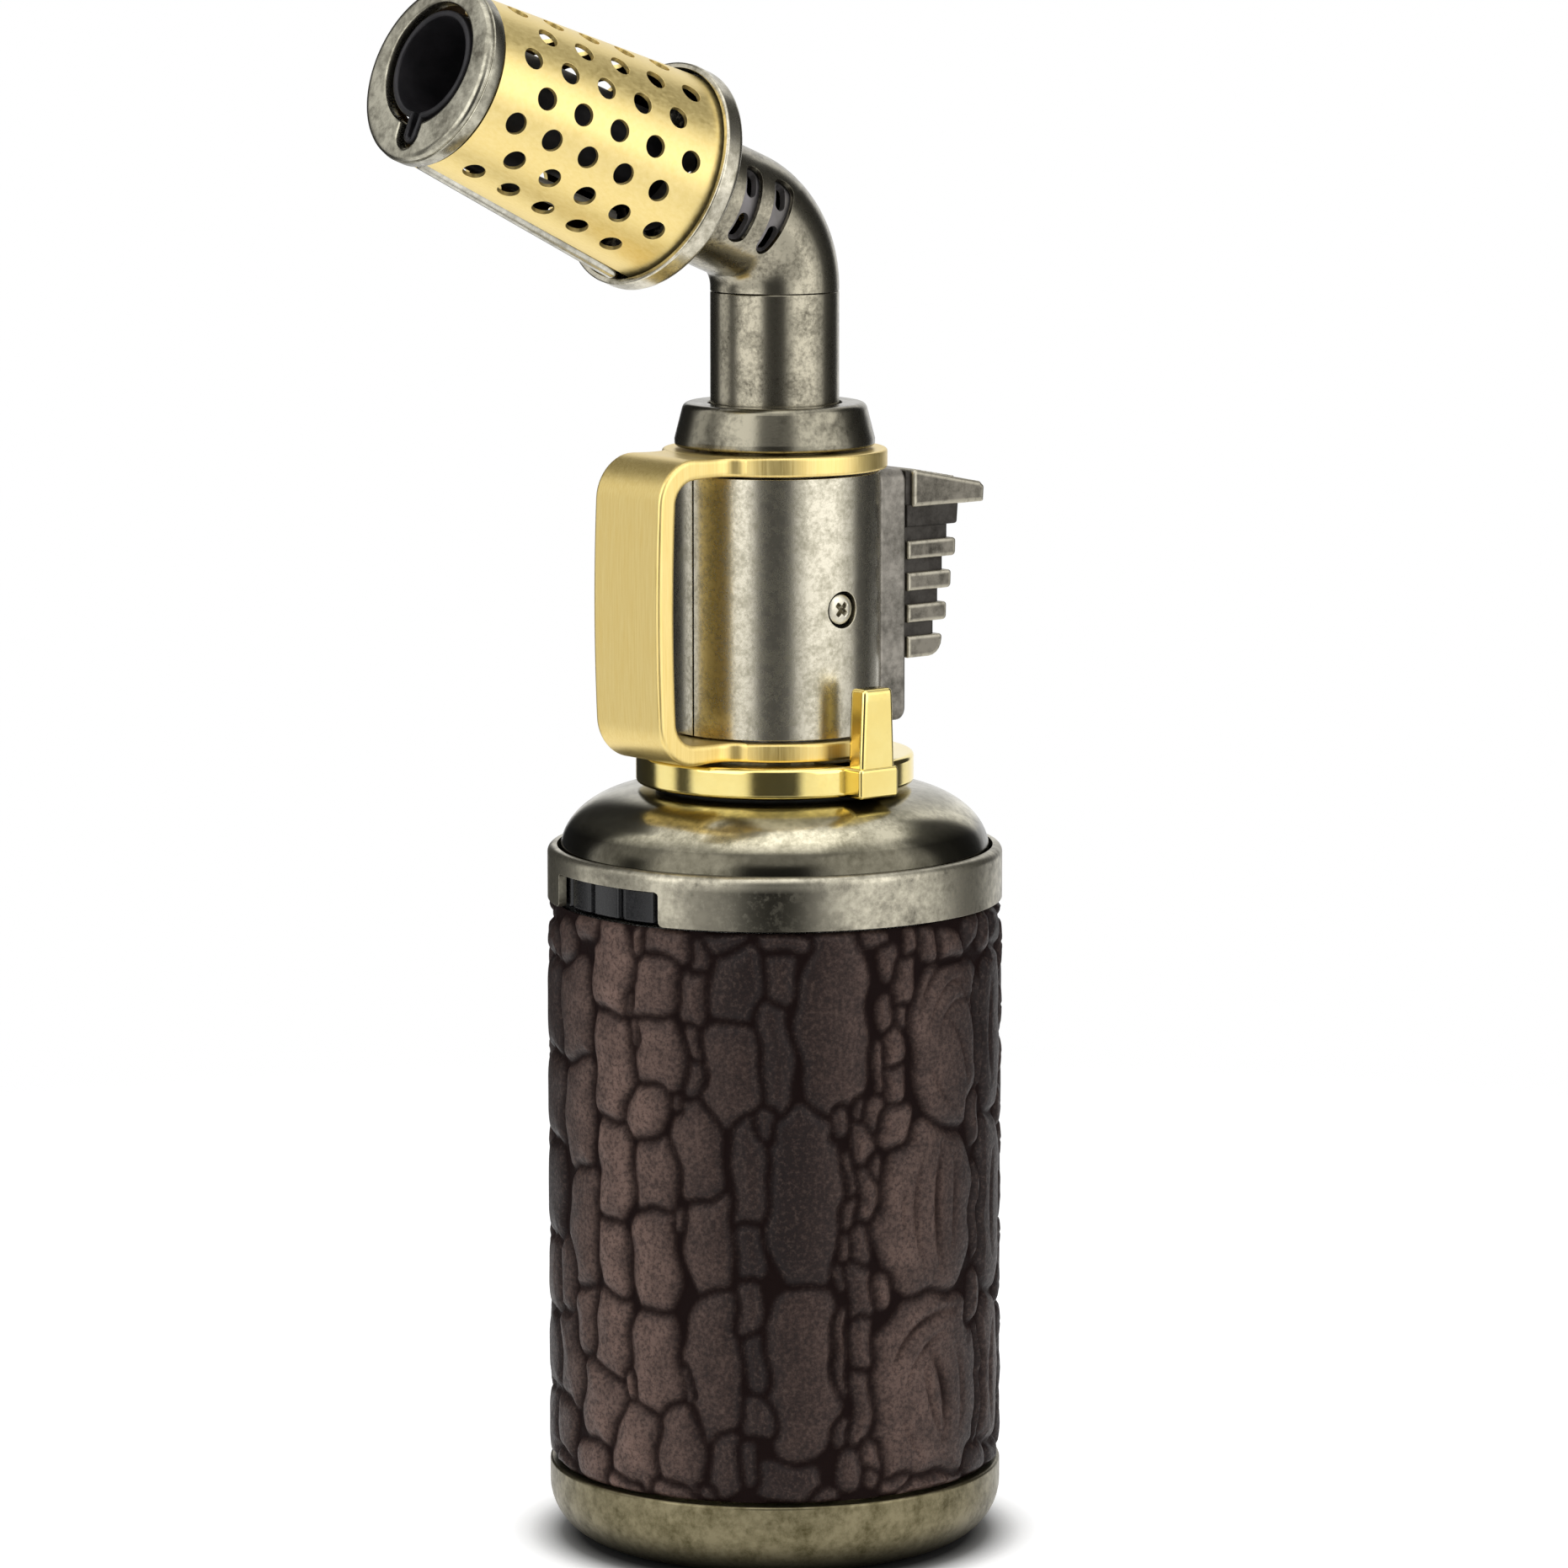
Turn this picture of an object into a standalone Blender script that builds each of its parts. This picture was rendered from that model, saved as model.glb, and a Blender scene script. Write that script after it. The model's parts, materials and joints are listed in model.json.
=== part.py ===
"""Butane torch lighter, built as the pieces that it comes apart into.

The lighter stands on its flat foot, +Z is up and the nozzle points towards +X.
A fuel tank in a leather-wrapped sleeve carries a chassis, whose neck holds the flame ring, the
finger guard, the two housing halves with the igniter, and the tube that ends in the burner head.
Heights are measured from the foot.  On the head, distances run along the head's own axis, from the
point where that axis meets the axis of the body.
"""

import math

import bmesh
import bpy
from mathutils import Matrix, Vector

MM = 0.001
DEGREE = math.pi / 180

# Fits that every piece shares
FIT = 0.3 * MM                      # gap between two pieces that touch
OVERRUN = 1.0 * MM                  # how far a cutter runs past the wall that it cuts
BITE = 0.4 * MM                     # how far two shapes of one piece run into each other
MERGE = 0.001 * MM                  # points closer than this are one point

# How finely round shapes are divided
BODY_STEPS = 36
COLUMN_STEPS = 24
HEAD_STEPS = 28
ELBOW_SIDES = 24
SMALL_STEPS = 12
HOLE_STEPS = 8
SHIELD_HOLE_STEPS = 6
LONG_ARC_STEPS = 5
ARC_STEPS = 3
SHORT_ARC_STEPS = 2
CHAMFER_STEPS = 1
ROUTE_STEPS = 2

# Body: base cup, tank, sleeve and leather
BODY_RADIUS = 24.9 * MM
BASE_HEIGHT = 8.5 * MM
BASE_CORNER = 6.0 * MM
BASE_FLOOR = 2.2 * MM
BASE_CHAMFER = 3.0 * MM
SPIGOT_HEIGHT = 3.0 * MM
SPIGOT_WALL = 1.0 * MM
LEATHER_PROUD = 0.1 * MM
LEATHER_THICKNESS = 1.1 * MM
LEATHER_HEIGHT = 62.0 * MM
SLEEVE_WALL = 0.8 * MM
TANK_WALL = 1.6 * MM
TANK_FLOOR = 4.0 * MM
TANK_SEAL_THICKNESS = 0.8 * MM
LID_THICKNESS = 2.0 * MM
LID_PLUG_DEPTH = 2.5 * MM
LID_PLUG_WALL = 1.5 * MM

# Screws with a cross slot
BASE_SCREW_COUNT = 3
BASE_SCREW_CIRCLE = 15.0 * MM
BASE_SCREW_INSET = 0.2 * MM
BASE_SCREW_LENGTH = 5.0 * MM
SCREW_HEAD_RADIUS = 1.7 * MM
SCREW_HEAD_HEIGHT = 0.8 * MM
SCREW_SHANK_RADIUS = 0.8 * MM
SCREW_SLOT_WIDTH = 0.5 * MM
SCREW_SLOT_DEPTH = 0.4 * MM
SCREW_SLOT_SHARE = 0.62             # reach of the cross slot, as a share of the head

# Refill valve in the foot
REFILL_OFFSET = 9.0 * MM
REFILL_BODY_RADIUS = 3.0 * MM
REFILL_FLANGE_RADIUS = 4.2 * MM
REFILL_FLANGE_HEIGHT = 1.4 * MM
REFILL_INSET = 0.4 * MM
REFILL_HEAD_LENGTH = 3.5 * MM       # body above its flange
REFILL_MOUTH_DEPTH = 3.0 * MM
REFILL_CEILING = 1.2 * MM
REFILL_VENT_RADIUS = 0.6 * MM
REFILL_CHAMBER_WALL = 0.9 * MM
REFILL_STEM_RADIUS = 0.9 * MM
REFILL_STEM_INSET = 0.5 * MM
REFILL_STEM_HEAD = 1.5 * MM
REFILL_STEM_BORE = 0.35 * MM
SPRING_WALL = 0.6 * MM

# Shoulder: band, dome, lock ring
BAND_HEIGHT = 5.8 * MM
BAND_WALL = 0.9 * MM
BAND_ROUND = 0.8 * MM
BAND_LIP_DEPTH = 1.9 * MM
WINDOW_HALF_ANGLE = 20 * DEGREE
WINDOW_CEILING = 0.2 * MM
LOCK_RING_THICKNESS = 1.8 * MM
LOCK_RIB_COUNT = 36
LOCK_RIB_DEPTH = 0.7 * MM
LOCK_GROOVE_SHARE = 0.22            # width of a groove's floor, as a share of the rib pitch
LOCK_MOUTH_SHARE = 1.5              # width of a groove's mouth, as a share of its floor
DOME_GROOVE_DEPTH = 0.7 * MM
DOME_HEIGHT = 7.1 * MM
DOME_WALL = 1.2 * MM
DOME_SKIRT_DROP = 2.0 * MM
CHASSIS_FLANGE = 2.0 * MM

# Neck of the chassis, friction washer and flame ring
NECK_RADIUS = 10.0 * MM
NECK_WALL = 1.4 * MM
WASHER_RADIUS = 13.2 * MM
WASHER_THICKNESS = 0.9 * MM
WASHER_RECESS = 1.0 * MM
FLAME_RING_RADIUS = 15.2 * MM
FLAME_RING_HEIGHT = 3.3 * MM
FLAME_RING_ROUND = 0.5 * MM
FLAME_RING_LIFT = 0.5 * MM          # dark gap between the dome and the ring
FLAME_SWING = 30 * DEGREE           # turn of the flame ring to either side
EAR_WIDTH = 5.4 * MM
EAR_REACH = 2.4 * MM                # how far the ear stands out of the ring
LEVER_TAB_WIDTH = 4.7 * MM
LEVER_TAB_TOP_WIDTH = 4.1 * MM
LEVER_TAB_THICKNESS = 2.4 * MM
LEVER_TAB_HEIGHT = 8.5 * MM
LEVER_TAB_INSET = 0.2 * MM          # the lever's face behind the ear's face

# Finger guard
GUARD_RING_RADIUS = 12.25 * MM
GUARD_BOTTOM_THICKNESS = 2.0 * MM
GUARD_TOP_THICKNESS = 2.1 * MM
GUARD_REACH = 20.35 * MM
GUARD_STRIP_THICKNESS = 2.3 * MM
GUARD_WIDTH = 11.2 * MM
GUARD_OUTER_CORNER = 4.6 * MM
GUARD_INNER_CORNER = 2.3 * MM
GUARD_BOW = 0.5 * MM

# Housing, plate and thumb slide
HOUSING_RADIUS = 11.5 * MM
HOUSING_WALL = 1.2 * MM
HOUSING_HEIGHT = 28.2 * MM
HOUSING_ROUND = 0.4 * MM
HOUSING_SCREW_HEIGHT = 13.9 * MM    # above the housing's lower edge
HOUSING_SCREW_SINK = 0.3 * MM       # the head's face below the housing's surface
HOUSING_SCREW_LENGTH = 3.6 * MM
HOUSING_BOSS_RADIUS = 3.0 * MM
PLATE_THICKNESS = 3.8 * MM
PLATE_WIDTH = 11.2 * MM
PLATE_CORNER = 1.5 * MM
SLIDE_TRAVEL = 5.0 * MM
SLIDE_TOP_DROP = 0.4 * MM           # the slide's top below the plate's top
SLIDE_SHELF_REACH = 11.2 * MM       # from the slide's back to the tip of its shelf
SLIDE_SHELF_SLOPE = 2.1 * MM        # how far the shelf's top falls towards its tip
SLIDE_SHELF_TIP = 2.2 * MM
SLIDE_SHELF_CORNER = 0.4 * MM
SLIDE_STEP_REACH = 7.6 * MM         # reach of the block under the shelf
SLIDE_STEP_HEIGHT = 2.2 * MM
SLIDE_RIB_COUNT = 4
SLIDE_RIB_HEIGHT = 2.05 * MM
SLIDE_RIB_GAP = 1.45 * MM
SLIDE_RIB_DEPTH = 0.8 * MM
SLIDE_RIB_FALL = 0.65 * MM          # each rib reaches this much less than the one above
SLIDE_HEEL = 2.2 * MM               # radius under the lowest rib
STEM_WIDTH = 3.4 * MM               # stem of the carriage in the plate's slot
STEM_POCKET = 2.6 * MM              # how far the stem goes into the thumb slide

# Chassis inside the housing
CHASSIS_NECK_ENTRY = 1.0 * MM       # how far the neck reaches into the housing
RAIL_OFFSET = 7.0 * MM
RAIL_THICKNESS = 1.5 * MM
RAIL_WIDTH = 7.0 * MM
CROWN_HEIGHT = 6.1 * MM             # block that holds the neck tube
CROWN_FLOOR = 2.0 * MM
CROWN_PASSAGE = 5.5 * MM            # radius of the hole for gas tube and wire
SHELF_THICKNESS = 1.2 * MM

# Igniter
PIEZO_OFFSET = 5.0 * MM
PIEZO_WIDTH = 6.0 * MM
PIEZO_WALL = 0.7 * MM
PIEZO_FLOOR = 1.0 * MM
PLUNGER_GRIP = 2.5 * MM             # length of the plunger inside the piezo body
CARRIAGE_WIDTH = 5.0 * MM
CARRIAGE_HEIGHT = 3.2 * MM
CARRIAGE_CLEARANCE = 0.7 * MM       # room above the carriage at rest
LEG_THICKNESS = 2.2 * MM
LEG_WIDTH = 3.6 * MM

# Outlet valve, adjuster and lever
OUTLET_RADIUS = 3.5 * MM
OUTLET_FLANGE_RADIUS = 5.0 * MM
OUTLET_FLANGE_HEIGHT = 1.5 * MM
OUTLET_DIP = 6.0 * MM               # length below the lid
OUTLET_CLEARANCE = 1.5 * MM         # valve body below the chassis shelf
OUTLET_BORE_DEPTH = 7.0 * MM
OUTLET_PASSAGE_RADIUS = 0.6 * MM
OUTLET_STEM_RADIUS = 0.9 * MM
OUTLET_COLLAR_RADIUS = 2.0 * MM
OUTLET_COLLAR_HEIGHT = 1.0 * MM
OUTLET_NIPPLE = 1.0 * MM
WHEEL_RADIUS = 7.0 * MM
WHEEL_HEIGHT = 2.5 * MM
WHEEL_TAB_WIDTH = 2.4 * MM
WHEEL_TAB_REACH = 1.6 * MM          # how far the tab enters the flame ring
LEVER_PIVOT_OFFSET = 4.2 * MM
LEVER_PIVOT_RISE = 1.8 * MM         # above the chassis shelf
LEVER_ARM = 4.6 * MM
LEVER_FORK_TIP = 0.9 * MM
LEVER_HALF_ANGLE = 6 * DEGREE
LEVER_THICKNESS = 1.4 * MM
LEVER_WIDTH = 5.6 * MM
LEVER_BOSS_RADIUS = 1.6 * MM
PIN_RADIUS = 0.8 * MM
EAR_THICKNESS = 1.6 * MM
EAR_LENGTH = 3.0 * MM
EAR_CROWN = 2.0 * MM                # height of an ear above the pin's axis

# Collar, neck tube and elbow
COLLAR_RADIUS = 10.9 * MM
COLLAR_TOP_RADIUS = 9.9 * MM
COLLAR_HEIGHT = 4.7 * MM
COLLAR_LIP = 0.8 * MM
COLLAR_ROUND = 1.0 * MM
TUBE_RADIUS = 7.0 * MM
TUBE_WALL = 1.1 * MM
NECK_TUBE_RISE = 12.05 * MM         # neck tube above the collar
ELBOW_WALL = 0.9 * MM
ELBOW_RISE = 6.05 * MM              # from the elbow's foot to the head's axis
BEND_RADIUS = 8.7 * MM
HEAD_TILT = 21.5 * DEGREE           # the head's axis above the horizontal
SOCKET_LENGTH = 16.3 * MM
AIR_SLOT_PLACES = (5.6 * MM, 9.8 * MM)
AIR_SLOT_WIDTH = 2.4 * MM
AIR_SLOT_HALF_ANGLE = 37 * DEGREE

# Air tube and jet
AIR_TUBE_WALL = 0.8 * MM
AIR_TUBE_START = 3.8 * MM
AIR_TUBE_END = 20.0 * MM
AIR_HOLE_WIDTH = 1.4 * MM
AIR_HOLE_LENGTH = 3.0 * MM
AIR_HOLE_ANGLE = 23 * DEGREE
AIR_TUBE_BACK = 1.0 * MM
WIRE_WINDOW_START = 15.9 * MM
WIRE_WINDOW_WIDTH = 2.2 * MM
JET_SHARE = 0.35                    # the jet's radius, as a share of the air tube's bore
JET_LENGTH = 5.6 * MM
JET_FLANGE_SHARE = 0.515
JET_FLANGE_HEIGHT = 1.0 * MM
JET_BORE = 0.4 * MM

# Burner head
CUP_RADIUS = 12.5 * MM
CUP_BACK = 1.0 * MM
CUP_RIM_DEPTH = 1.5 * MM
CUP_RIM_WALL = 0.7 * MM
CUP_ROUND = 0.7 * MM
SHIELD_REAR_RADIUS = 11.55 * MM
SHIELD_FRONT_RADIUS = 9.45 * MM
SHIELD_WALL = 0.5 * MM
SHIELD_HOLE_RADIUS = 1.2 * MM
SHIELD_HOLES_IN_LINE = 5
SHIELD_HOLE_PITCH = 4.82 * MM
SHIELD_FIRST_HOLE = 22.52 * MM
SHIELD_LINES_TO_A_SIDE = 7          # lines of holes on either side of the topmost line
SHIELD_LINE_ANGLE = 21.5 * DEGREE
SHIELD_LINE_TURN = -1.6 * DEGREE       # the topmost line lies this far off the head's top
RAIL_GAP_WIDTH = 2.6 * MM           # open seam of the shield, over the rail
BEZEL_START = 48.2 * MM
BEZEL_LENGTH = 2.3 * MM
BEZEL_RADIUS = 9.75 * MM
BEZEL_ROUND = 0.6 * MM
BEZEL_FACE = 1.3 * MM
BEZEL_SPIGOT = 2.0 * MM
BEZEL_SPIGOT_WALL = 0.8 * MM
MOUTH_RADIUS = 6.0 * MM
MOUTH_OFFSET = 0.9 * MM             # the burner sits this much towards the head's top
KEYHOLE_WIDTH = 4.0 * MM
KEYHOLE_REACH = 8.8 * MM            # from the head's axis
BURNER_RADIUS = 5.3 * MM
BURNER_WALL = 0.55 * MM
BURNER_FLANGE_RADIUS = 6.4 * MM
BURNER_FLANGE = 1.2 * MM
CHANNEL_START = 34.0 * MM           # the burner tube bulges from here on, round the electrode
CHANNEL_WIDTH = 2.7 * MM
CHANNEL_REACH = 7.7 * MM            # from the head's axis
DIFFUSER_PLACE = 32.0 * MM
DIFFUSER_THICKNESS = 2.0 * MM
DIFFUSER_HOLE_RADIUS = 0.7 * MM
DIFFUSER_HOLES = 6
DIFFUSER_CIRCLE_SHARE = 0.58        # circle of the diffuser's holes, as a share of its radius
INSULATOR_RADIUS = 1.15 * MM
INSULATOR_BORE = 0.75 * MM
INSULATOR_PLACE = 6.3 * MM          # distance from the head's axis
INSULATOR_START = 22.0 * MM
ELECTRODE_RADIUS = 0.45 * MM
ELECTRODE_INSET = 1.0 * MM          # the electrode's tip behind the burner's mouth
RAIL_RADIUS = 0.9 * MM
RAIL_SINK_FRONT = 0.6 * MM          # the rail's middle inside the shield's outer surface
RAIL_SINK_REAR = 0.2 * MM
GAS_TUBE_RADIUS = 0.8 * MM
WIRE_RADIUS = 0.5 * MM
SIDE_ROUTE = 4.0 * MM               # gas tube and wire beside the carriage
ROUTE_STUB = 1.0 * MM               # straight piece at the start of either
ROUTE_RISE = 4.0 * MM               # height in which either moves half way to its side
GAS_RISE = 2.75 * MM                # the same for the gas tube, under the carriage
WIRE_PLACE_SHARE = 0.742            # the wire beside the jet, as a share of the air tube's bore
WIRE_CROSSING_SHARE = 0.7           # where the wire turns from its side to the front

# Radii of the body, from the leather inwards
LEATHER_OUTER = BODY_RADIUS + LEATHER_PROUD
LEATHER_INNER = LEATHER_OUTER - LEATHER_THICKNESS
SLEEVE_OUTER = LEATHER_INNER - FIT
SLEEVE_INNER = SLEEVE_OUTER - SLEEVE_WALL
SPIGOT_OUTER = SLEEVE_INNER - FIT
SPIGOT_INNER = SPIGOT_OUTER - SPIGOT_WALL
TANK_RADIUS = SPIGOT_INNER - FIT
TANK_INNER = TANK_RADIUS - TANK_WALL
BAND_INNER = BODY_RADIUS - BAND_WALL
LOCK_RING_OUTER = BAND_INNER - FIT
LOCK_RING_INNER = LOCK_RING_OUTER - LOCK_RING_THICKNESS
DOME_RIM_RADIUS = BODY_RADIUS - BAND_ROUND - FIT - FIT
DOME_SKIRT_OUTER = LOCK_RING_INNER - FIT
DOME_SKIRT_INNER = DOME_SKIRT_OUTER - DOME_WALL
NECK_INNER = NECK_RADIUS - NECK_WALL
NECK_BORE = NECK_RADIUS + FIT
TUBE_BORE = TUBE_RADIUS + FIT
HOUSING_INNER = HOUSING_RADIUS - HOUSING_WALL

# Heights, from the foot up
LEATHER_BOTTOM = BASE_HEIGHT + FIT
BAND_BOTTOM = LEATHER_BOTTOM + LEATHER_HEIGHT + FIT
BAND_TOP = BAND_BOTTOM + BAND_HEIGHT
BAND_LIP_BOTTOM = BAND_TOP - BAND_LIP_DEPTH
DOME_RIM_TOP = BAND_TOP - DOME_GROOVE_DEPTH
DOME_TOP = DOME_RIM_TOP + DOME_HEIGHT
DOME_SKIRT_BOTTOM = BAND_BOTTOM - DOME_SKIRT_DROP
CHASSIS_FLANGE_TOP = DOME_SKIRT_BOTTOM - FIT
CHASSIS_BOTTOM = CHASSIS_FLANGE_TOP - CHASSIS_FLANGE
LID_TOP = CHASSIS_BOTTOM - FIT
LID_BOTTOM = LID_TOP - LID_THICKNESS
TANK_SEAL_BOTTOM = LID_BOTTOM - FIT - TANK_SEAL_THICKNESS
TANK_TOP = TANK_SEAL_BOTTOM - FIT
TANK_BOTTOM = BASE_FLOOR + FIT
TANK_FLOOR_TOP = TANK_BOTTOM + TANK_FLOOR
FLAME_RING_BOTTOM = DOME_TOP + FLAME_RING_LIFT
FLAME_RING_TOP = FLAME_RING_BOTTOM + FLAME_RING_HEIGHT
GUARD_BOTTOM = FLAME_RING_TOP + FIT
HOUSING_BOTTOM = GUARD_BOTTOM + GUARD_BOTTOM_THICKNESS + FIT
HOUSING_TOP = HOUSING_BOTTOM + HOUSING_HEIGHT
GUARD_TOP_RING = HOUSING_TOP + FIT
GUARD_TOP = GUARD_TOP_RING + GUARD_TOP_THICKNESS
COLLAR_BOTTOM = GUARD_TOP + FIT
COLLAR_TOP = COLLAR_BOTTOM + COLLAR_HEIGHT
NECK_TUBE_TOP = COLLAR_TOP + NECK_TUBE_RISE
ELBOW_BOTTOM = NECK_TUBE_TOP + FIT
HEAD_HEIGHT = ELBOW_BOTTOM + ELBOW_RISE
NECK_TOP = HOUSING_BOTTOM + CHASSIS_NECK_ENTRY
SHELF_BOTTOM = NECK_TOP - SHELF_THICKNESS
CROWN_TOP = HOUSING_TOP - FIT
CROWN_BOTTOM = CROWN_TOP - CROWN_HEIGHT
NECK_TUBE_BOTTOM = CROWN_BOTTOM + CROWN_FLOOR + FIT

# The mechanism in the housing
PIEZO_BOTTOM = NECK_TOP + FIT
CARRIAGE_BOTTOM = CROWN_BOTTOM - CARRIAGE_CLEARANCE - CARRIAGE_HEIGHT
PIEZO_TOP = CARRIAGE_BOTTOM - SLIDE_TRAVEL - FIT
PIEZO_HEIGHT = PIEZO_TOP - PIEZO_BOTTOM
PLUNGER_BOTTOM = PIEZO_TOP - PLUNGER_GRIP
PLUNGER_LENGTH = CARRIAGE_BOTTOM - FIT - PLUNGER_BOTTOM
PIVOT_HEIGHT = NECK_TOP + LEVER_PIVOT_RISE
LEVER_SKIN = LEVER_THICKNESS / 2 / math.cos(LEVER_HALF_ANGLE)
LEG_BOTTOM = PIVOT_HEIGHT - LEVER_ARM * math.sin(LEVER_HALF_ANGLE) + LEVER_SKIN + FIT + SLIDE_TRAVEL
FORK_NEAR = LEVER_PIVOT_OFFSET - OUTLET_COLLAR_RADIUS
COLLAR_REST = PIVOT_HEIGHT - FORK_NEAR * math.sin(LEVER_HALF_ANGLE) + LEVER_SKIN + FIT
STEM_LIFT = 2 * LEVER_PIVOT_OFFSET * math.sin(LEVER_HALF_ANGLE)
STEM_TOP = COLLAR_REST + OUTLET_COLLAR_HEIGHT + OUTLET_NIPPLE
OUTLET_TOP = SHELF_BOTTOM - OUTLET_CLEARANCE
WHEEL_BOTTOM = FLAME_RING_BOTTOM + (FLAME_RING_HEIGHT - WHEEL_HEIGHT) / 2
PLATE_INNER = HOUSING_INNER
PLATE_OUTER = PLATE_INNER + PLATE_THICKNESS
SLIDE_BACK = PLATE_OUTER + FIT
SLIDE_TOP = HOUSING_TOP - SLIDE_TOP_DROP

# The head, along its axis
CUP_START = SOCKET_LENGTH + FIT
CUP_END = CUP_START + CUP_BACK + CUP_RIM_DEPTH
AIR_TUBE_OUTER = TUBE_RADIUS - ELBOW_WALL - FIT - FIT / 2
AIR_TUBE_INNER = AIR_TUBE_OUTER - AIR_TUBE_WALL
JET_RADIUS = AIR_TUBE_INNER * JET_SHARE
JET_FLANGE_RADIUS = AIR_TUBE_INNER * JET_FLANGE_SHARE
WIRE_IN_ELBOW = AIR_TUBE_INNER * WIRE_PLACE_SHARE
SHIELD_START = CUP_START + CUP_BACK + FIT
SHIELD_END = BEZEL_START - FIT
BEZEL_END = BEZEL_START + BEZEL_LENGTH
BURNER_START = AIR_TUBE_END + FIT
BURNER_END = BEZEL_END - BEZEL_FACE - FIT

FINISHES = {
    # name: (colour, metallic, roughness)
    "antique_silver": ((0.30, 0.29, 0.25), 1.0, 0.35),
    "satin_brass": ((0.80, 0.62, 0.28), 1.0, 0.32),
    "polished_gold": ((0.90, 0.70, 0.28), 1.0, 0.10),
    "brown_leather": ((0.075, 0.045, 0.042), 0.0, 0.60),
    "black_plastic": ((0.012, 0.012, 0.014), 0.0, 0.40),
    "white_plastic": ((0.75, 0.74, 0.70), 0.0, 0.45),
    "clear_grey_plastic": ((0.40, 0.42, 0.42), 0.0, 0.30),
    "black_rubber": ((0.02, 0.02, 0.02), 0.0, 0.80),
    "bright_steel": ((0.62, 0.62, 0.60), 1.0, 0.25),
    "zinc_casting": ((0.42, 0.42, 0.42), 1.0, 0.50),
    "machined_brass": ((0.72, 0.53, 0.22), 1.0, 0.30),
    "heat_black_steel": ((0.03, 0.03, 0.033), 0.9, 0.45),
    "white_ceramic": ((0.85, 0.84, 0.80), 0.0, 0.30),
}


QUARTER = 90 * DEGREE
UPRIGHT = (QUARTER, 0, 0)           # stands an outline up, so that its second number is a height
SIDES = (("left", 1), ("right", -1))


def clear_scene():
    for old in list(bpy.data.objects):
        bpy.data.objects.remove(old, do_unlink=True)


def new_collection(name):
    collection = bpy.data.collections.new(name)
    bpy.context.scene.collection.children.link(collection)
    return collection


clear_scene()
PARTS = new_collection("torch_lighter")
CUTTERS = new_collection("cutters")


def make_finish(name):
    colour, metallic, roughness = FINISHES[name]
    material = bpy.data.materials.new(name)
    material.use_nodes = True
    shader = material.node_tree.nodes["Principled BSDF"]
    shader.inputs["Base Color"].default_value = (*colour, 1.0)
    shader.inputs["Metallic"].default_value = metallic
    shader.inputs["Roughness"].default_value = roughness
    material.diffuse_color = (*colour, 1.0)
    return material


MATERIALS = {name: make_finish(name) for name in FINISHES}


def frame(name, location=(0, 0, 0), rotation=(0, 0, 0), parent=None):
    """An empty that carries pieces, so that they share its place and its turn."""
    empty = bpy.data.objects.new(name, None)
    PARTS.objects.link(empty)
    empty.parent = parent
    empty.location = location
    empty.rotation_euler = rotation
    return empty


def place(name, mesh, finish=None, location=(0, 0, 0), rotation=(0, 0, 0), parent=None):
    """Make an object: a piece in its own finish, or, without one, a cutter."""
    obj = bpy.data.objects.new(name, mesh)
    obj.parent = parent
    obj.location = location
    obj.rotation_euler = rotation
    if finish:
        PARTS.objects.link(obj)
        mesh.materials.append(MATERIALS[finish])
    else:
        CUTTERS.objects.link(obj)
        obj.display_type = "WIRE"
        obj.hide_render = True
    return obj


def shade(mesh):
    mesh.shade_smooth()
    mesh.set_sharp_from_angle(angle=35 * DEGREE)
    return mesh


def evaluated_mesh(source):
    """The mesh of an object with its modifiers, or of a curve, with loose seams welded."""
    bpy.context.view_layer.update()
    graph = bpy.context.evaluated_depsgraph_get()
    mesh = bpy.data.meshes.new_from_object(source.evaluated_get(graph))
    data = source.data
    bpy.data.objects.remove(source, do_unlink=True)
    if isinstance(data, bpy.types.Curve):
        bpy.data.curves.remove(data)
    work = bmesh.new()
    work.from_mesh(mesh)
    bmesh.ops.remove_doubles(work, verts=work.verts, dist=MERGE)
    work.to_mesh(mesh)
    work.free()
    return shade(mesh)


def arc(centre_radius, centre_height, radius, start, end, steps=ARC_STEPS, tall=None):
    """Points of a round or, where tall is given, an elliptic corner, from one angle to another."""
    tall = radius if tall is None else tall
    points = []
    for index in range(steps + 1):
        angle = start + (end - start) * index / steps
        points.append((centre_radius + radius * math.cos(angle), centre_height + tall * math.sin(angle)))
    return points


def turned_mesh(outline, closed, steps):
    """Turn (radius, height) points about the vertical axis; the outline runs down its outer side."""
    profile = bpy.data.meshes.new("profile")
    edges = [(index, index + 1) for index in range(len(outline) - 1)]
    if closed:
        edges.append((len(outline) - 1, 0))
    profile.from_pydata([(radius, 0, height) for radius, height in outline], edges, [])
    lathe = bpy.data.objects.new("lathe", profile)
    CUTTERS.objects.link(lathe)
    screw = lathe.modifiers.new("Turn", "SCREW")
    screw.steps = steps
    screw.render_steps = steps
    screw.use_merge_vertices = True
    screw.merge_threshold = MERGE
    return evaluated_mesh(lathe)


def turned(name, outline, finish=None, closed=True, steps=COLUMN_STEPS, **where):
    return place(name, turned_mesh(outline, closed, steps), finish, **where)


def tube_outline(inner, outer, height, bottom=0):
    return [(outer, bottom + height), (outer, bottom), (inner, bottom), (inner, bottom + height)]


def rod(name, radius, height, finish=None, steps=SMALL_STEPS, bottom=0, **where):
    """A plain cylinder that stands on its own bottom."""
    work = bmesh.new()
    bmesh.ops.create_cone(
        work, cap_ends=True, segments=steps, radius1=radius, radius2=radius, depth=height,
        matrix=Matrix.Translation((0, 0, bottom + height / 2)))
    mesh = bpy.data.meshes.new(name)
    work.to_mesh(mesh)
    work.free()
    return place(name, shade(mesh), finish, **where)


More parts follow.
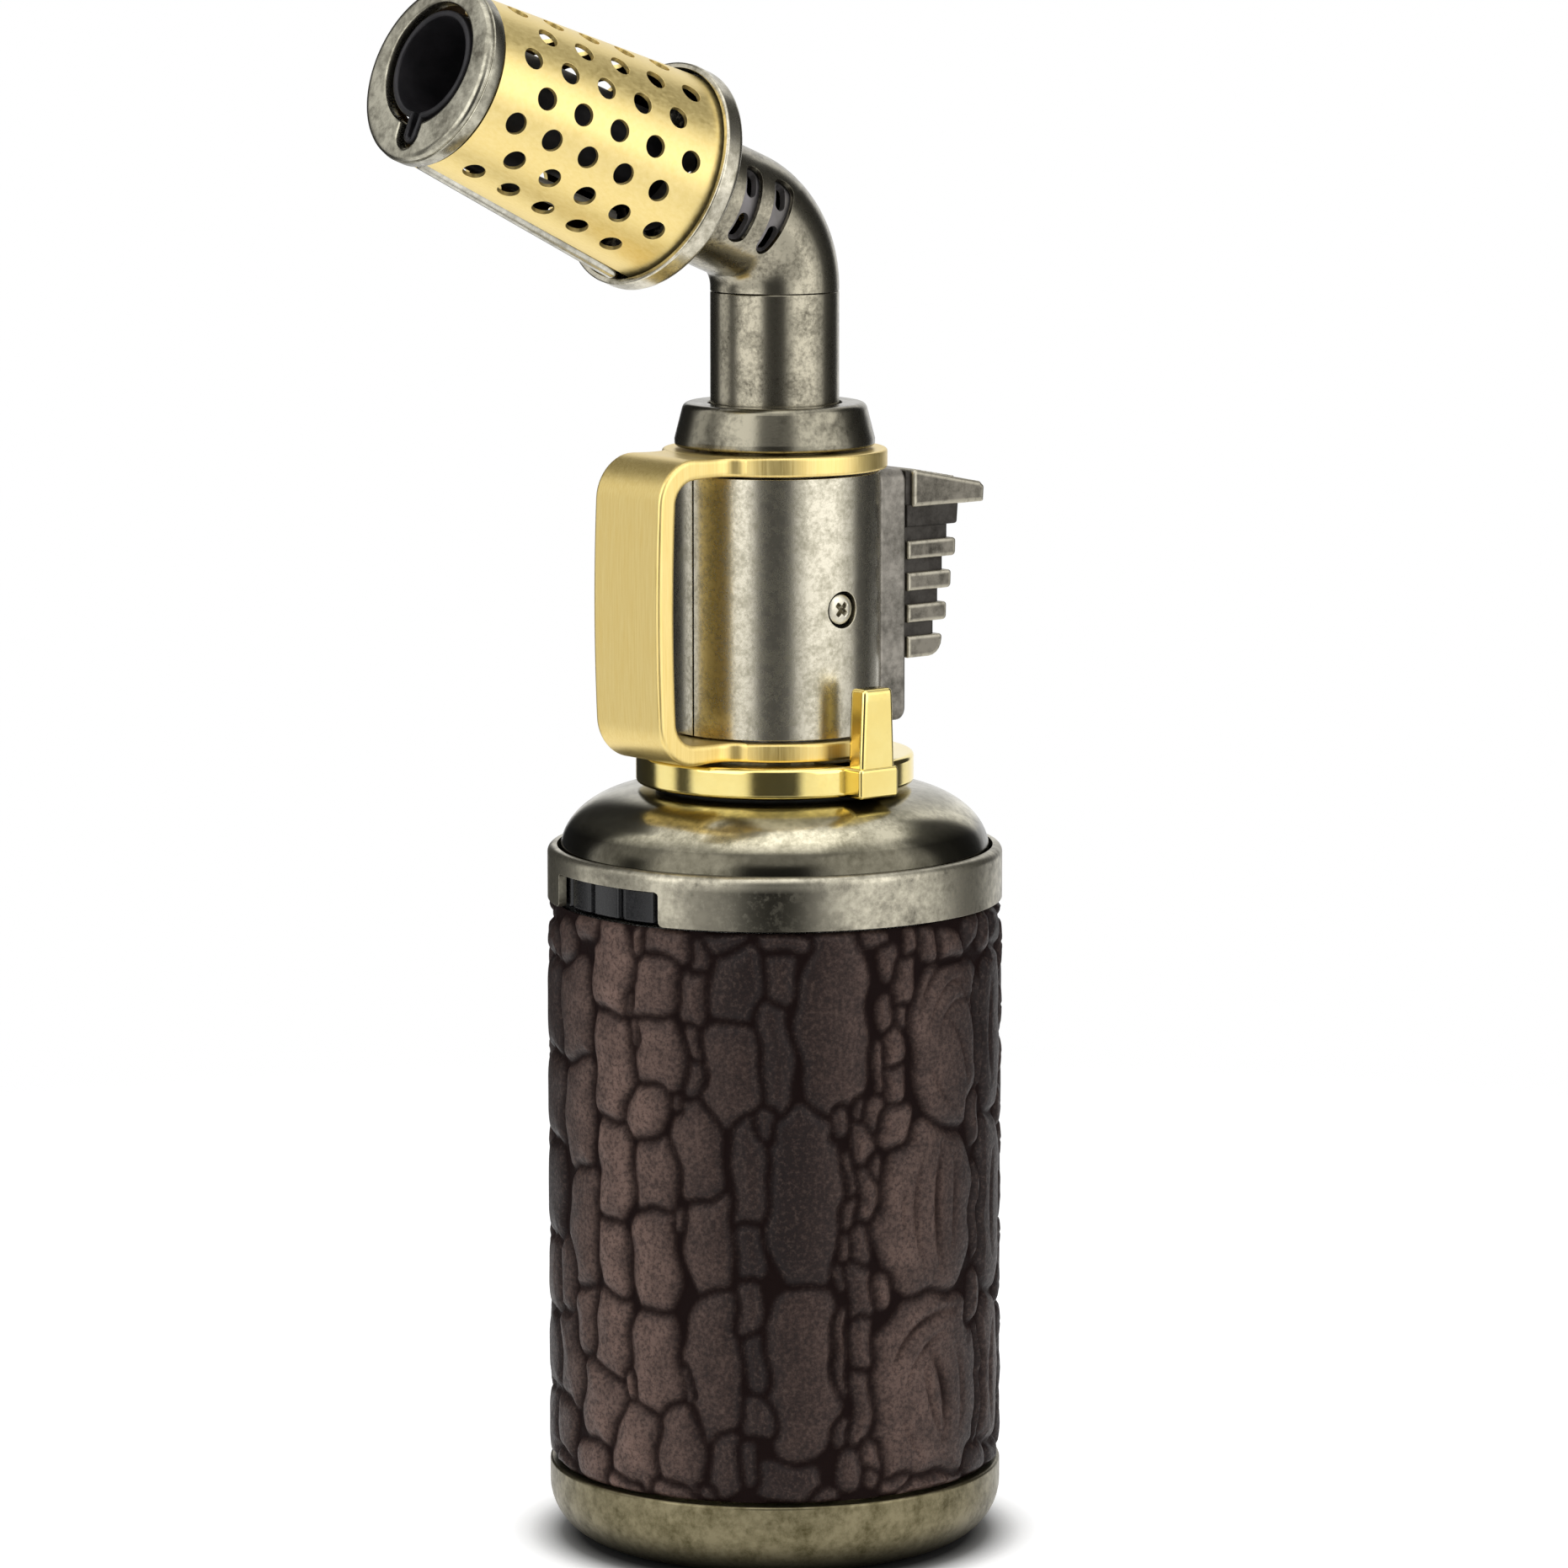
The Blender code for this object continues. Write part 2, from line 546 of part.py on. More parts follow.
def block(name, low, high, finish=None, top_scale=(1, 1), **where):
    """A box between two corners, whose top can be narrower than its bottom."""
    middle = (Vector(low) + Vector(high)) / 2
    size = Vector(high) - Vector(low)
    work = bmesh.new()
    bmesh.ops.create_cube(work, size=1)
    for vertex in work.verts:
        if vertex.co.z > 0:
            vertex.co.x *= top_scale[0]
            vertex.co.y *= top_scale[1]
        vertex.co = Vector((vertex.co.x * size.x, vertex.co.y * size.y, vertex.co.z * size.z)) + middle
    mesh = bpy.data.meshes.new(name)
    work.to_mesh(mesh)
    work.free()
    return place(name, mesh, finish, **where)


def flat(name, outlines, thickness, finish=None, **where):
    """A flat outline in the XY plane, with its holes, made as thick as asked about that plane."""
    curve = bpy.data.curves.new(name, "CURVE")
    curve.dimensions = "2D"
    curve.fill_mode = "BOTH"
    curve.extrude = thickness / 2
    for outline in outlines:
        spline = curve.splines.new("POLY")
        spline.points.add(len(outline) - 1)
        for point, (across, along) in zip(spline.points, outline):
            point.co = (across, along, 0, 1)
        spline.use_cyclic_u = True
    sketch = bpy.data.objects.new(name + "_sketch", curve)
    CUTTERS.objects.link(sketch)
    return place(name, evaluated_mesh(sketch), finish, **where)


def swept(name, points, radius, finish=None, sides=HOLE_STEPS, **where):
    """A round bar along a list of points."""
    curve = bpy.data.curves.new(name, "CURVE")
    curve.dimensions = "3D"
    curve.bevel_depth = radius
    curve.bevel_resolution = (sides - 4) // 2
    curve.use_fill_caps = True
    spline = curve.splines.new("POLY")
    spline.points.add(len(points) - 1)
    for point, place_of_point in zip(spline.points, points):
        point.co = (*place_of_point, 1)
    sketch = bpy.data.objects.new(name + "_sketch", curve)
    CUTTERS.objects.link(sketch)
    return place(name, evaluated_mesh(sketch), finish, **where)


def shape_with(target, tool, operation):
    modifier = target.modifiers.new(tool.name, "BOOLEAN")
    modifier.operation = operation
    modifier.object = tool
    modifier.solver = "EXACT"


def cut(target, *tools):
    for tool in tools:
        shape_with(target, tool, "DIFFERENCE")


def join(target, *tools):
    for tool in tools:
        shape_with(target, tool, "UNION")


def smooth_route(points, steps):
    """Points on a smooth curve through a few chosen ones (Catmull-Rom)."""
    points = [Vector(point) for point in points]
    padded = [2 * points[0] - points[1], *points, 2 * points[-1] - points[-2]]
    route = []
    for before, start, end, after in zip(padded, padded[1:], padded[2:], padded[3:]):
        for index in range(steps):
            t = index / steps
            route.append(0.5 * (2 * start + (end - before) * t
                                + (2 * before - 5 * start + 4 * end - after) * t ** 2
                                + (3 * start - before - 3 * end + after) * t ** 3))
    route.append(points[-1])
    return route


def screw_piece(name, length, **where):
    """A pan-head screw: its head's face is at zero, and its shank runs up from there."""
    outline = [(0, SCREW_HEAD_HEIGHT + length), (SCREW_SHANK_RADIUS, SCREW_HEAD_HEIGHT + length),
               (SCREW_SHANK_RADIUS, SCREW_HEAD_HEIGHT), (SCREW_HEAD_RADIUS, SCREW_HEAD_HEIGHT),
               (SCREW_HEAD_RADIUS, SCREW_HEAD_HEIGHT / 2), (SCREW_HEAD_RADIUS - SCREW_HEAD_HEIGHT / 2, 0),
               (0, 0)]
    piece = turned(name, outline, "antique_silver", closed=False, steps=SMALL_STEPS, **where)
    reach = SCREW_HEAD_RADIUS * SCREW_SLOT_SHARE
    for turn in range(2):
        slot = block(f"{name}_slot_{turn + 1}", (-reach, -SCREW_SLOT_WIDTH / 2, -OVERRUN),
                     (reach, SCREW_SLOT_WIDTH / 2, SCREW_SLOT_DEPTH), **where)
        slot.rotation_euler = (slot.rotation_euler.to_matrix()
                               @ Matrix.Rotation(turn * QUARTER, 3, "Z")).to_euler()
        cut(piece, slot)
    return piece


def make_body():
    base = turned("base_cup", [
        (0, BASE_FLOOR), (SPIGOT_INNER - BASE_CHAMFER, BASE_FLOOR),
        (SPIGOT_INNER, BASE_FLOOR + BASE_CHAMFER), (SPIGOT_INNER, BASE_HEIGHT + SPIGOT_HEIGHT),
        (SPIGOT_OUTER, BASE_HEIGHT + SPIGOT_HEIGHT), (SPIGOT_OUTER, BASE_HEIGHT),
        (BODY_RADIUS, BASE_HEIGHT),
        *arc(BODY_RADIUS - BASE_CORNER, BASE_CORNER, BASE_CORNER, 0, -QUARTER, LONG_ARC_STEPS),
        (0, 0)], "antique_silver", closed=False, steps=BODY_STEPS)
    tank = turned("fuel_tank", [
        (0, TANK_FLOOR), (TANK_INNER, TANK_FLOOR), (TANK_INNER, TANK_TOP - TANK_BOTTOM),
        (TANK_RADIUS, TANK_TOP - TANK_BOTTOM), (TANK_RADIUS, BASE_CHAMFER),
        (TANK_RADIUS - BASE_CHAMFER, 0), (0, 0)], "clear_grey_plastic", closed=False,
        steps=BODY_STEPS, location=(0, 0, TANK_BOTTOM))
    turned("tank_seal", tube_outline(TANK_INNER, TANK_RADIUS, TANK_SEAL_THICKNESS), "black_rubber",
           location=(0, 0, TANK_SEAL_BOTTOM))
    plug = TANK_INNER - FIT
    turned("tank_lid", [
        (TANK_RADIUS, LID_THICKNESS), (TANK_RADIUS, 0), (plug, 0), (plug, -LID_PLUG_DEPTH),
        (plug - LID_PLUG_WALL, -LID_PLUG_DEPTH), (plug - LID_PLUG_WALL, 0),
        (OUTLET_RADIUS + FIT, 0), (OUTLET_RADIUS + FIT, LID_THICKNESS)], "clear_grey_plastic",
        location=(0, 0, LID_BOTTOM))
    turned("body_sleeve", tube_outline(SLEEVE_INNER, SLEEVE_OUTER, LEATHER_HEIGHT), "bright_steel",
           steps=BODY_STEPS, location=(0, 0, LEATHER_BOTTOM))
    turned("leather_wrap", tube_outline(LEATHER_INNER, LEATHER_OUTER, LEATHER_HEIGHT),
           "brown_leather", steps=BODY_STEPS, location=(0, 0, LEATHER_BOTTOM))

    head_top = BASE_SCREW_INSET + SCREW_HEAD_HEIGHT + FIT
    tip = BASE_SCREW_INSET + SCREW_HEAD_HEIGHT + BASE_SCREW_LENGTH + FIT
    hole_outline = [(0, tip), (SCREW_SHANK_RADIUS + FIT, tip), (SCREW_SHANK_RADIUS + FIT, head_top),
                    (SCREW_HEAD_RADIUS + FIT, head_top), (SCREW_HEAD_RADIUS + FIT, -OVERRUN),
                    (0, -OVERRUN)]
    for index in range(BASE_SCREW_COUNT):
        angle = 2 * math.pi * index / BASE_SCREW_COUNT
        across = BASE_SCREW_CIRCLE * math.cos(angle)
        along = BASE_SCREW_CIRCLE * math.sin(angle)
        hole = turned(f"base_screw_hole_{index + 1}", hole_outline, closed=False, steps=SMALL_STEPS,
                      location=(across, along, 0))
        cut(base, hole)
        cut(tank, hole)
        screw_piece(f"base_screw_{index + 1}", BASE_SCREW_LENGTH,
                    location=(across, along, BASE_SCREW_INSET))

    refill_hole = rod("refill_hole", REFILL_BODY_RADIUS + FIT, TANK_FLOOR_TOP + 2 * OVERRUN,
                      bottom=-OVERRUN, location=(-REFILL_OFFSET, 0, 0))
    cut(base, refill_hole)
    cut(tank, refill_hole)


def make_refill_valve():
    flange = TANK_FLOOR_TOP + FIT - REFILL_INSET
    flange_top = flange + REFILL_FLANGE_HEIGHT
    top = flange_top + REFILL_HEAD_LENGTH
    chamber = REFILL_BODY_RADIUS - REFILL_CHAMBER_WALL
    mouth = REFILL_STEM_RADIUS + FIT
    valve = frame("refill_valve", (-REFILL_OFFSET, 0, REFILL_INSET))
    turned("refill_valve_body", [
        (REFILL_BODY_RADIUS, top), (REFILL_BODY_RADIUS, flange_top),
        (REFILL_FLANGE_RADIUS, flange_top), (REFILL_FLANGE_RADIUS, flange),
        (REFILL_BODY_RADIUS, flange), (REFILL_BODY_RADIUS, 0), (mouth, 0),
        (mouth, REFILL_MOUTH_DEPTH), (chamber, REFILL_MOUTH_DEPTH), (chamber, top - REFILL_CEILING),
        (REFILL_VENT_RADIUS, top - REFILL_CEILING), (REFILL_VENT_RADIUS, top)],
        "machined_brass", steps=SMALL_STEPS, parent=valve)
    head = REFILL_MOUTH_DEPTH + FIT
    turned("refill_valve_stem", [
        (chamber - FIT, head + REFILL_STEM_HEAD), (chamber - FIT, head), (REFILL_STEM_RADIUS, head),
        (REFILL_STEM_RADIUS, REFILL_STEM_INSET), (REFILL_STEM_BORE, REFILL_STEM_INSET),
        (REFILL_STEM_BORE, head + REFILL_STEM_HEAD)],
        "machined_brass", steps=SMALL_STEPS, parent=valve)
    spring_bottom = head + REFILL_STEM_HEAD + FIT
    spring_top = top - REFILL_CEILING - FIT
    turned("refill_valve_spring", tube_outline(
        chamber - FIT - SPRING_WALL, chamber - FIT, spring_top - spring_bottom),
        "bright_steel", steps=SMALL_STEPS, parent=valve, location=(0, 0, spring_bottom))


def sector(inner, outer, half_angle, middle=0.0):
    """A slice of a flat ring, as one outline."""
    steps = 2 * ARC_STEPS + 1
    return (arc(0, 0, outer, middle - half_angle, middle + half_angle, steps)
            + arc(0, 0, inner, middle + half_angle, middle - half_angle, steps))


def make_shoulder():
    lip = DOME_RIM_RADIUS + FIT
    band = turned("shoulder_band", [
        *arc(BODY_RADIUS - BAND_ROUND, BAND_HEIGHT - BAND_ROUND, BAND_ROUND, QUARTER, 0),
        (BODY_RADIUS, 0), (BAND_INNER, 0), (BAND_INNER, BAND_HEIGHT - BAND_LIP_DEPTH),
        (lip, BAND_HEIGHT - BAND_LIP_DEPTH), (lip, BAND_HEIGHT)],
        "antique_silver", steps=BODY_STEPS, location=(0, 0, BAND_BOTTOM))
    window_top = BAND_LIP_BOTTOM - WINDOW_CEILING
    window_height = window_top - BAND_BOTTOM + OVERRUN
    window = flat("lock_window", [sector(BAND_INNER - OVERRUN, BODY_RADIUS + OVERRUN, WINDOW_HALF_ANGLE)],
                  window_height, location=(0, 0, window_top - window_height / 2))
    cut(band, window)

    centre = WASHER_RADIUS + FIT
    seat = DOME_TOP - WASHER_RECESS
    turned("shoulder_dome", [
        (NECK_BORE, seat), (centre, seat),
        *arc(centre, DOME_RIM_TOP, DOME_RIM_RADIUS - centre, QUARTER, 0, LONG_ARC_STEPS, tall=DOME_HEIGHT),
        (DOME_RIM_RADIUS, BAND_LIP_BOTTOM), (DOME_SKIRT_OUTER, BAND_LIP_BOTTOM),
        (DOME_SKIRT_OUTER, DOME_SKIRT_BOTTOM), (DOME_SKIRT_INNER, DOME_SKIRT_BOTTOM),
        *arc(centre, DOME_RIM_TOP, DOME_SKIRT_INNER - centre, 0, QUARTER, SHORT_ARC_STEPS,
             tall=DOME_HEIGHT - WASHER_RECESS - DOME_WALL),
        (NECK_BORE, seat - DOME_WALL)],
        "antique_silver", steps=BODY_STEPS)

    pitch = 2 * math.pi / LOCK_RIB_COUNT
    groove = pitch * LOCK_GROOVE_SHARE / 2
    mouth = groove * LOCK_MOUTH_SHARE
    floor = LOCK_RING_OUTER - LOCK_RIB_DEPTH
    ribs = []
    for index in range(LOCK_RIB_COUNT):
        middle = (index + 0.5) * pitch
        ribs += arc(0, 0, floor, middle - groove, middle + groove, CHAMFER_STEPS)
        ribs += arc(0, 0, LOCK_RING_OUTER, middle + mouth, middle + pitch - mouth, CHAMFER_STEPS)
    ring_height = BAND_LIP_BOTTOM - FIT - BAND_BOTTOM
    flat("lock_ring", [ribs, arc(0, 0, LOCK_RING_INNER, 0, 2 * math.pi, BODY_STEPS)[:-1]], ring_height,
         "black_plastic", location=(0, 0, BAND_BOTTOM + ring_height / 2))


def make_chassis():
    chassis = turned("chassis", [
        (NECK_RADIUS, NECK_TOP), (NECK_RADIUS, CHASSIS_FLANGE_TOP), (TANK_RADIUS, CHASSIS_FLANGE_TOP),
        (TANK_RADIUS, CHASSIS_BOTTOM), (NECK_INNER, CHASSIS_BOTTOM), (NECK_INNER, NECK_TOP)],
        "zinc_casting")
    join(chassis, rod("chassis_crown", NECK_RADIUS, CROWN_HEIGHT, steps=COLUMN_STEPS,
                      location=(0, 0, CROWN_BOTTOM)))
    for name, side in SIDES:
        near, far = sorted((side * RAIL_OFFSET, side * (RAIL_OFFSET + RAIL_THICKNESS)))
        join(chassis, block(f"chassis_rail_{name}", (-RAIL_WIDTH / 2, near, NECK_TOP - SHELF_THICKNESS),
                            (RAIL_WIDTH / 2, far, CROWN_BOTTOM + BITE)))
    reach = NECK_INNER + NECK_WALL / 2
    half = PIEZO_WIDTH / 2
    join(chassis, block("piezo_shelf", (PIEZO_OFFSET - half, -half, SHELF_BOTTOM),
                        (math.sqrt(reach ** 2 - half ** 2), half, NECK_TOP)))
    ear_near = -LEVER_PIVOT_OFFSET + EAR_LENGTH / 2
    ear_far = -LEVER_PIVOT_OFFSET - EAR_LENGTH / 2
    bar = math.sqrt(reach ** 2 - ear_far ** 2)
    join(chassis, block("lever_bar", (ear_far, -bar, SHELF_BOTTOM), (ear_near, bar, NECK_TOP)))
    for name, side in SIDES:
        near, far = sorted((side * (LEVER_WIDTH / 2 + FIT), side * (LEVER_WIDTH / 2 + FIT + EAR_THICKNESS)))
        join(chassis, block(f"lever_ear_{name}", (ear_far, near, NECK_TOP - BITE),
                            (ear_near, far, PIVOT_HEIGHT + EAR_CROWN)))

    seat = CROWN_BOTTOM + CROWN_FLOOR
    cut(chassis, turned("neck_tube_seat", [
        (0, CROWN_TOP + OVERRUN), (TUBE_BORE, CROWN_TOP + OVERRUN), (TUBE_BORE, seat),
        (CROWN_PASSAGE, seat), (CROWN_PASSAGE, CROWN_BOTTOM - OVERRUN), (0, CROWN_BOTTOM - OVERRUN)],
        closed=False, steps=COLUMN_STEPS))
    pin_room = 2 * (LEVER_WIDTH / 2 + FIT + EAR_THICKNESS + OVERRUN)
    cut(chassis, rod("lever_pin_hole", PIN_RADIUS + FIT, pin_room, bottom=-pin_room / 2,
                     location=(-LEVER_PIVOT_OFFSET, 0, PIVOT_HEIGHT), rotation=(QUARTER, 0, 0)))
    hole = 2 * (RAIL_OFFSET + RAIL_THICKNESS + OVERRUN)
    cut(chassis, rod("rail_screw_hole", SCREW_SHANK_RADIUS + FIT, hole, bottom=-hole / 2,
                     location=(0, 0, HOUSING_BOTTOM + HOUSING_SCREW_HEIGHT), rotation=(QUARTER, 0, 0)))
    tab_angle = math.asin((WHEEL_TAB_WIDTH / 2 + FIT) / NECK_INNER)
    slot_height = WHEEL_HEIGHT + 2 * FIT
    cut(chassis, flat("adjuster_slot", [sector(
        NECK_INNER - OVERRUN, NECK_RADIUS + OVERRUN, FLAME_SWING + tab_angle, -QUARTER)], slot_height,
        location=(0, 0, WHEEL_BOTTOM - FIT + slot_height / 2)))
    turned("friction_washer", tube_outline(NECK_BORE, WASHER_RADIUS, WASHER_THICKNESS), "black_rubber",
           location=(0, 0, DOME_TOP - WASHER_RECESS + FIT))


def make_outlet_valve():
    bottom = LID_BOTTOM - OUTLET_DIP
    flange = LID_TOP + FIT
    flange_top = flange + OUTLET_FLANGE_HEIGHT
    bore = OUTLET_STEM_RADIUS + FIT
    turned("outlet_valve_body", [
        (OUTLET_RADIUS, OUTLET_TOP), (OUTLET_RADIUS, flange_top), (OUTLET_FLANGE_RADIUS, flange_top),
        (OUTLET_FLANGE_RADIUS, flange), (OUTLET_RADIUS, flange), (OUTLET_RADIUS, bottom),
        (OUTLET_PASSAGE_RADIUS, bottom), (OUTLET_PASSAGE_RADIUS, OUTLET_TOP - OUTLET_BORE_DEPTH),
        (bore, OUTLET_TOP - OUTLET_BORE_DEPTH), (bore, OUTLET_TOP)], "machined_brass",
        steps=SMALL_STEPS)
    stem_bottom = OUTLET_TOP - OUTLET_BORE_DEPTH + FIT
    turned("outlet_valve_stem", [
        (0, STEM_TOP), (OUTLET_STEM_RADIUS, STEM_TOP),
        (OUTLET_STEM_RADIUS, COLLAR_REST + OUTLET_COLLAR_HEIGHT),
        (OUTLET_COLLAR_RADIUS, COLLAR_REST + OUTLET_COLLAR_HEIGHT),
        (OUTLET_COLLAR_RADIUS, COLLAR_REST), (OUTLET_STEM_RADIUS, COLLAR_REST),
        (OUTLET_STEM_RADIUS, stem_bottom), (0, stem_bottom)], "machined_brass", closed=False,
        steps=SMALL_STEPS)
    wheel = turned("adjuster_wheel", tube_outline(OUTLET_RADIUS + FIT, WHEEL_RADIUS, WHEEL_HEIGHT),
                   "white_plastic", steps=COLUMN_STEPS, location=(0, 0, WHEEL_BOTTOM))
    join(wheel, block("adjuster_tab", (-WHEEL_TAB_WIDTH / 2, -(NECK_BORE + WHEEL_TAB_REACH), WHEEL_BOTTOM),
                      (WHEEL_TAB_WIDTH / 2, -(WHEEL_RADIUS - OVERRUN), WHEEL_BOTTOM + WHEEL_HEIGHT)))


def make_lever():
    pivot = frame("lever_pivot", (-LEVER_PIVOT_OFFSET, 0, PIVOT_HEIGHT), (0, LEVER_HALF_ANGLE, 0))
    half = LEVER_WIDTH / 2
    tip = LEVER_PIVOT_OFFSET + LEVER_FORK_TIP
    lever = block("valve_lever", (-LEVER_ARM, -half, -LEVER_THICKNESS / 2),
                  (tip, half, LEVER_THICKNESS / 2), "black_plastic", parent=pivot)
    join(lever, rod("lever_boss", LEVER_BOSS_RADIUS, LEVER_WIDTH, bottom=-half, parent=pivot,
                    rotation=(QUARTER, 0, 0)))
    gap = OUTLET_STEM_RADIUS + FIT
    cut(lever, block("lever_fork", (FORK_NEAR, -gap, -LEVER_THICKNESS), (tip + OVERRUN, gap, LEVER_THICKNESS),
                     parent=pivot))
    cut(lever, rod("lever_bore", PIN_RADIUS + FIT, LEVER_WIDTH + 2 * OVERRUN, bottom=-half - OVERRUN,
                   parent=pivot, rotation=(QUARTER, 0, 0)))
    pin_length = 2 * (half + FIT + EAR_THICKNESS)
    rod("lever_pin", PIN_RADIUS, pin_length, "bright_steel", bottom=-pin_length / 2,
        location=(-LEVER_PIVOT_OFFSET, 0, PIVOT_HEIGHT), rotation=(QUARTER, 0, 0))


def make_flame_ring():
    ring = turned("flame_ring", [
        *arc(FLAME_RING_RADIUS - FLAME_RING_ROUND, FLAME_RING_HEIGHT - FLAME_RING_ROUND,
             FLAME_RING_ROUND, QUARTER, 0, CHAMFER_STEPS),
        *arc(FLAME_RING_RADIUS - FLAME_RING_ROUND, FLAME_RING_ROUND,
             FLAME_RING_ROUND, 0, -QUARTER, CHAMFER_STEPS),
        (NECK_BORE, 0), (NECK_BORE, FLAME_RING_HEIGHT)], "polished_gold", steps=BODY_STEPS,
        location=(0, 0, FLAME_RING_BOTTOM))
    face = FLAME_RING_RADIUS + EAR_REACH
    join(ring, block("flame_ear", (-EAR_WIDTH / 2, FLAME_RING_RADIUS - OVERRUN, FLAME_RING_BOTTOM),
                     (EAR_WIDTH / 2, face, FLAME_RING_TOP)))
    tab_face = face - LEVER_TAB_INSET
    tab_back = tab_face - LEVER_TAB_THICKNESS
    join(ring, block("flame_lever", (-LEVER_TAB_WIDTH / 2, tab_back, FLAME_RING_TOP - BITE),
                     (LEVER_TAB_WIDTH / 2, tab_face, FLAME_RING_TOP + LEVER_TAB_HEIGHT),
                     top_scale=(LEVER_TAB_TOP_WIDTH / LEVER_TAB_WIDTH, 1)))
    notch = WHEEL_TAB_WIDTH / 2 + FIT
    notch_end = -(NECK_BORE + WHEEL_TAB_REACH + FIT)
    cut(ring, block("adjuster_notch", (-notch, notch_end, FLAME_RING_BOTTOM - OVERRUN),
                    (notch, -(NECK_BORE - OVERRUN), FLAME_RING_TOP + OVERRUN)))


def make_guard():
    low, high = GUARD_BOTTOM, GUARD_TOP
    inner_low = low + GUARD_BOTTOM_THICKNESS
    inner_high = GUARD_TOP_RING
    corner = GUARD_OUTER_CORNER
    small = GUARD_INNER_CORNER
    inner = GUARD_REACH - GUARD_STRIP_THICKNESS
    edge = GUARD_REACH - GUARD_BOW
    middle = (low + high) / 2
    outline = [(0, low), *arc(edge - corner, low + corner, corner, -QUARTER, 0, LONG_ARC_STEPS),
               (GUARD_REACH, middle),
               *arc(edge - corner, high - corner, corner, 0, QUARTER, LONG_ARC_STEPS), (0, high),
               (0, inner_high), *arc(inner - small, inner_high - small, small, QUARTER, 0),
               *arc(inner - small, inner_low + small, small, 0, -QUARTER), (0, inner_low)]
    guard = flat("guard_bracket", [outline], GUARD_WIDTH, "satin_brass", rotation=UPRIGHT)
    join(guard,
         rod("guard_bottom_ring", GUARD_RING_RADIUS, GUARD_BOTTOM_THICKNESS, steps=BODY_STEPS,
             location=(0, 0, low)),
         rod("guard_top_ring", GUARD_RING_RADIUS, GUARD_TOP_THICKNESS, steps=BODY_STEPS,
             location=(0, 0, inner_high)))
    cut(guard,
        rod("guard_bottom_bore", NECK_BORE, GUARD_BOTTOM_THICKNESS + 2 * OVERRUN, steps=COLUMN_STEPS,
            bottom=-OVERRUN, location=(0, 0, low)),
        rod("guard_top_bore", TUBE_BORE, GUARD_TOP_THICKNESS + 2 * OVERRUN, steps=COLUMN_STEPS,
            bottom=-OVERRUN, location=(0, 0, inner_high)))


def make_housing():
    room = HOUSING_RADIUS + OVERRUN
    plate_gap = PLATE_WIDTH / 2 + FIT
    screw_height = HOUSING_BOTTOM + HOUSING_SCREW_HEIGHT
    head_face = HOUSING_RADIUS - HOUSING_SCREW_SINK
    seat = head_face - SCREW_HEAD_HEIGHT - FIT
    boss_start = RAIL_OFFSET + RAIL_THICKNESS + FIT
    boss_end = HOUSING_INNER + BITE
    for name, side in SIDES:
        shell = turned(f"housing_{name}", [
            *arc(HOUSING_RADIUS - HOUSING_ROUND, HOUSING_HEIGHT - HOUSING_ROUND, HOUSING_ROUND,
                 QUARTER, 0, CHAMFER_STEPS),
            *arc(HOUSING_RADIUS - HOUSING_ROUND, HOUSING_ROUND, HOUSING_ROUND, 0, -QUARTER, CHAMFER_STEPS),
            (HOUSING_INNER, 0), (HOUSING_INNER, HOUSING_HEIGHT)], "antique_silver",
            location=(0, 0, HOUSING_BOTTOM))
        outwards = (-side * QUARTER, 0, 0)
        join(shell, rod(f"housing_boss_{name}", HOUSING_BOSS_RADIUS, boss_end - boss_start,
                        bottom=boss_start, location=(0, 0, screw_height), rotation=outwards))
        other_side = sorted((side * FIT / 2, -side * room))
        cut(shell,
            block(f"housing_split_{name}", (-room, other_side[0], HOUSING_BOTTOM - OVERRUN),
                  (room, other_side[1], HOUSING_TOP + OVERRUN)),
            block(f"plate_opening_{name}", (-room, -plate_gap, HOUSING_BOTTOM - OVERRUN),
                  (0, plate_gap, HOUSING_TOP + OVERRUN)),
            turned(f"housing_screw_seat_{name}", [
                (0, room), (SCREW_HEAD_RADIUS + FIT, room), (SCREW_HEAD_RADIUS + FIT, seat),
                (SCREW_SHANK_RADIUS + FIT, seat), (SCREW_SHANK_RADIUS + FIT, boss_start - OVERRUN),
                (0, boss_start - OVERRUN)], closed=False, steps=SMALL_STEPS,
                location=(0, 0, screw_height), rotation=outwards))
        screw_piece(f"housing_screw_{name}", HOUSING_SCREW_LENGTH,
                    location=(0, side * head_face, screw_height), rotation=(side * QUARTER, 0, 0))


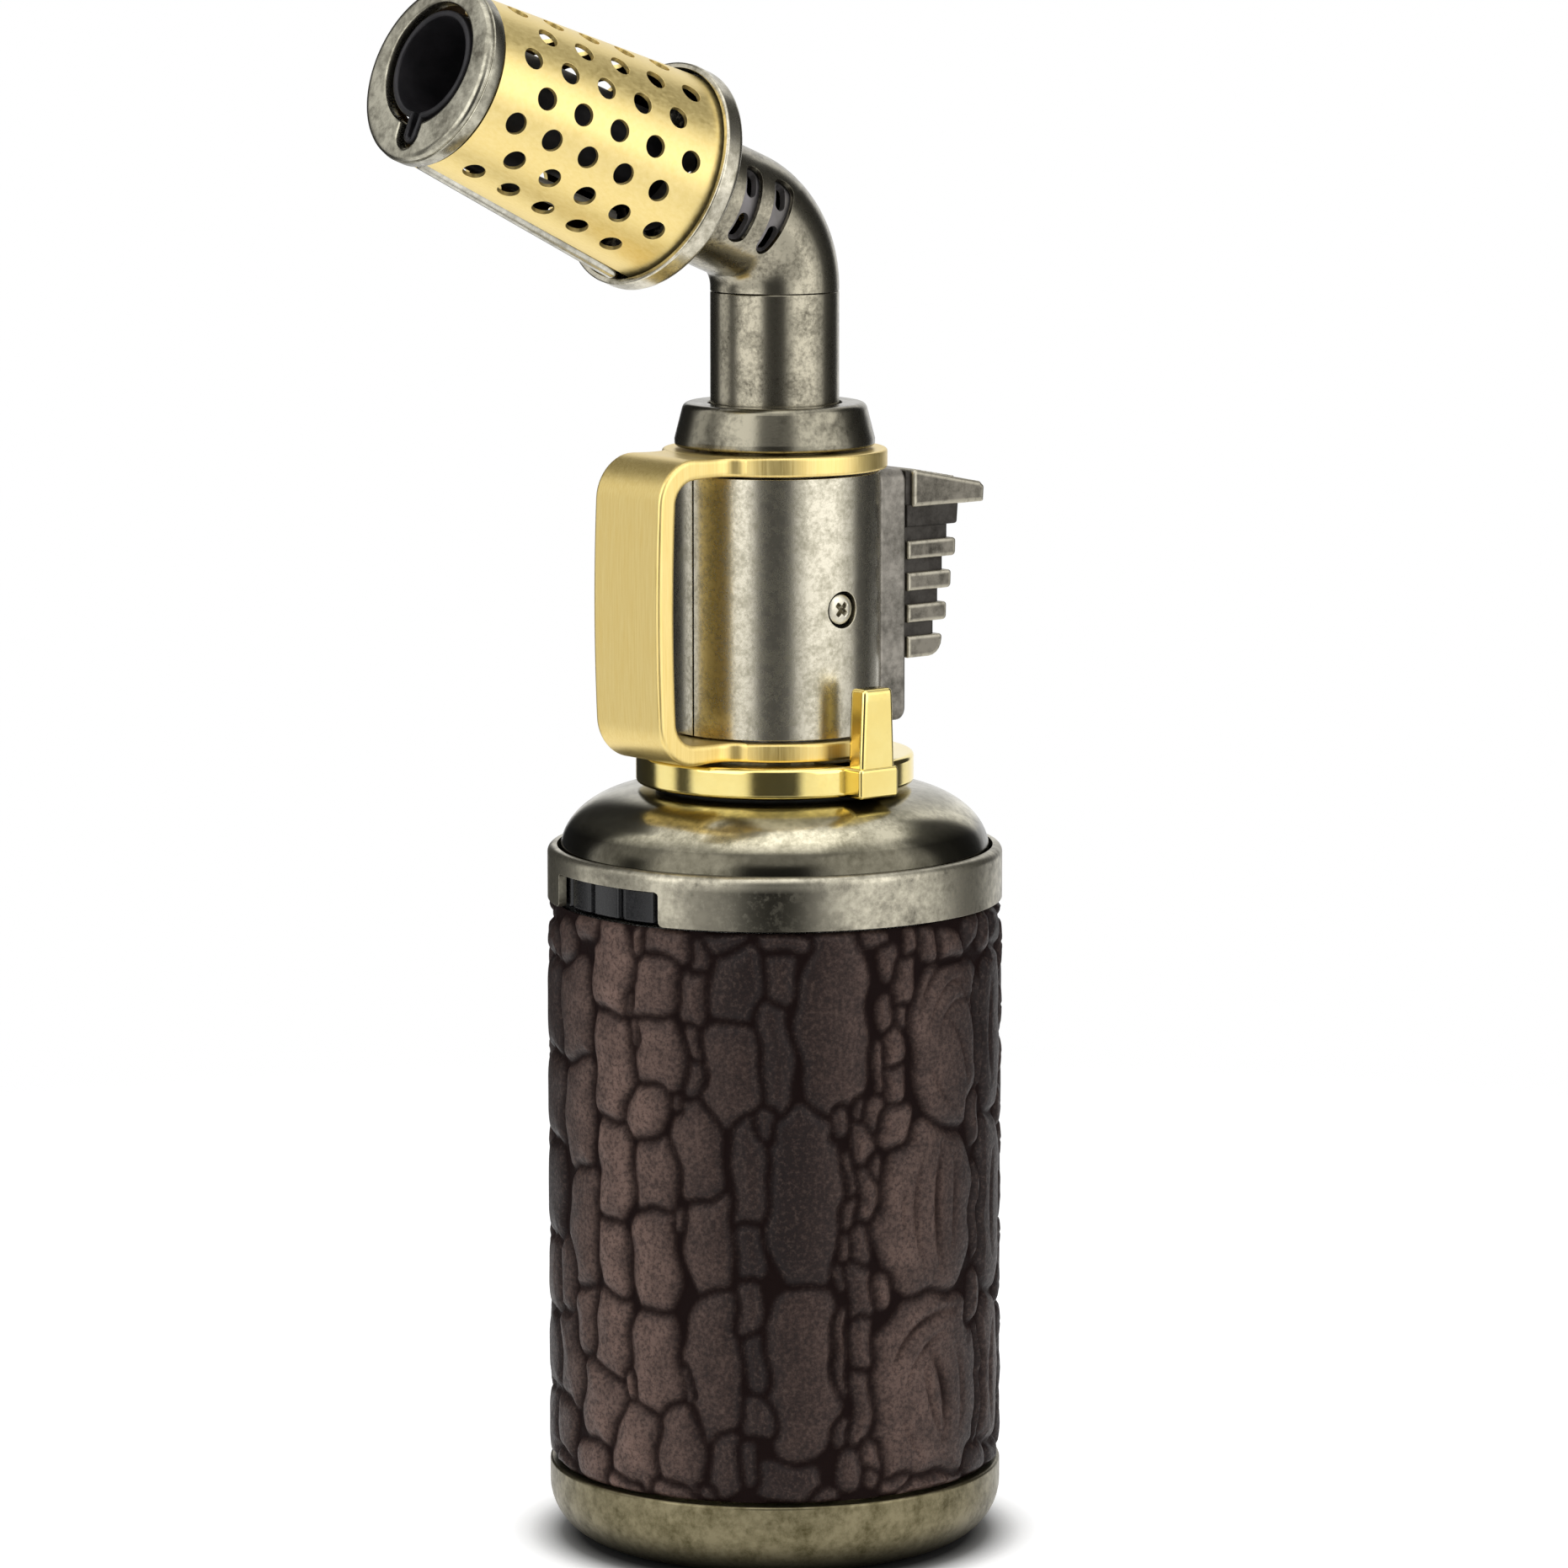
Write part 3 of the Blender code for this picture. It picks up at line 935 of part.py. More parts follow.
def make_slide():
    corner = PLATE_CORNER
    plate_low = HOUSING_BOTTOM
    plate_high = HOUSING_TOP - FIT
    plate = flat("slide_plate", [[
        (-PLATE_INNER, plate_high),
        *arc(-PLATE_OUTER + corner, plate_high - corner, corner, QUARTER, 2 * QUARTER),
        *arc(-PLATE_OUTER + corner, plate_low + corner, corner, 2 * QUARTER, 3 * QUARTER),
        (-PLATE_INNER, plate_low)]], PLATE_WIDTH, "antique_silver", rotation=UPRIGHT)
    gap = STEM_WIDTH / 2 + FIT
    cut(plate, block("stem_slot", (-PLATE_OUTER - OVERRUN, -gap, CARRIAGE_BOTTOM - SLIDE_TRAVEL - FIT),
                     (-PLATE_INNER + OVERRUN, gap, CARRIAGE_BOTTOM + CARRIAGE_HEIGHT + FIT)))

    rider = frame("slide_rider", (-SLIDE_BACK, 0, CARRIAGE_BOTTOM))
    top = SLIDE_TOP - CARRIAGE_BOTTOM
    shelf = top - SLIDE_SHELF_SLOPE - SLIDE_SHELF_TIP
    outline = [(0, top),
               (-SLIDE_SHELF_REACH + SLIDE_SHELF_CORNER, top - SLIDE_SHELF_SLOPE),
               (-SLIDE_SHELF_REACH, top - SLIDE_SHELF_SLOPE - SLIDE_SHELF_CORNER),
               (-SLIDE_SHELF_REACH, shelf), (-SLIDE_STEP_REACH, shelf),
               (-SLIDE_STEP_REACH, shelf - SLIDE_STEP_HEIGHT)]
    height = shelf - SLIDE_STEP_HEIGHT
    reach = SLIDE_STEP_REACH - SLIDE_RIB_FALL
    for _ in range(SLIDE_RIB_COUNT):
        outline += [(-reach + SLIDE_RIB_DEPTH, height), (-reach + SLIDE_RIB_DEPTH, height - SLIDE_RIB_GAP),
                    (-reach, height - SLIDE_RIB_GAP), (-reach, height - SLIDE_RIB_GAP - SLIDE_RIB_HEIGHT)]
        height -= SLIDE_RIB_GAP + SLIDE_RIB_HEIGHT
        reach -= SLIDE_RIB_FALL
    outline.pop()
    lowest = reach + SLIDE_RIB_FALL
    outline += arc(-lowest + SLIDE_HEEL, height, SLIDE_HEEL, 2 * QUARTER, 3 * QUARTER,
                   tall=SLIDE_RIB_GAP / 2)
    outline.append((0, height - SLIDE_RIB_GAP / 2))
    thumb = flat("thumb_slide", [outline], PLATE_WIDTH, "antique_silver", rotation=UPRIGHT,
                 parent=rider)
    cut(thumb, block("stem_pocket", (-STEM_POCKET - FIT, -gap, -FIT), (OVERRUN, gap, CARRIAGE_HEIGHT + FIT),
                     parent=rider))

    inner_face = SLIDE_BACK - PLATE_INNER + FIT
    back = SLIDE_BACK + PIEZO_OFFSET + PIEZO_WIDTH / 2 - PIEZO_WALL
    leg_start = SLIDE_BACK - LEVER_PIVOT_OFFSET - LEVER_ARM
    carriage = block("slide_carriage", (inner_face, -CARRIAGE_WIDTH / 2, 0),
                     (back, CARRIAGE_WIDTH / 2, CARRIAGE_HEIGHT), "black_plastic", parent=rider)
    join(carriage, block("carriage_stem", (-STEM_POCKET, -STEM_WIDTH / 2, 0),
                         (inner_face + OVERRUN, STEM_WIDTH / 2, CARRIAGE_HEIGHT), parent=rider))
    join(carriage, block("carriage_leg", (leg_start - LEG_THICKNESS / 2, -LEG_WIDTH / 2,
                                          LEG_BOTTOM - CARRIAGE_BOTTOM),
                         (leg_start + LEG_THICKNESS / 2, LEG_WIDTH / 2, BITE), parent=rider))


def make_piezo():
    half = PIEZO_WIDTH / 2
    bore = half - PIEZO_WALL
    body = block("piezo_body", (-half, -half, 0), (half, half, PIEZO_HEIGHT), "black_plastic",
                 location=(PIEZO_OFFSET, 0, PIEZO_BOTTOM))
    cut(body, block("piezo_bore", (-bore, -bore, PIEZO_FLOOR), (bore, bore, PIEZO_HEIGHT + OVERRUN),
                    location=(PIEZO_OFFSET, 0, PIEZO_BOTTOM)))
    grip = bore - FIT
    block("piezo_plunger", (-grip, -grip, 0), (grip, grip, PLUNGER_LENGTH), "white_plastic",
          location=(PIEZO_OFFSET, 0, PLUNGER_BOTTOM))
    spring_bottom = PIEZO_BOTTOM + PIEZO_FLOOR + FIT
    turned("piezo_spring", tube_outline(grip - SPRING_WALL, grip, PLUNGER_BOTTOM - FIT - spring_bottom),
           "bright_steel", steps=SMALL_STEPS, location=(PIEZO_OFFSET, 0, spring_bottom))


def bend_point(distance, off_centre=0.0, sideways=0.0):
    """A point on the neck tube and elbow: so far along their middle line from the elbow's foot,
    so far off it towards the inside of the bend, and so far sideways, along +Y."""
    bend = QUARTER - HEAD_TILT
    tangent = BEND_RADIUS * math.tan(bend / 2)
    straight = ELBOW_RISE - tangent
    if distance <= straight:
        middle, angle = Vector((0, 0, ELBOW_BOTTOM + distance)), 0
    else:
        angle = min((distance - straight) / BEND_RADIUS, bend)
        middle = Vector((BEND_RADIUS * (1 - math.cos(angle)), 0,
                         ELBOW_BOTTOM + straight + BEND_RADIUS * math.sin(angle)))
        along = Vector((math.sin(angle), 0, math.cos(angle)))
        middle += along * max(distance - straight - BEND_RADIUS * bend, 0)
    inwards = Vector((math.cos(angle), 0, -math.sin(angle)))
    return middle + inwards * off_centre + Vector((0, sideways, 0))


def bend_length():
    """Distance along the middle line from the elbow's foot to where the bend ends."""
    bend = QUARTER - HEAD_TILT
    return ELBOW_RISE - BEND_RADIUS * math.tan(bend / 2) + BEND_RADIUS * bend


def elbow_route(overrun):
    straight = ELBOW_RISE - BEND_RADIUS * math.tan((QUARTER - HEAD_TILT) / 2)
    steps = 2 * ARC_STEPS
    bend = bend_length()
    distances = [-overrun, *(straight + (bend - straight) * index / steps for index in range(steps + 1)),
                 bend + socket_reach() + overrun]
    return [bend_point(distance) for distance in distances]


def socket_reach():
    """Straight length of the elbow's socket beyond the bend."""
    return SOCKET_LENGTH - BEND_RADIUS * math.tan((QUARTER - HEAD_TILT) / 2)


def make_neck():
    collar = [*arc(COLLAR_TOP_RADIUS - COLLAR_ROUND, COLLAR_HEIGHT - COLLAR_ROUND, COLLAR_ROUND, QUARTER, 0),
              (COLLAR_RADIUS, COLLAR_LIP), (COLLAR_RADIUS, 0), (TUBE_BORE, 0), (TUBE_BORE, COLLAR_HEIGHT)]
    turned("collar", collar, "antique_silver", location=(0, 0, COLLAR_BOTTOM))
    turned("neck_tube", tube_outline(TUBE_RADIUS - TUBE_WALL, TUBE_RADIUS, NECK_TUBE_TOP - NECK_TUBE_BOTTOM),
           "antique_silver", location=(0, 0, NECK_TUBE_BOTTOM))


def make_elbow(head):
    elbow = swept("elbow", elbow_route(0), TUBE_RADIUS, "antique_silver", sides=ELBOW_SIDES)
    for index, distance in enumerate(AIR_SLOT_PLACES):
        for name, side in SIDES:
            cut(elbow, flat(f"air_slot_{index + 1}_{name}", [sector(
                AIR_TUBE_OUTER, TUBE_RADIUS + OVERRUN, AIR_SLOT_HALF_ANGLE, side * QUARTER)],
                AIR_SLOT_WIDTH, parent=head, location=(0, 0, distance)))
    cut(elbow, swept("elbow_bore", elbow_route(OVERRUN), TUBE_RADIUS - ELBOW_WALL, sides=ELBOW_SIDES))


def make_air_tube(head):
    length = AIR_TUBE_END - AIR_TUBE_START
    tube = turned("air_tube", [
        (AIR_TUBE_OUTER, length), (AIR_TUBE_OUTER, 0), (JET_RADIUS + FIT, 0),
        (JET_RADIUS + FIT, AIR_TUBE_BACK), (AIR_TUBE_INNER, AIR_TUBE_BACK), (AIR_TUBE_INNER, length)],
        "heat_black_steel", steps=ELBOW_SIDES, parent=head, location=(0, 0, AIR_TUBE_START))
    stretch = AIR_HOLE_LENGTH / AIR_HOLE_WIDTH
    reach = AIR_TUBE_WALL + 2 * OVERRUN
    for row, distance in enumerate(AIR_SLOT_PLACES):
        for name, side in SIDES:
            for number, turn in ((1, -AIR_HOLE_ANGLE), (2, AIR_HOLE_ANGLE)):
                angle = side * QUARTER + turn
                hole = rod(f"air_hole_{row + 1}_{name}_{number}", AIR_HOLE_WIDTH / 2, reach,
                           steps=HOLE_STEPS, bottom=AIR_TUBE_INNER - OVERRUN, parent=head,
                           location=(0, 0, distance), rotation=(0, QUARTER, angle))
                for vertex in hole.data.vertices:
                    vertex.co.y *= stretch
                cut(tube, hole)
    wire_hole = rod("wire_hole", WIRE_RADIUS + FIT, AIR_TUBE_BACK + 2 * OVERRUN, steps=HOLE_STEPS,
                    bottom=-OVERRUN, parent=head, location=(WIRE_IN_ELBOW, 0, AIR_TUBE_START))
    window = block("wire_window", (AIR_TUBE_INNER - OVERRUN, -WIRE_WINDOW_WIDTH / 2, WIRE_WINDOW_START),
                   (AIR_TUBE_OUTER + OVERRUN, WIRE_WINDOW_WIDTH / 2, AIR_TUBE_END + OVERRUN), parent=head)
    cut(tube, wire_hole, window)
    flange = -FIT - JET_FLANGE_HEIGHT
    turned("gas_jet", [
        (JET_RADIUS, JET_LENGTH), (JET_RADIUS, -FIT), (JET_FLANGE_RADIUS, -FIT), (JET_FLANGE_RADIUS, flange),
        (JET_BORE, flange), (JET_BORE, JET_LENGTH)], "machined_brass", steps=SMALL_STEPS,
        parent=head, location=(0, 0, AIR_TUBE_START))


def shield_radius(distance):
    """Outer radius of the conical shield at a distance along the head's axis."""
    share = (distance - SHIELD_START) / (SHIELD_END - SHIELD_START)
    return SHIELD_REAR_RADIUS + (SHIELD_FRONT_RADIUS - SHIELD_REAR_RADIUS) * share


def make_shield(head):
    length = CUP_BACK + CUP_RIM_DEPTH
    turned("rear_cup", [
        (CUP_RADIUS - CUP_RIM_WALL, length),
        *arc(CUP_RADIUS - CUP_ROUND, length - CUP_ROUND, CUP_ROUND, QUARTER, 0, SHORT_ARC_STEPS),
        *arc(CUP_RADIUS - CUP_ROUND, CUP_ROUND, CUP_ROUND, 0, -QUARTER, SHORT_ARC_STEPS),
        (AIR_TUBE_OUTER + FIT, 0), (AIR_TUBE_OUTER + FIT, CUP_BACK),
        (CUP_RADIUS - CUP_RIM_WALL, CUP_BACK)], "antique_silver", steps=HEAD_STEPS,
        parent=head, location=(0, 0, CUP_START))
    shield = turned("perforated_shield", [
        (SHIELD_FRONT_RADIUS, SHIELD_END), (SHIELD_REAR_RADIUS, SHIELD_START),
        (SHIELD_REAR_RADIUS - SHIELD_WALL, SHIELD_START), (SHIELD_FRONT_RADIUS - SHIELD_WALL, SHIELD_END)],
        "satin_brass", steps=HEAD_STEPS, parent=head)
    cut(shield, block("shield_seam", (OVERRUN, -RAIL_GAP_WIDTH / 2, SHIELD_START - OVERRUN),
                      (SHIELD_REAR_RADIUS + OVERRUN, RAIL_GAP_WIDTH / 2, SHIELD_END + OVERRUN), parent=head))
    drill = bmesh.new()
    reach = SHIELD_WALL + 2 * OVERRUN
    for line in range(-SHIELD_LINES_TO_A_SIDE, SHIELD_LINES_TO_A_SIDE + 1):
        angle = math.pi + SHIELD_LINE_TURN - line * SHIELD_LINE_ANGLE
        stagger = SHIELD_HOLE_PITCH / 2 * (line % 2)
        for hole in range(SHIELD_HOLES_IN_LINE):
            distance = SHIELD_FIRST_HOLE + stagger + hole * SHIELD_HOLE_PITCH
            matrix = (Matrix.Translation((0, 0, distance)) @ Matrix.Rotation(angle, 4, "Z")
                      @ Matrix.Rotation(QUARTER, 4, "Y")
                      @ Matrix.Translation((0, 0, shield_radius(distance) + OVERRUN - reach / 2)))
            bmesh.ops.create_cone(
                drill, cap_ends=True, segments=SHIELD_HOLE_STEPS, radius1=SHIELD_HOLE_RADIUS,
                radius2=SHIELD_HOLE_RADIUS, depth=reach, matrix=matrix)
    mesh = bpy.data.meshes.new("shield_drills")
    drill.to_mesh(mesh)
    drill.free()
    cut(shield, place("shield_drills", mesh, parent=head))
    rail_start = CUP_END + FIT
    rail_end = BEZEL_START - FIT
    swept("wire_rail", [(shield_radius(rail_start) - RAIL_SINK_REAR, 0, rail_start),
                        (shield_radius(rail_end) - RAIL_SINK_FRONT, 0, rail_end)],
          RAIL_RADIUS, "bright_steel", parent=head)


def groove_outline(width, reach):
    """A round-ended slot that runs from the head's axis towards the rail."""
    half = width / 2
    return [(0, -half), *arc(reach - half, 0, half, -QUARTER, QUARTER, LONG_ARC_STEPS), (0, half)]


def make_burner(head):
    spigot = SHIELD_FRONT_RADIUS - SHIELD_WALL - FIT
    face = BEZEL_LENGTH - BEZEL_FACE
    bezel = turned("front_bezel", [
        (0, BEZEL_LENGTH),
        *arc(BEZEL_RADIUS - BEZEL_ROUND, BEZEL_LENGTH - BEZEL_ROUND, BEZEL_ROUND, QUARTER, 0,
             SHORT_ARC_STEPS),
        (BEZEL_RADIUS, 0), (spigot, 0), (spigot, -BEZEL_SPIGOT), (spigot - BEZEL_SPIGOT_WALL, -BEZEL_SPIGOT),
        (spigot - BEZEL_SPIGOT_WALL, face), (0, face)], "antique_silver", closed=False,
        steps=HEAD_STEPS, parent=head, location=(0, 0, BEZEL_START))
    mouth = rod("mouth", MOUTH_RADIUS, BEZEL_FACE + 2 * OVERRUN, steps=COLUMN_STEPS, bottom=-OVERRUN,
                parent=head, location=(-MOUTH_OFFSET, 0, BEZEL_START + face))
    depth = BEZEL_LENGTH + BEZEL_SPIGOT + 2 * OVERRUN
    notch = flat("keyhole", [groove_outline(KEYHOLE_WIDTH, KEYHOLE_REACH)], depth, parent=head,
                 location=(0, 0, BEZEL_END + OVERRUN - depth / 2))
    seat = block("rail_seat", (0, -RAIL_GAP_WIDTH / 2, BEZEL_START - BEZEL_SPIGOT - OVERRUN),
                 (SHIELD_FRONT_RADIUS + RAIL_RADIUS, RAIL_GAP_WIDTH / 2, BEZEL_START + FIT / 2), parent=head)
    cut(bezel, mouth, notch, seat)

    inner = BURNER_RADIUS - BURNER_WALL
    tube = turned("burner_tube", [
        (BURNER_RADIUS, BURNER_END - BURNER_START), (BURNER_RADIUS, BURNER_FLANGE),
        (BURNER_FLANGE_RADIUS, BURNER_FLANGE), (BURNER_FLANGE_RADIUS, 0), (inner, 0),
        (inner, BURNER_END - BURNER_START)], "heat_black_steel", steps=ELBOW_SIDES,
        parent=head, location=(-MOUTH_OFFSET, 0, BURNER_START))
    length = BURNER_END - CHANNEL_START
    bulge = groove_outline(CHANNEL_WIDTH, CHANNEL_REACH)
    bulge = [(max(across, inner - MOUTH_OFFSET - BITE), along) for across, along in bulge]
    join(tube, flat("burner_bulge", [bulge], length, parent=head,
                    location=(0, 0, CHANNEL_START + length / 2)))
    channel = groove_outline(CHANNEL_WIDTH - 2 * BURNER_WALL, CHANNEL_REACH - BURNER_WALL)
    cut(tube, flat("burner_channel", [channel], length + 2 * OVERRUN, parent=head,
                   location=(0, 0, CHANNEL_START + length / 2)))
    radius = inner - FIT
    diffuser = rod("flame_diffuser", radius, DIFFUSER_THICKNESS, "white_ceramic", steps=ELBOW_SIDES,
                   parent=head, location=(-MOUTH_OFFSET, 0, DIFFUSER_PLACE))
    circle = radius * DIFFUSER_CIRCLE_SHARE
    depth = DIFFUSER_THICKNESS + 2 * OVERRUN
    for index in range(DIFFUSER_HOLES):
        angle = 2 * math.pi * index / DIFFUSER_HOLES
        spot = (circle * math.cos(angle) - MOUTH_OFFSET, circle * math.sin(angle), DIFFUSER_PLACE)
        cut(diffuser, rod(f"diffuser_hole_{index + 1}", DIFFUSER_HOLE_RADIUS, depth, steps=HOLE_STEPS,
                          bottom=-OVERRUN, parent=head, location=spot))

    turned("electrode_insulator", tube_outline(INSULATOR_BORE, INSULATOR_RADIUS,
                                               CHANNEL_START - FIT - INSULATOR_START),
           "white_ceramic", steps=SMALL_STEPS, parent=head, location=(INSULATOR_PLACE, 0, INSULATOR_START))
    rod("electrode", ELECTRODE_RADIUS, BURNER_END - ELECTRODE_INSET - INSULATOR_START, "bright_steel",
        steps=HOLE_STEPS, parent=head, location=(INSULATOR_PLACE, 0, INSULATOR_START))


def make_lines():
    """The gas tube from the outlet valve to the jet, and the wire from the igniter to the electrode."""
    start = STEM_TOP + STEM_LIFT + 2 * FIT
    bend = bend_length()
    jet_end = AIR_TUBE_START - FIT - JET_FLANGE_HEIGHT - 2 * FIT
    tilt = Vector((math.cos(HEAD_TILT), 0, math.sin(HEAD_TILT)))
    middle = Vector((0, 0, HEAD_HEIGHT))
    gas = [(0, 0, start), (0, 0, start + ROUTE_STUB), (0, SIDE_ROUTE / 2, start + GAS_RISE),
           (0, SIDE_ROUTE, start + 2 * GAS_RISE), (0, SIDE_ROUTE, CARRIAGE_BOTTOM),
           (0, SIDE_ROUTE, CROWN_TOP), (0, SIDE_ROUTE / 2, ELBOW_BOTTOM - 2 * ROUTE_RISE),
           (0, 0, ELBOW_BOTTOM - ROUTE_RISE / 2),
           bend_point(bend / 4), middle + tilt * (jet_end - GAS_TUBE_RADIUS), middle + tilt * jet_end]
    swept("gas_tube", smooth_route(gas, ROUTE_STEPS), GAS_TUBE_RADIUS, "black_rubber")
    half = PIEZO_WIDTH / 2
    low = PIEZO_BOTTOM + PIEZO_FLOOR + PIEZO_WALL
    down = Vector((math.sin(HEAD_TILT), 0, -math.cos(HEAD_TILT)))
    wire = [(PIEZO_OFFSET, -half - FIT, low), (PIEZO_OFFSET, -half - ROUTE_STUB - FIT, low + ROUTE_STUB),
            (PIEZO_OFFSET / 2, -SIDE_ROUTE - FIT, low + 2 * ROUTE_RISE), (0, -SIDE_ROUTE, CARRIAGE_BOTTOM),
            (0, -SIDE_ROUTE, CROWN_TOP), (0, -SIDE_ROUTE, COLLAR_TOP),
            (WIRE_IN_ELBOW * WIRE_CROSSING_SHARE, -SIDE_ROUTE * WIRE_CROSSING_SHARE,
             ELBOW_BOTTOM - ROUTE_RISE),
            bend_point(0, WIRE_IN_ELBOW), bend_point(bend / 2, WIRE_IN_ELBOW),
            middle + tilt * (AIR_TUBE_START - FIT) + down * WIRE_IN_ELBOW,
            middle + tilt * WIRE_WINDOW_START + down * WIRE_IN_ELBOW,
            middle + (tilt * (WIRE_WINDOW_START + AIR_TUBE_END)
                      + down * (AIR_TUBE_INNER + AIR_TUBE_OUTER)) / 2,
            middle + tilt * AIR_TUBE_END + down * (AIR_TUBE_OUTER + INSULATOR_PLACE + WIRE_RADIUS) / 2,
            middle + tilt * (INSULATOR_START - FIT) + down * INSULATOR_PLACE]
    swept("ignition_wire", smooth_route(wire, ROUTE_STEPS), WIRE_RADIUS, "black_rubber")


HEAD = frame("head_axis", (0, 0, HEAD_HEIGHT), (0, QUARTER - HEAD_TILT, 0))
make_body()
make_refill_valve()
make_shoulder()
make_chassis()
make_outlet_valve()
make_lever()
make_flame_ring()
make_guard()
make_housing()
make_slide()
make_piezo()
make_neck()
make_elbow(HEAD)
make_air_tube(HEAD)
make_shield(HEAD)
make_burner(HEAD)
make_lines()
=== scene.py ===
"""Looks of the butane torch lighter: smooth metal pieces, embossed leather, materials, light and camera.

Lengths are in millimetres up to new_piece(), which turns them into metres. The body's axis is Z, the
nozzle points to +X, and the flame lever stands on the +Y side.
"""
import json
import math

import bmesh
import bpy
import numpy as np
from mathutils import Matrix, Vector


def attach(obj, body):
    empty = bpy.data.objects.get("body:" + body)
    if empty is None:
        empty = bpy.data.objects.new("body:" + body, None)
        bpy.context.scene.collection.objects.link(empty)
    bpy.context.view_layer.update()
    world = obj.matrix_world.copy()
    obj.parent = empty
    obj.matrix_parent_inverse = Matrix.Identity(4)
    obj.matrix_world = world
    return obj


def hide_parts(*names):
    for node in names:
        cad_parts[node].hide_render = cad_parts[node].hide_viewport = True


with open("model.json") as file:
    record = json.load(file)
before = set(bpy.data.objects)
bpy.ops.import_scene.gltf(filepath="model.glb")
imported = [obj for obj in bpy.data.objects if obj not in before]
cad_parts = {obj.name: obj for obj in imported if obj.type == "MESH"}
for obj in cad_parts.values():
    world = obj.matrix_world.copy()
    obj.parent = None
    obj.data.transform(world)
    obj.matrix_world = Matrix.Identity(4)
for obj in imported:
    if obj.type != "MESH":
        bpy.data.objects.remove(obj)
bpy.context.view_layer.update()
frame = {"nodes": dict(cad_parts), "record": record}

nodes = frame["nodes"]
MM = 0.001
SAME_PLACE, NO_LENGTH = 2e-6, 1e-7     # metres: closer points are one, and shorter edges go
BEVEL_CORNER, BEVEL_STEPS = math.radians(50), 2
FINE_STEPS = 192                       # points round the large turned pieces

# ---------------------------------------------------------------- sizes, in mm
BODY_RADIUS = 24.9
LEATHER_RADIUS = 25.0
LEATHER_WALL = 1.1
BASE_TOP = 8.5
BASE_CORNER = 6.0
BASE_FLOOR = 2.2
LEATHER_LOW, LEATHER_HIGH = 8.8, 70.8
BAND_LOW, BAND_HIGH = 71.1, 76.9
WINDOW_HALF, WINDOW_TOP = math.radians(20), 74.8
DOME_TOP = 83.3
RING_LOW, RING_HIGH = 83.8, 87.1
GUARD_LOW, GUARD_HIGH = 87.4, 120.3
HOUSING_LOW, HOUSING_HIGH = 89.7, 117.9
HOUSING_RADIUS = 11.5
HOUSING_WALL = 1.2
SCREW_HEIGHT = 103.6
COLLAR_LOW, COLLAR_HIGH = 120.6, 125.3
TUBE_RADIUS = 7.0
NECK_BORE = 10.3
TUBE_BORE = 7.3
NECK_LOW, NECK_HIGH = 113.8, 137.35
ELBOW_LOW = 137.65
ELBOW_SEAM = 137.43                    # the visible seam above the neck is a hairline
ELBOW_WALL = 0.5
BEND_RADIUS = 8.7
HEAD_HEIGHT = 143.7
HEAD_TILT = math.radians(21.5)
SOCKET_END = 16.3
SHIELD_REAR, SHIELD_FRONT = 17.9, 47.9
SHIELD_REAR_RADIUS, SHIELD_FRONT_RADIUS = 11.55, 9.45
MOUTH_OFFSET = 0.9
BEZEL_RADIUS = 9.75
SEAM_HALF, PLATE_HALF = 0.12, 5.9      # half the housing's gaps, at the seam and behind the plate


# ---------------------------------------------------------------- shapes
def grid_faces(rows, columns, closed_rows=False, closed_columns=False):
    """Squares between the neighbours of a grid of points; a closed direction joins its end to its start."""
    i = np.arange(rows if closed_rows else rows - 1)[:, None]
    j = np.arange(columns if closed_columns else columns - 1)[None, :]
    near, far, left, right = i % rows, (i + 1) % rows, j % columns, (j + 1) % columns
    return np.stack([near * columns + left, near * columns + right,
                     far * columns + right, far * columns + left], -1).reshape(-1, 4)


def weld(mesh):
    """Merges points that lie on each other and turns the faces outwards."""
    work = bmesh.new()
    work.from_mesh(mesh)
    bmesh.ops.remove_doubles(work, verts=work.verts, dist=SAME_PLACE)
    bmesh.ops.dissolve_degenerate(work, edges=work.edges, dist=NO_LENGTH)
    bmesh.ops.recalc_face_normals(work, faces=work.faces)
    middle = sum((v.co for v in work.verts), Vector()) / len(work.verts)
    outwards = sum(f.calc_area() * f.normal.dot(f.calc_center_median() - middle) for f in work.faces)
    if outwards < 0:
        bmesh.ops.reverse_faces(work, faces=work.faces)
    work.to_mesh(mesh)
    work.free()


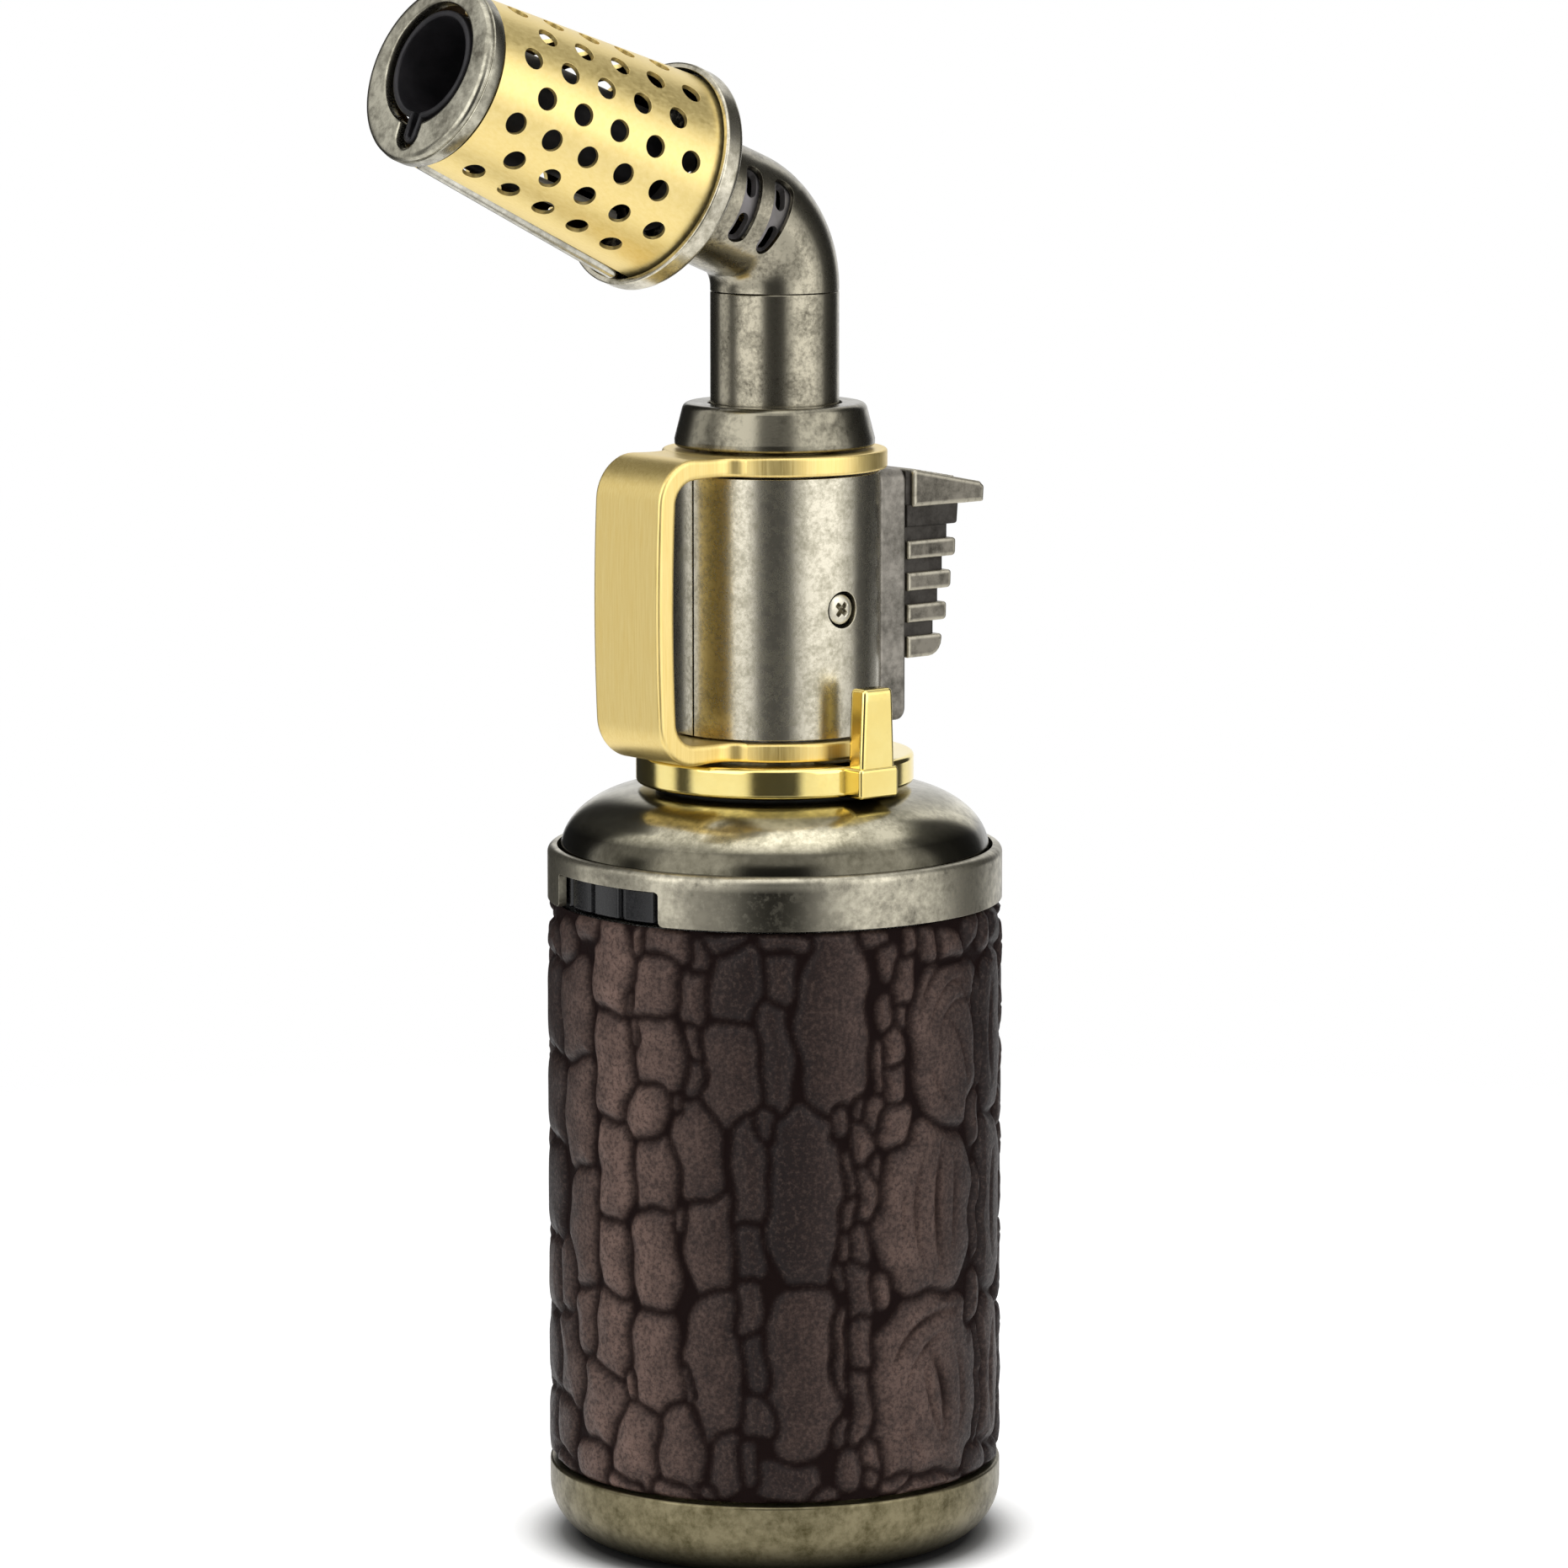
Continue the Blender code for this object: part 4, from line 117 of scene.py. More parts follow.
def new_piece(name, parts, body, finish, stands_for=(), sharp=38, wall=0, bevel=0,
              inner_finish=None, marks=None, even=True):
    """Makes one object of (points in mm, faces) parts, welds it, and lets it ride on its body.
    A wall thickens a sheet inwards, and a bevel rounds its edges. Marks are values for each point."""
    points, corners, counts, first = [], [], [], 0
    for part_points, part_faces in parts:
        part_points = np.asarray(part_points, float).reshape(-1, 3)
        for block in (part_faces if isinstance(part_faces, list) else [part_faces]):
            corners.append(block.ravel() + first)
            counts.append(np.full(len(block), block.shape[1]))
        points.append(part_points)
        first += len(part_points)
    points, corners, counts = np.concatenate(points), np.concatenate(corners), np.concatenate(counts)
    mesh = bpy.data.meshes.new(name)
    mesh.vertices.add(len(points))
    mesh.vertices.foreach_set("co", (points * MM).astype(np.float32).ravel())
    mesh.loops.add(len(corners))
    mesh.loops.foreach_set("vertex_index", corners.astype(np.int32))
    mesh.polygons.add(len(counts))
    mesh.polygons.foreach_set("loop_start", (np.cumsum(counts) - counts).astype(np.int32))
    mesh.update(calc_edges=True)
    mesh.validate()
    for key, value in (marks or {}).items():
        layer = mesh.attributes.new(key, "FLOAT", "POINT")
        layer.data.foreach_set("value", np.asarray(value, np.float32).ravel())
    weld(mesh)
    mesh.shade_smooth()
    piece = bpy.data.objects.new(name, mesh)
    bpy.context.scene.collection.objects.link(piece)
    if wall:
        thicken = piece.modifiers.new("wall", "SOLIDIFY")
        thicken.thickness = wall * MM
        thicken.offset = -1
        thicken.use_even_offset = even
        thicken.material_offset = 1 if inner_finish else 0
    if bevel:
        soften = piece.modifiers.new("edges", "BEVEL")
        soften.width = bevel * MM
        soften.segments = BEVEL_STEPS
        soften.limit_method = "ANGLE"
        soften.angle_limit = BEVEL_CORNER
        soften.harden_normals = True
    if not wall:
        mesh.set_sharp_from_angle(angle=math.radians(sharp))
    mesh.materials.append(finish)
    if inner_finish:
        mesh.materials.append(inner_finish)
    if stands_for:
        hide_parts(*stands_for)
    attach(piece, body)
    return piece


def rounded(corners, radii, steps=5, keep=0.1):
    """Closed outline in which an arc of its own radius takes the place of each corner, with a point kept
    just before and after each arc so that the flats between them shade evenly."""
    corner = np.asarray(corners, float)
    radius = np.broadcast_to(np.asarray(radii, float), len(corner))[:, None]
    back, ahead = np.roll(corner, 1, 0) - corner, np.roll(corner, -1, 0) - corner
    back /= np.linalg.norm(back, axis=1, keepdims=True)
    ahead /= np.linalg.norm(ahead, axis=1, keepdims=True)
    half = np.arccos(np.clip((back * ahead).sum(1, keepdims=True), -1, 1)) / 2
    run = radius / np.tan(half)
    to_middle = (back + ahead) / np.linalg.norm(back + ahead, axis=1, keepdims=True)
    middle = corner + to_middle * radius / np.sin(half)
    start, end = corner + back * run - middle, corner + ahead * run - middle
    turn = (math.pi - 2 * half)[:, None, :]
    share = np.linspace(0, 1, steps + 1)[None, :, None]
    arc = (start[:, None] * np.sin((1 - share) * turn) + end[:, None] * np.sin(share * turn)) / np.sin(turn)
    arc = arc + middle[:, None]
    before = (corner + back * (run + keep))[:, None]
    after = (corner + ahead * (run + keep))[:, None]
    return np.concatenate([before, arc, after], 1).reshape(-1, 2)


def upright(x, y, z):
    """Points from their three coordinates."""
    return np.stack(np.broadcast_arrays(x, y, z), -1)


def on_head(up, side, along):
    """Places points of the head: towards its top, towards +Y and along its axis from the elbow's knee."""
    slope, rise = math.cos(HEAD_TILT), math.sin(HEAD_TILT)
    return np.stack(np.broadcast_arrays(slope * along - rise * up, side,
                                        HEAD_HEIGHT + rise * along + slope * up), -1)


def round_steps(steps):
    """Angles of evenly spaced points round a full turn."""
    return np.arange(steps) * math.tau / steps


def stretches(start, *steps):
    """Positions from the start on: for each (cells, end), so many even steps up to that end."""
    line = [np.array([start], float)]
    for cells, end in steps:
        line.append(np.linspace(line[-1][-1], end, cells + 1)[1:])
    return np.concatenate(line)


def polar(radius, angle, height, place=upright):
    """Points given by their distance from an axis, their angle round it and their place along it."""
    return place(radius * np.cos(angle), radius * np.sin(angle), height)


def turned(outline, steps=160, place=upright):
    """A closed outline of (radius, height) carried once round an axis."""
    points = polar(outline[:, :1], round_steps(steps), outline[:, 1:], place)
    return points, grid_faces(len(outline), steps, True, True)


def inwards(outline, distance):
    """Moves each point of a counter-clockwise closed outline inwards, across the line of its neighbours."""
    run = np.roll(outline, -1, 0) - np.roll(outline, 1, 0)
    across = np.stack([-run[:, 1], run[:, 0]], -1)
    return outline + across / np.linalg.norm(across, axis=1, keepdims=True) * distance


def stacked(rows, place=upright):
    """Outlines with the same number of points, each placed at its own height."""
    return np.stack([place(line[:, 0], line[:, 1], np.full(len(line), height)) for line, height in rows])


def carried(rows, place=upright):
    """Such outlines joined into one closed ring-shaped solid, the last row to the first."""
    points = stacked(rows, place)
    return points, grid_faces(len(rows), points.shape[1], True, True)


def capped(points):
    """Rows of points joined into one closed solid, with a flat face over the first row and the last."""
    count, size = points.shape[:2]
    caps = np.stack([np.arange(size), (count - 1) * size + np.arange(size)])
    return points, [grid_faces(count, size, False, True), caps]


def rim_rows(outline, low, high, edge, steps=3):
    """Outline rows from low to high whose ends turn inwards over an arc of the edge's radius."""
    turn = np.linspace(0, math.pi / 2, steps + 1)
    arc = [(inwards(outline, inset), rise)
           for inset, rise in zip(edge * (1 - np.cos(turn)), edge * (1 - np.sin(turn)))]
    rows = [(line, low + rise) for line, rise in arc[::-1]]
    rows += [(outline, low + edge * 1.3), (outline, high - edge * 1.3)]
    return rows + [(line, high - rise) for line, rise in arc]


def edge_rows(outline, low, high, edge):
    """Such rows for the outside of a ring, with one more row set in on either flat end."""
    flat = inwards(outline, edge * 1.6)
    return [(flat, low)] + rim_rows(outline, low, high, edge, 4) + [(flat, high)]


def circle(radius, steps, shift=0.0):
    """Points round the axis, or round a line shifted towards the head's top."""
    angle = round_steps(steps)
    return np.stack([shift + radius * np.cos(angle), radius * np.sin(angle)], -1)


def pierced(across, along, holes, place, closed=False):
    """A sheet on a grid of two parameters. Round each hole (block, middle, rim), that block of the grid's
    squares gives way to rings that run from its border to the rim. rim(offsets) gives the rim's offsets."""
    columns, rows = len(across), len(along)
    plane = np.stack(np.meshgrid(across, along, indexing="ij"), -1)
    kept = np.ones((columns if closed else columns - 1, rows - 1), bool)
    parts = []
    for (left, right, low, high), centre, rim in holes:
        kept[left:right, low:high] = False
        border = np.concatenate([plane[left:right, low], plane[right, low:high],
                                 plane[right:left:-1, high], plane[left, high:low:-1]])
        edge = np.asarray(centre) + rim(border - centre)
        share = np.array([1.0, 0.6, 0.3, 0.12, 0.04, 0.0])[:, None, None]
        ring = border * share + edge * (1 - share)
        parts.append((place(ring[..., 0], ring[..., 1]), grid_faces(len(share), len(border), False, True)))
    squares = grid_faces(columns, rows, closed, False)[kept.ravel()]
    parts.append((place(plane[..., 0], plane[..., 1]), squares))
    return parts


def oval_rim(half_across, half_along, mm_across):
    """Rim of a round-ended slot or, with equal halves, of a hole, as offsets in the sheet's parameters."""
    long, short = max(half_across, half_along), min(half_across, half_along)
    straight = long - short

    def rim(offset):
        mm = offset * np.array([mm_across, 1.0])
        angle = np.arctan2(mm[:, 1], mm[:, 0])
        far, near = np.abs(np.cos(angle)), np.abs(np.sin(angle))
        if half_along > half_across:
            far, near = near, far
        side = short / np.maximum(near, 1e-9)
        end = straight * far + np.sqrt(np.maximum(short ** 2 - (straight * near) ** 2, 0))
        reach = np.where(side * far <= straight, side, end)
        return np.stack([reach * np.cos(angle) / mm_across, reach * np.sin(angle)], -1)

    return rim


def ramp(value, low, high):
    """Smooth step from 0 at low to 1 at high."""
    share = np.clip((value - low) / (high - low), 0, 1)
    return share * share * (3 - 2 * share)


# ---------------------------------------------------------------- materials
def linear(code):
    """An sRGB hex colour as linear red, green, blue and alpha."""
    values = [int(code[i:i + 2], 16) / 255 for i in (1, 3, 5)]
    return tuple(v / 12.92 if v <= 0.04045 else ((v + 0.055) / 1.055) ** 2.4 for v in values) + (1.0,)


def add(tree, kind, inputs=None, **settings):
    """Adds a node with its settings, and fills its inputs with values or with other nodes' outputs."""
    node = tree.nodes.new("ShaderNode" + kind)
    for key, value in settings.items():
        setattr(node, key, value)
    for key, value in (inputs or {}).items():
        if isinstance(value, bpy.types.NodeSocket):
            tree.links.new(value, node.inputs[key])
        else:
            node.inputs[key].default_value = value
    return node


def surface(name, inputs):
    """A material with one Principled shader, and its node tree."""
    material = bpy.data.materials.new(name)
    material.use_nodes = True
    tree = material.node_tree
    tree.nodes.clear()
    shader = add(tree, "BsdfPrincipled", inputs)
    output = add(tree, "OutputMaterial")
    tree.links.new(shader.outputs["BSDF"], output.inputs["Surface"])
    return material, tree, shader


def noise(tree, where, size_mm, detail=3.0, rough=0.55, stretch=None):
    """Noise whose grains are about size_mm wide, longer along an axis where stretch gives a share below 1."""
    if stretch:
        where = add(tree, "Mapping", {"Vector": where, "Scale": stretch}).outputs["Vector"]
    return add(tree, "TexNoise", {"Vector": where, "Scale": 1 / (size_mm * MM), "Detail": detail,
                                  "Roughness": rough}).outputs["Fac"]


def span(tree, value, low, high, to_low, to_high):
    """Value between low and high turned into a value between two others, held at both ends."""
    return add(tree, "MapRange", {"Value": value, "From Min": low, "From Max": high,
                                  "To Min": to_low, "To Max": to_high}).outputs["Result"]


def blend(tree, share, first, second):
    """The first colour where the share is 0, the second where it is 1."""
    return add(tree, "Mix", {0: share, 6: first, 7: second}, data_type="RGBA").outputs[2]


def bump(tree, shader, height, depth_mm, strength=1.0):
    """Lets a height of so many millimetres tilt the shader's normal."""
    node = add(tree, "Bump", {"Height": height, "Distance": depth_mm * MM, "Strength": strength})
    tree.links.new(node.outputs["Normal"], shader.inputs["Normal"])


def antique_plating(name, light, dark, cover=0.5, rough=(0.22, 0.34), cloud_mm=5.0, speck_mm=0.9,
                    mark=None, mark_colour="#000000", levels=()):
    """Zinc casting plated in silver, blackened and rubbed back: soft clouds of patina with finer mottling.
    Light is the rubbed metal, dark the patina, and cover the share of the patina. A mark is a point value
    that brings its own colour. A level (low mm, high mm, share below, share above, colour) adds painted
    shade by height: its colour darkens the metal below or above a band, standing in for dark reflections."""
    material, tree, shader = surface(name, {"Metallic": 1.0})
    where = add(tree, "TexCoord").outputs["Object"]
    cloud = noise(tree, where, cloud_mm, 3, 0.55)
    speck = noise(tree, where, speck_mm, 4, 0.7)
    grain = noise(tree, where, 0.25, 2, 0.6)
    both = add(tree, "Math", {0: cloud, 1: speck}, operation="ADD").outputs[0]
    patina = span(tree, both, 1.32 - 0.3 * cover, 0.78 - 0.3 * cover, 0.0, 1.0)
    colour = blend(tree, patina, linear(light), linear(dark))
    if levels:
        height = add(tree, "SeparateXYZ", {"Vector": where}).outputs["Z"]
    for low, high, below, above, tint in levels:
        colour = blend(tree, span(tree, height, low * MM, high * MM, below, above), colour, linear(tint))
    if mark:
        share = add(tree, "Attribute", attribute_name=mark).outputs["Fac"]
        share = add(tree, "Math", {0: share, 1: span(tree, speck, 0.25, 0.5, 0.35, 1.0)},
                    operation="MULTIPLY").outputs[0]
        colour = blend(tree, share, colour, linear(mark_colour))
    tree.links.new(colour, shader.inputs["Base Color"])
    tree.links.new(span(tree, patina, 0, 1, *rough), shader.inputs["Roughness"])
    bump(tree, shader, grain, 0.008, 0.5)
    return material


def brushed_brass(name, base, streak, stretch, rough=(0.3, 0.42), streak_mm=0.22):
    """Brass sheet brushed with fine abrasive: satin, with thin streaks along the brush's way."""
    material, tree, shader = surface(name, {"Metallic": 0.88})
    where = add(tree, "TexCoord").outputs["Object"]
    lines = noise(tree, where, streak_mm, 3, 0.65, stretch)
    colour = blend(tree, span(tree, lines, 0.3, 0.7, 0, 1), linear(streak), linear(base))
    tree.links.new(colour, shader.inputs["Base Color"])
    tree.links.new(span(tree, lines, 0.3, 0.7, *rough), shader.inputs["Roughness"])
    bump(tree, shader, lines, 0.006, 0.5)
    return material


def plain_finish(name, base, other, metallic, rough, grain_mm, grain_depth, specular=0.5, transmission=0.0,
                 ior=None):
    """A moulded, cast, turned or drawn surface: two close tones in soft clouds, with its own fine grain."""
    inputs = {"Metallic": metallic, "Specular IOR Level": specular, "Transmission Weight": transmission}
    if ior:
        inputs["IOR"] = ior
    material, tree, shader = surface(name, inputs)
    where = add(tree, "TexCoord").outputs["Object"]
    cloud = noise(tree, where, grain_mm * 12, 3, 0.6)
    grain = noise(tree, where, grain_mm, 2, 0.6)
    colour = blend(tree, span(tree, cloud, 0.35, 0.65, 0, 1), linear(base), linear(other))
    tree.links.new(colour, shader.inputs["Base Color"])
    tree.links.new(span(tree, grain, 0.3, 0.7, *rough), shader.inputs["Roughness"])
    bump(tree, shader, grain, grain_depth, 0.6)
    return material


# The groove colour is dye in the grooves, and painted shade in the creases.
LEATHER_DYE, GROOVE_DYE_AND_CREASE_SHADE = "#170d0d", "#1c1312"


def embossed_leather():
    """Split cowhide embossed with large scales, dyed dark brown: dull grooves, fine speckled grain on the
    scales, and a soft sheen to either side, painted as paler stripes in the tone. Each scale is painted darker
    towards its edges, partly dye rubbed off its high places and partly painted shade, and the creases take
    painted shade."""
    material, tree, shader = surface("embossed_leather", {})
    where = add(tree, "TexCoord").outputs["Object"]
    height, tone_and_sheen, crown = (add(tree, "Attribute", attribute_name=mark).outputs["Fac"]
                           for mark in ("relief", "tone_and_sheen", "crown"))
    grain = noise(tree, where, 0.45, 4, 0.7)
    cloud = noise(tree, where, 3.0, 3, 0.6)
    colour = linear(LEATHER_DYE)
    # The tone is each scale's own dye tone plus the painted sheen stripes.
    for share, code in ((tone_and_sheen, "#846b61"), (span(tree, cloud, 0.36, 0.62, 0.45, 0.0), LEATHER_DYE),
                        # Partly rubbed dye, partly painted shade: each scale turns darker towards its edges,
                        # where its crown is low.
                        (span(tree, crown, 0.1, 0.8, 0.6, 0.0), LEATHER_DYE),
                        (span(tree, grain, 0.38, 0.54, 0.6, 0.0), "#150f0f"),
                        (span(tree, grain, 0.52, 0.68, 0.0, 0.2), "#7d6a60")):
        colour = blend(tree, share, colour, linear(code))
    # The relief mark brings the groove colour into the grooves, and into the creases as painted shade.
    colour = blend(tree, span(tree, height, 0.08, 0.75, 0.0, 1.0), linear(GROOVE_DYE_AND_CREASE_SHADE), colour)
    tree.links.new(colour, shader.inputs["Base Color"])
    tree.links.new(span(tree, height, 0.2, 0.9, 0.02, 0.16), shader.inputs["Specular IOR Level"])
    tree.links.new(span(tree, grain, 0.3, 0.7, 0.56, 0.38), shader.inputs["Roughness"])
    bump(tree, shader, grain, 0.09, 0.9)
    return material


# Silver plated zinc, blackened and rubbed back: pale on the rubbed places, dark in the hollows.
antique_silver = antique_plating("antique_silver_plating", "#c9c3b1", "#97927f", cover=0.5, cloud_mm=2.0,
                                 speck_mm=0.5)
neck_silver = antique_plating("antique_silver_dark", "#a19b89", "#3a362d", cover=0.72, cloud_mm=2.8,
                              speck_mm=0.5)
collar_silver = antique_plating("antique_silver_collar", "#8b8676", "#2f2c24", cover=0.7, cloud_mm=5.0)
band_silver = antique_plating("antique_silver_band", "#bdb7a4", "#6a665a", cover=0.4, rough=(0.3, 0.44),
                              mark="patch", mark_colour="#45423a")
# The dome's levels are painted shade: darker below 80 mm and towards the flat top, for dark reflections.
dome_silver = antique_plating("antique_silver_glossy", "#d2cbb2", "#7d7862", cover=0.45, rough=(0.15, 0.25),
                              levels=[(79.0, 80.2, 0.85, 0.0, "#35322a"), (81.2, 82.6, 0.0, 0.6, "#5f5a43")])
base_silver = antique_plating("antique_silver_brassy", "#7b735a", "#464029", cover=0.5, rough=(0.32, 0.46),
                              cloud_mm=4.0)
plate_silver = antique_plating("antique_silver_matt", "#98938a", "#5c5952", cover=0.4, rough=(0.42, 0.55))
# Rims and corners of the ribs are painted paler: partly rubbed wear, partly painted highlight.
slide_silver = antique_plating("antique_silver_rubbed", "#827d72", "#3c3933", cover=0.5, rough=(0.36, 0.5),
                               mark="wear_and_highlight", mark_colour="#b6b09f")
# The core is painted dark: partly patina left unrubbed in the recesses, partly painted shade.
slide_core_patina_and_shade = antique_plating("antique_silver_unrubbed_and_shaded", "#4b4844", "#302d2a", cover=0.5, rough=(0.5, 0.6))
# Patina and painted shade: the screws' recess seats are painted near-black, for the dark gap round each head.
recess_patina_and_shade = plain_finish("antique_silver_recess", "#12110f", "#0a0908", 0.3, (0.6, 0.7), 0.3, 0.01,
                             specular=0.1)
screw_steel = antique_plating("plated_screw_head", "#e9e4d2", "#b8b2a0", cover=0.3, rough=(0.32, 0.42),
                              mark="cross", mark_colour="#524c3a")
# The cup's hollow is painted near-black.
cup_silver = antique_plating("antique_silver_dark_hollow", "#cdc7b5", "#77725f", cover=0.5, cloud_mm=3.0,
                             mark="dark_hollow", mark_colour="#0f0d0a")
rail_steel = antique_plating("rail_plating", "#d2cfc2", "#9a978b", cover=0.2, rough=(0.2, 0.3))
bezel_silver = antique_plating("antique_silver_ring", "#b5b1a0", "#5a564a", cover=0.5, rough=(0.22, 0.36))
# Brushed brass sheet: satin and pale, with fine streaks; inside the shield it is painted dark brown, partly
# heat tarnish and partly painted shade.
guard_brass = brushed_brass("brushed_brass", "#f3dc94", "#e6ca7c", (1, 1, 0.04))
shield_brass = brushed_brass("brushed_brass_sheet", "#f2dc98", "#e8cf85", (0.3, 1, 0.3))
brass_tarnish_and_shade = plain_finish("heat_tarnish_and_painted_shade_brass", "#4a3418", "#2c2012", 1.0, (0.4, 0.55), 0.5, 0.01)
ring_gold = plain_finish("polished_gold_plating", "#f8e597", "#f4dd8a", 1.0, (0.1, 0.15), 0.4, 0.001)
# Plastic, rubber, steel, zinc and ceramic of the small and the hidden pieces, each with its maker's grain.
black_abs = plain_finish("moulded_black_plastic", "#0b0b0d", "#111114", 0.0, (0.24, 0.34), 0.3, 0.01)
white_nylon = plain_finish("moulded_white_nylon", "#dedbd2", "#cfccc2", 0.0, (0.35, 0.45), 0.4, 0.01)
grey_tank = plain_finish("moulded_clear_grey_plastic", "#a9b0b0", "#949c9c", 0.0, (0.12, 0.2), 0.5, 0.005,
                         transmission=0.7, ior=1.49)
rubber = plain_finish("moulded_black_rubber", "#1b1b1b", "#242424", 0.0, (0.6, 0.75), 0.25, 0.02,
                      specular=0.3)
steel = plain_finish("drawn_bright_steel", "#c4c4c0", "#b0b0ac", 1.0, (0.2, 0.32), 0.2, 0.004)
zinc = plain_finish("raw_zinc_casting", "#a8a8a6", "#8e8e8c", 1.0, (0.4, 0.55), 0.6, 0.03)
turned_brass = plain_finish("turned_brass", "#d8b767", "#c9a654", 1.0, (0.18, 0.3), 0.2, 0.004)
heat_steel = plain_finish("heat_blackened_steel", "#29272a", "#18171a", 0.4, (0.4, 0.55), 0.3, 0.01)
air_grey = plain_finish("blued_steel_sleeve", "#8a8688", "#6f6c69", 0.6, (0.4, 0.5), 0.3, 0.01)
ceramic = plain_finish("fired_white_ceramic", "#e4e0d6", "#d6d2c6", 0.0, (0.55, 0.7), 0.3, 0.02, specular=0.4)
leather = embossed_leather()

SLOT_FINISH = {
    "antique_silver": antique_silver, "satin_brass": guard_brass, "polished_gold": ring_gold,
    "brown_leather": leather, "black_plastic": black_abs, "white_plastic": white_nylon,
    "clear_grey_plastic": grey_tank, "black_rubber": rubber, "bright_steel": steel, "zinc_casting": zinc,
    "machined_brass": turned_brass, "heat_black_steel": heat_steel, "white_ceramic": ceramic,
}
for subpart in frame["record"]["subparts"]:
    node = nodes[subpart["node"]]
    node.data.materials.clear()
    node.data.materials.append(SLOT_FINISH[subpart["material_slot"]])


# ---------------------------------------------------------------- base, leather, band, dome
def disc_rim(angle, distance, radius):
    """Rim of a round hole in a disc whose parameters are angle and distance from the middle: the point where
    the ray from the hole's middle meets its circle, given back in those parameters."""
    middle = distance * np.array([math.cos(angle), math.sin(angle)])

    def rim(offset):
        turn, reach = angle + offset[:, 0], distance + offset[:, 1]
        way = np.stack([reach * np.cos(turn), reach * np.sin(turn)], -1) - middle
        edge = middle + radius * way / np.linalg.norm(way, axis=1, keepdims=True)
        around = (np.arctan2(edge[:, 1], edge[:, 0]) - angle + math.pi) % math.tau - math.pi
        return np.stack([around, np.hypot(edge[:, 0], edge[:, 1]) - distance], -1)

    return rim


def make_base():
    """The cup, with its floor pierced for three screws and for the filling valve."""
    screw_circle, screw_hole, valve_place, valve_hole, flat = 15.0, 2.0, 9.0, 3.3, 17.4
    across = np.radians(stretches(-11, (12, 11), (40, 109), (12, 131), (8, 152), (24, 208), (8, 229),
                                  (12, 251), (40, 349))[:-1])
    along = stretches(0, (1, 2.5), (1, 5.0), (8, 12.6), (6, flat))
    third = math.tau / 3
    holes = [((column, column + 12, 10, 16), (turn, screw_circle), disc_rim(turn, screw_circle, screw_hole))
             for column, turn in ((0, 0.0), (52, third), (104, 2 * third))]
    holes.append(((72, 96, 2, 10), (math.pi, valve_place), disc_rim(math.pi, valve_place, valve_hole)))
    floors = [pierced(across, along, holes, lambda angle, reach, z=z: polar(reach, angle, z), True)
              for z in (0.0, BASE_FLOOR)]
    walls = []
    for low, high in list(zip(*floors))[:-1]:
        rims = np.stack([low[0][-1], high[0][-1]])
        walls.append((rims, grid_faces(2, rims.shape[1], False, True)))
    steps = 12
    outline = rounded([(flat, 0), (BODY_RADIUS, 0), (BODY_RADIUS, BASE_TOP), (22.5, BASE_TOP), (22.5, 11.5),
                       (21.5, 11.5), (21.5, BASE_FLOOR), (flat, BASE_FLOOR)],
                      [0, BASE_CORNER, 0.35, 0, 0.2, 0.2, 2.5, 0], steps)
    corner = steps + 3
    outline = np.concatenate([[(flat, 0)], outline[corner:-corner], [(flat, BASE_FLOOR)]])
    side = (polar(outline[:, :1], across, outline[:, 1:]),
            grid_faces(len(outline), len(across), False, True))
    new_piece("foot_cup", [side] + floors[0] + floors[1] + walls, "torch", base_silver,
              ["base_cup"])


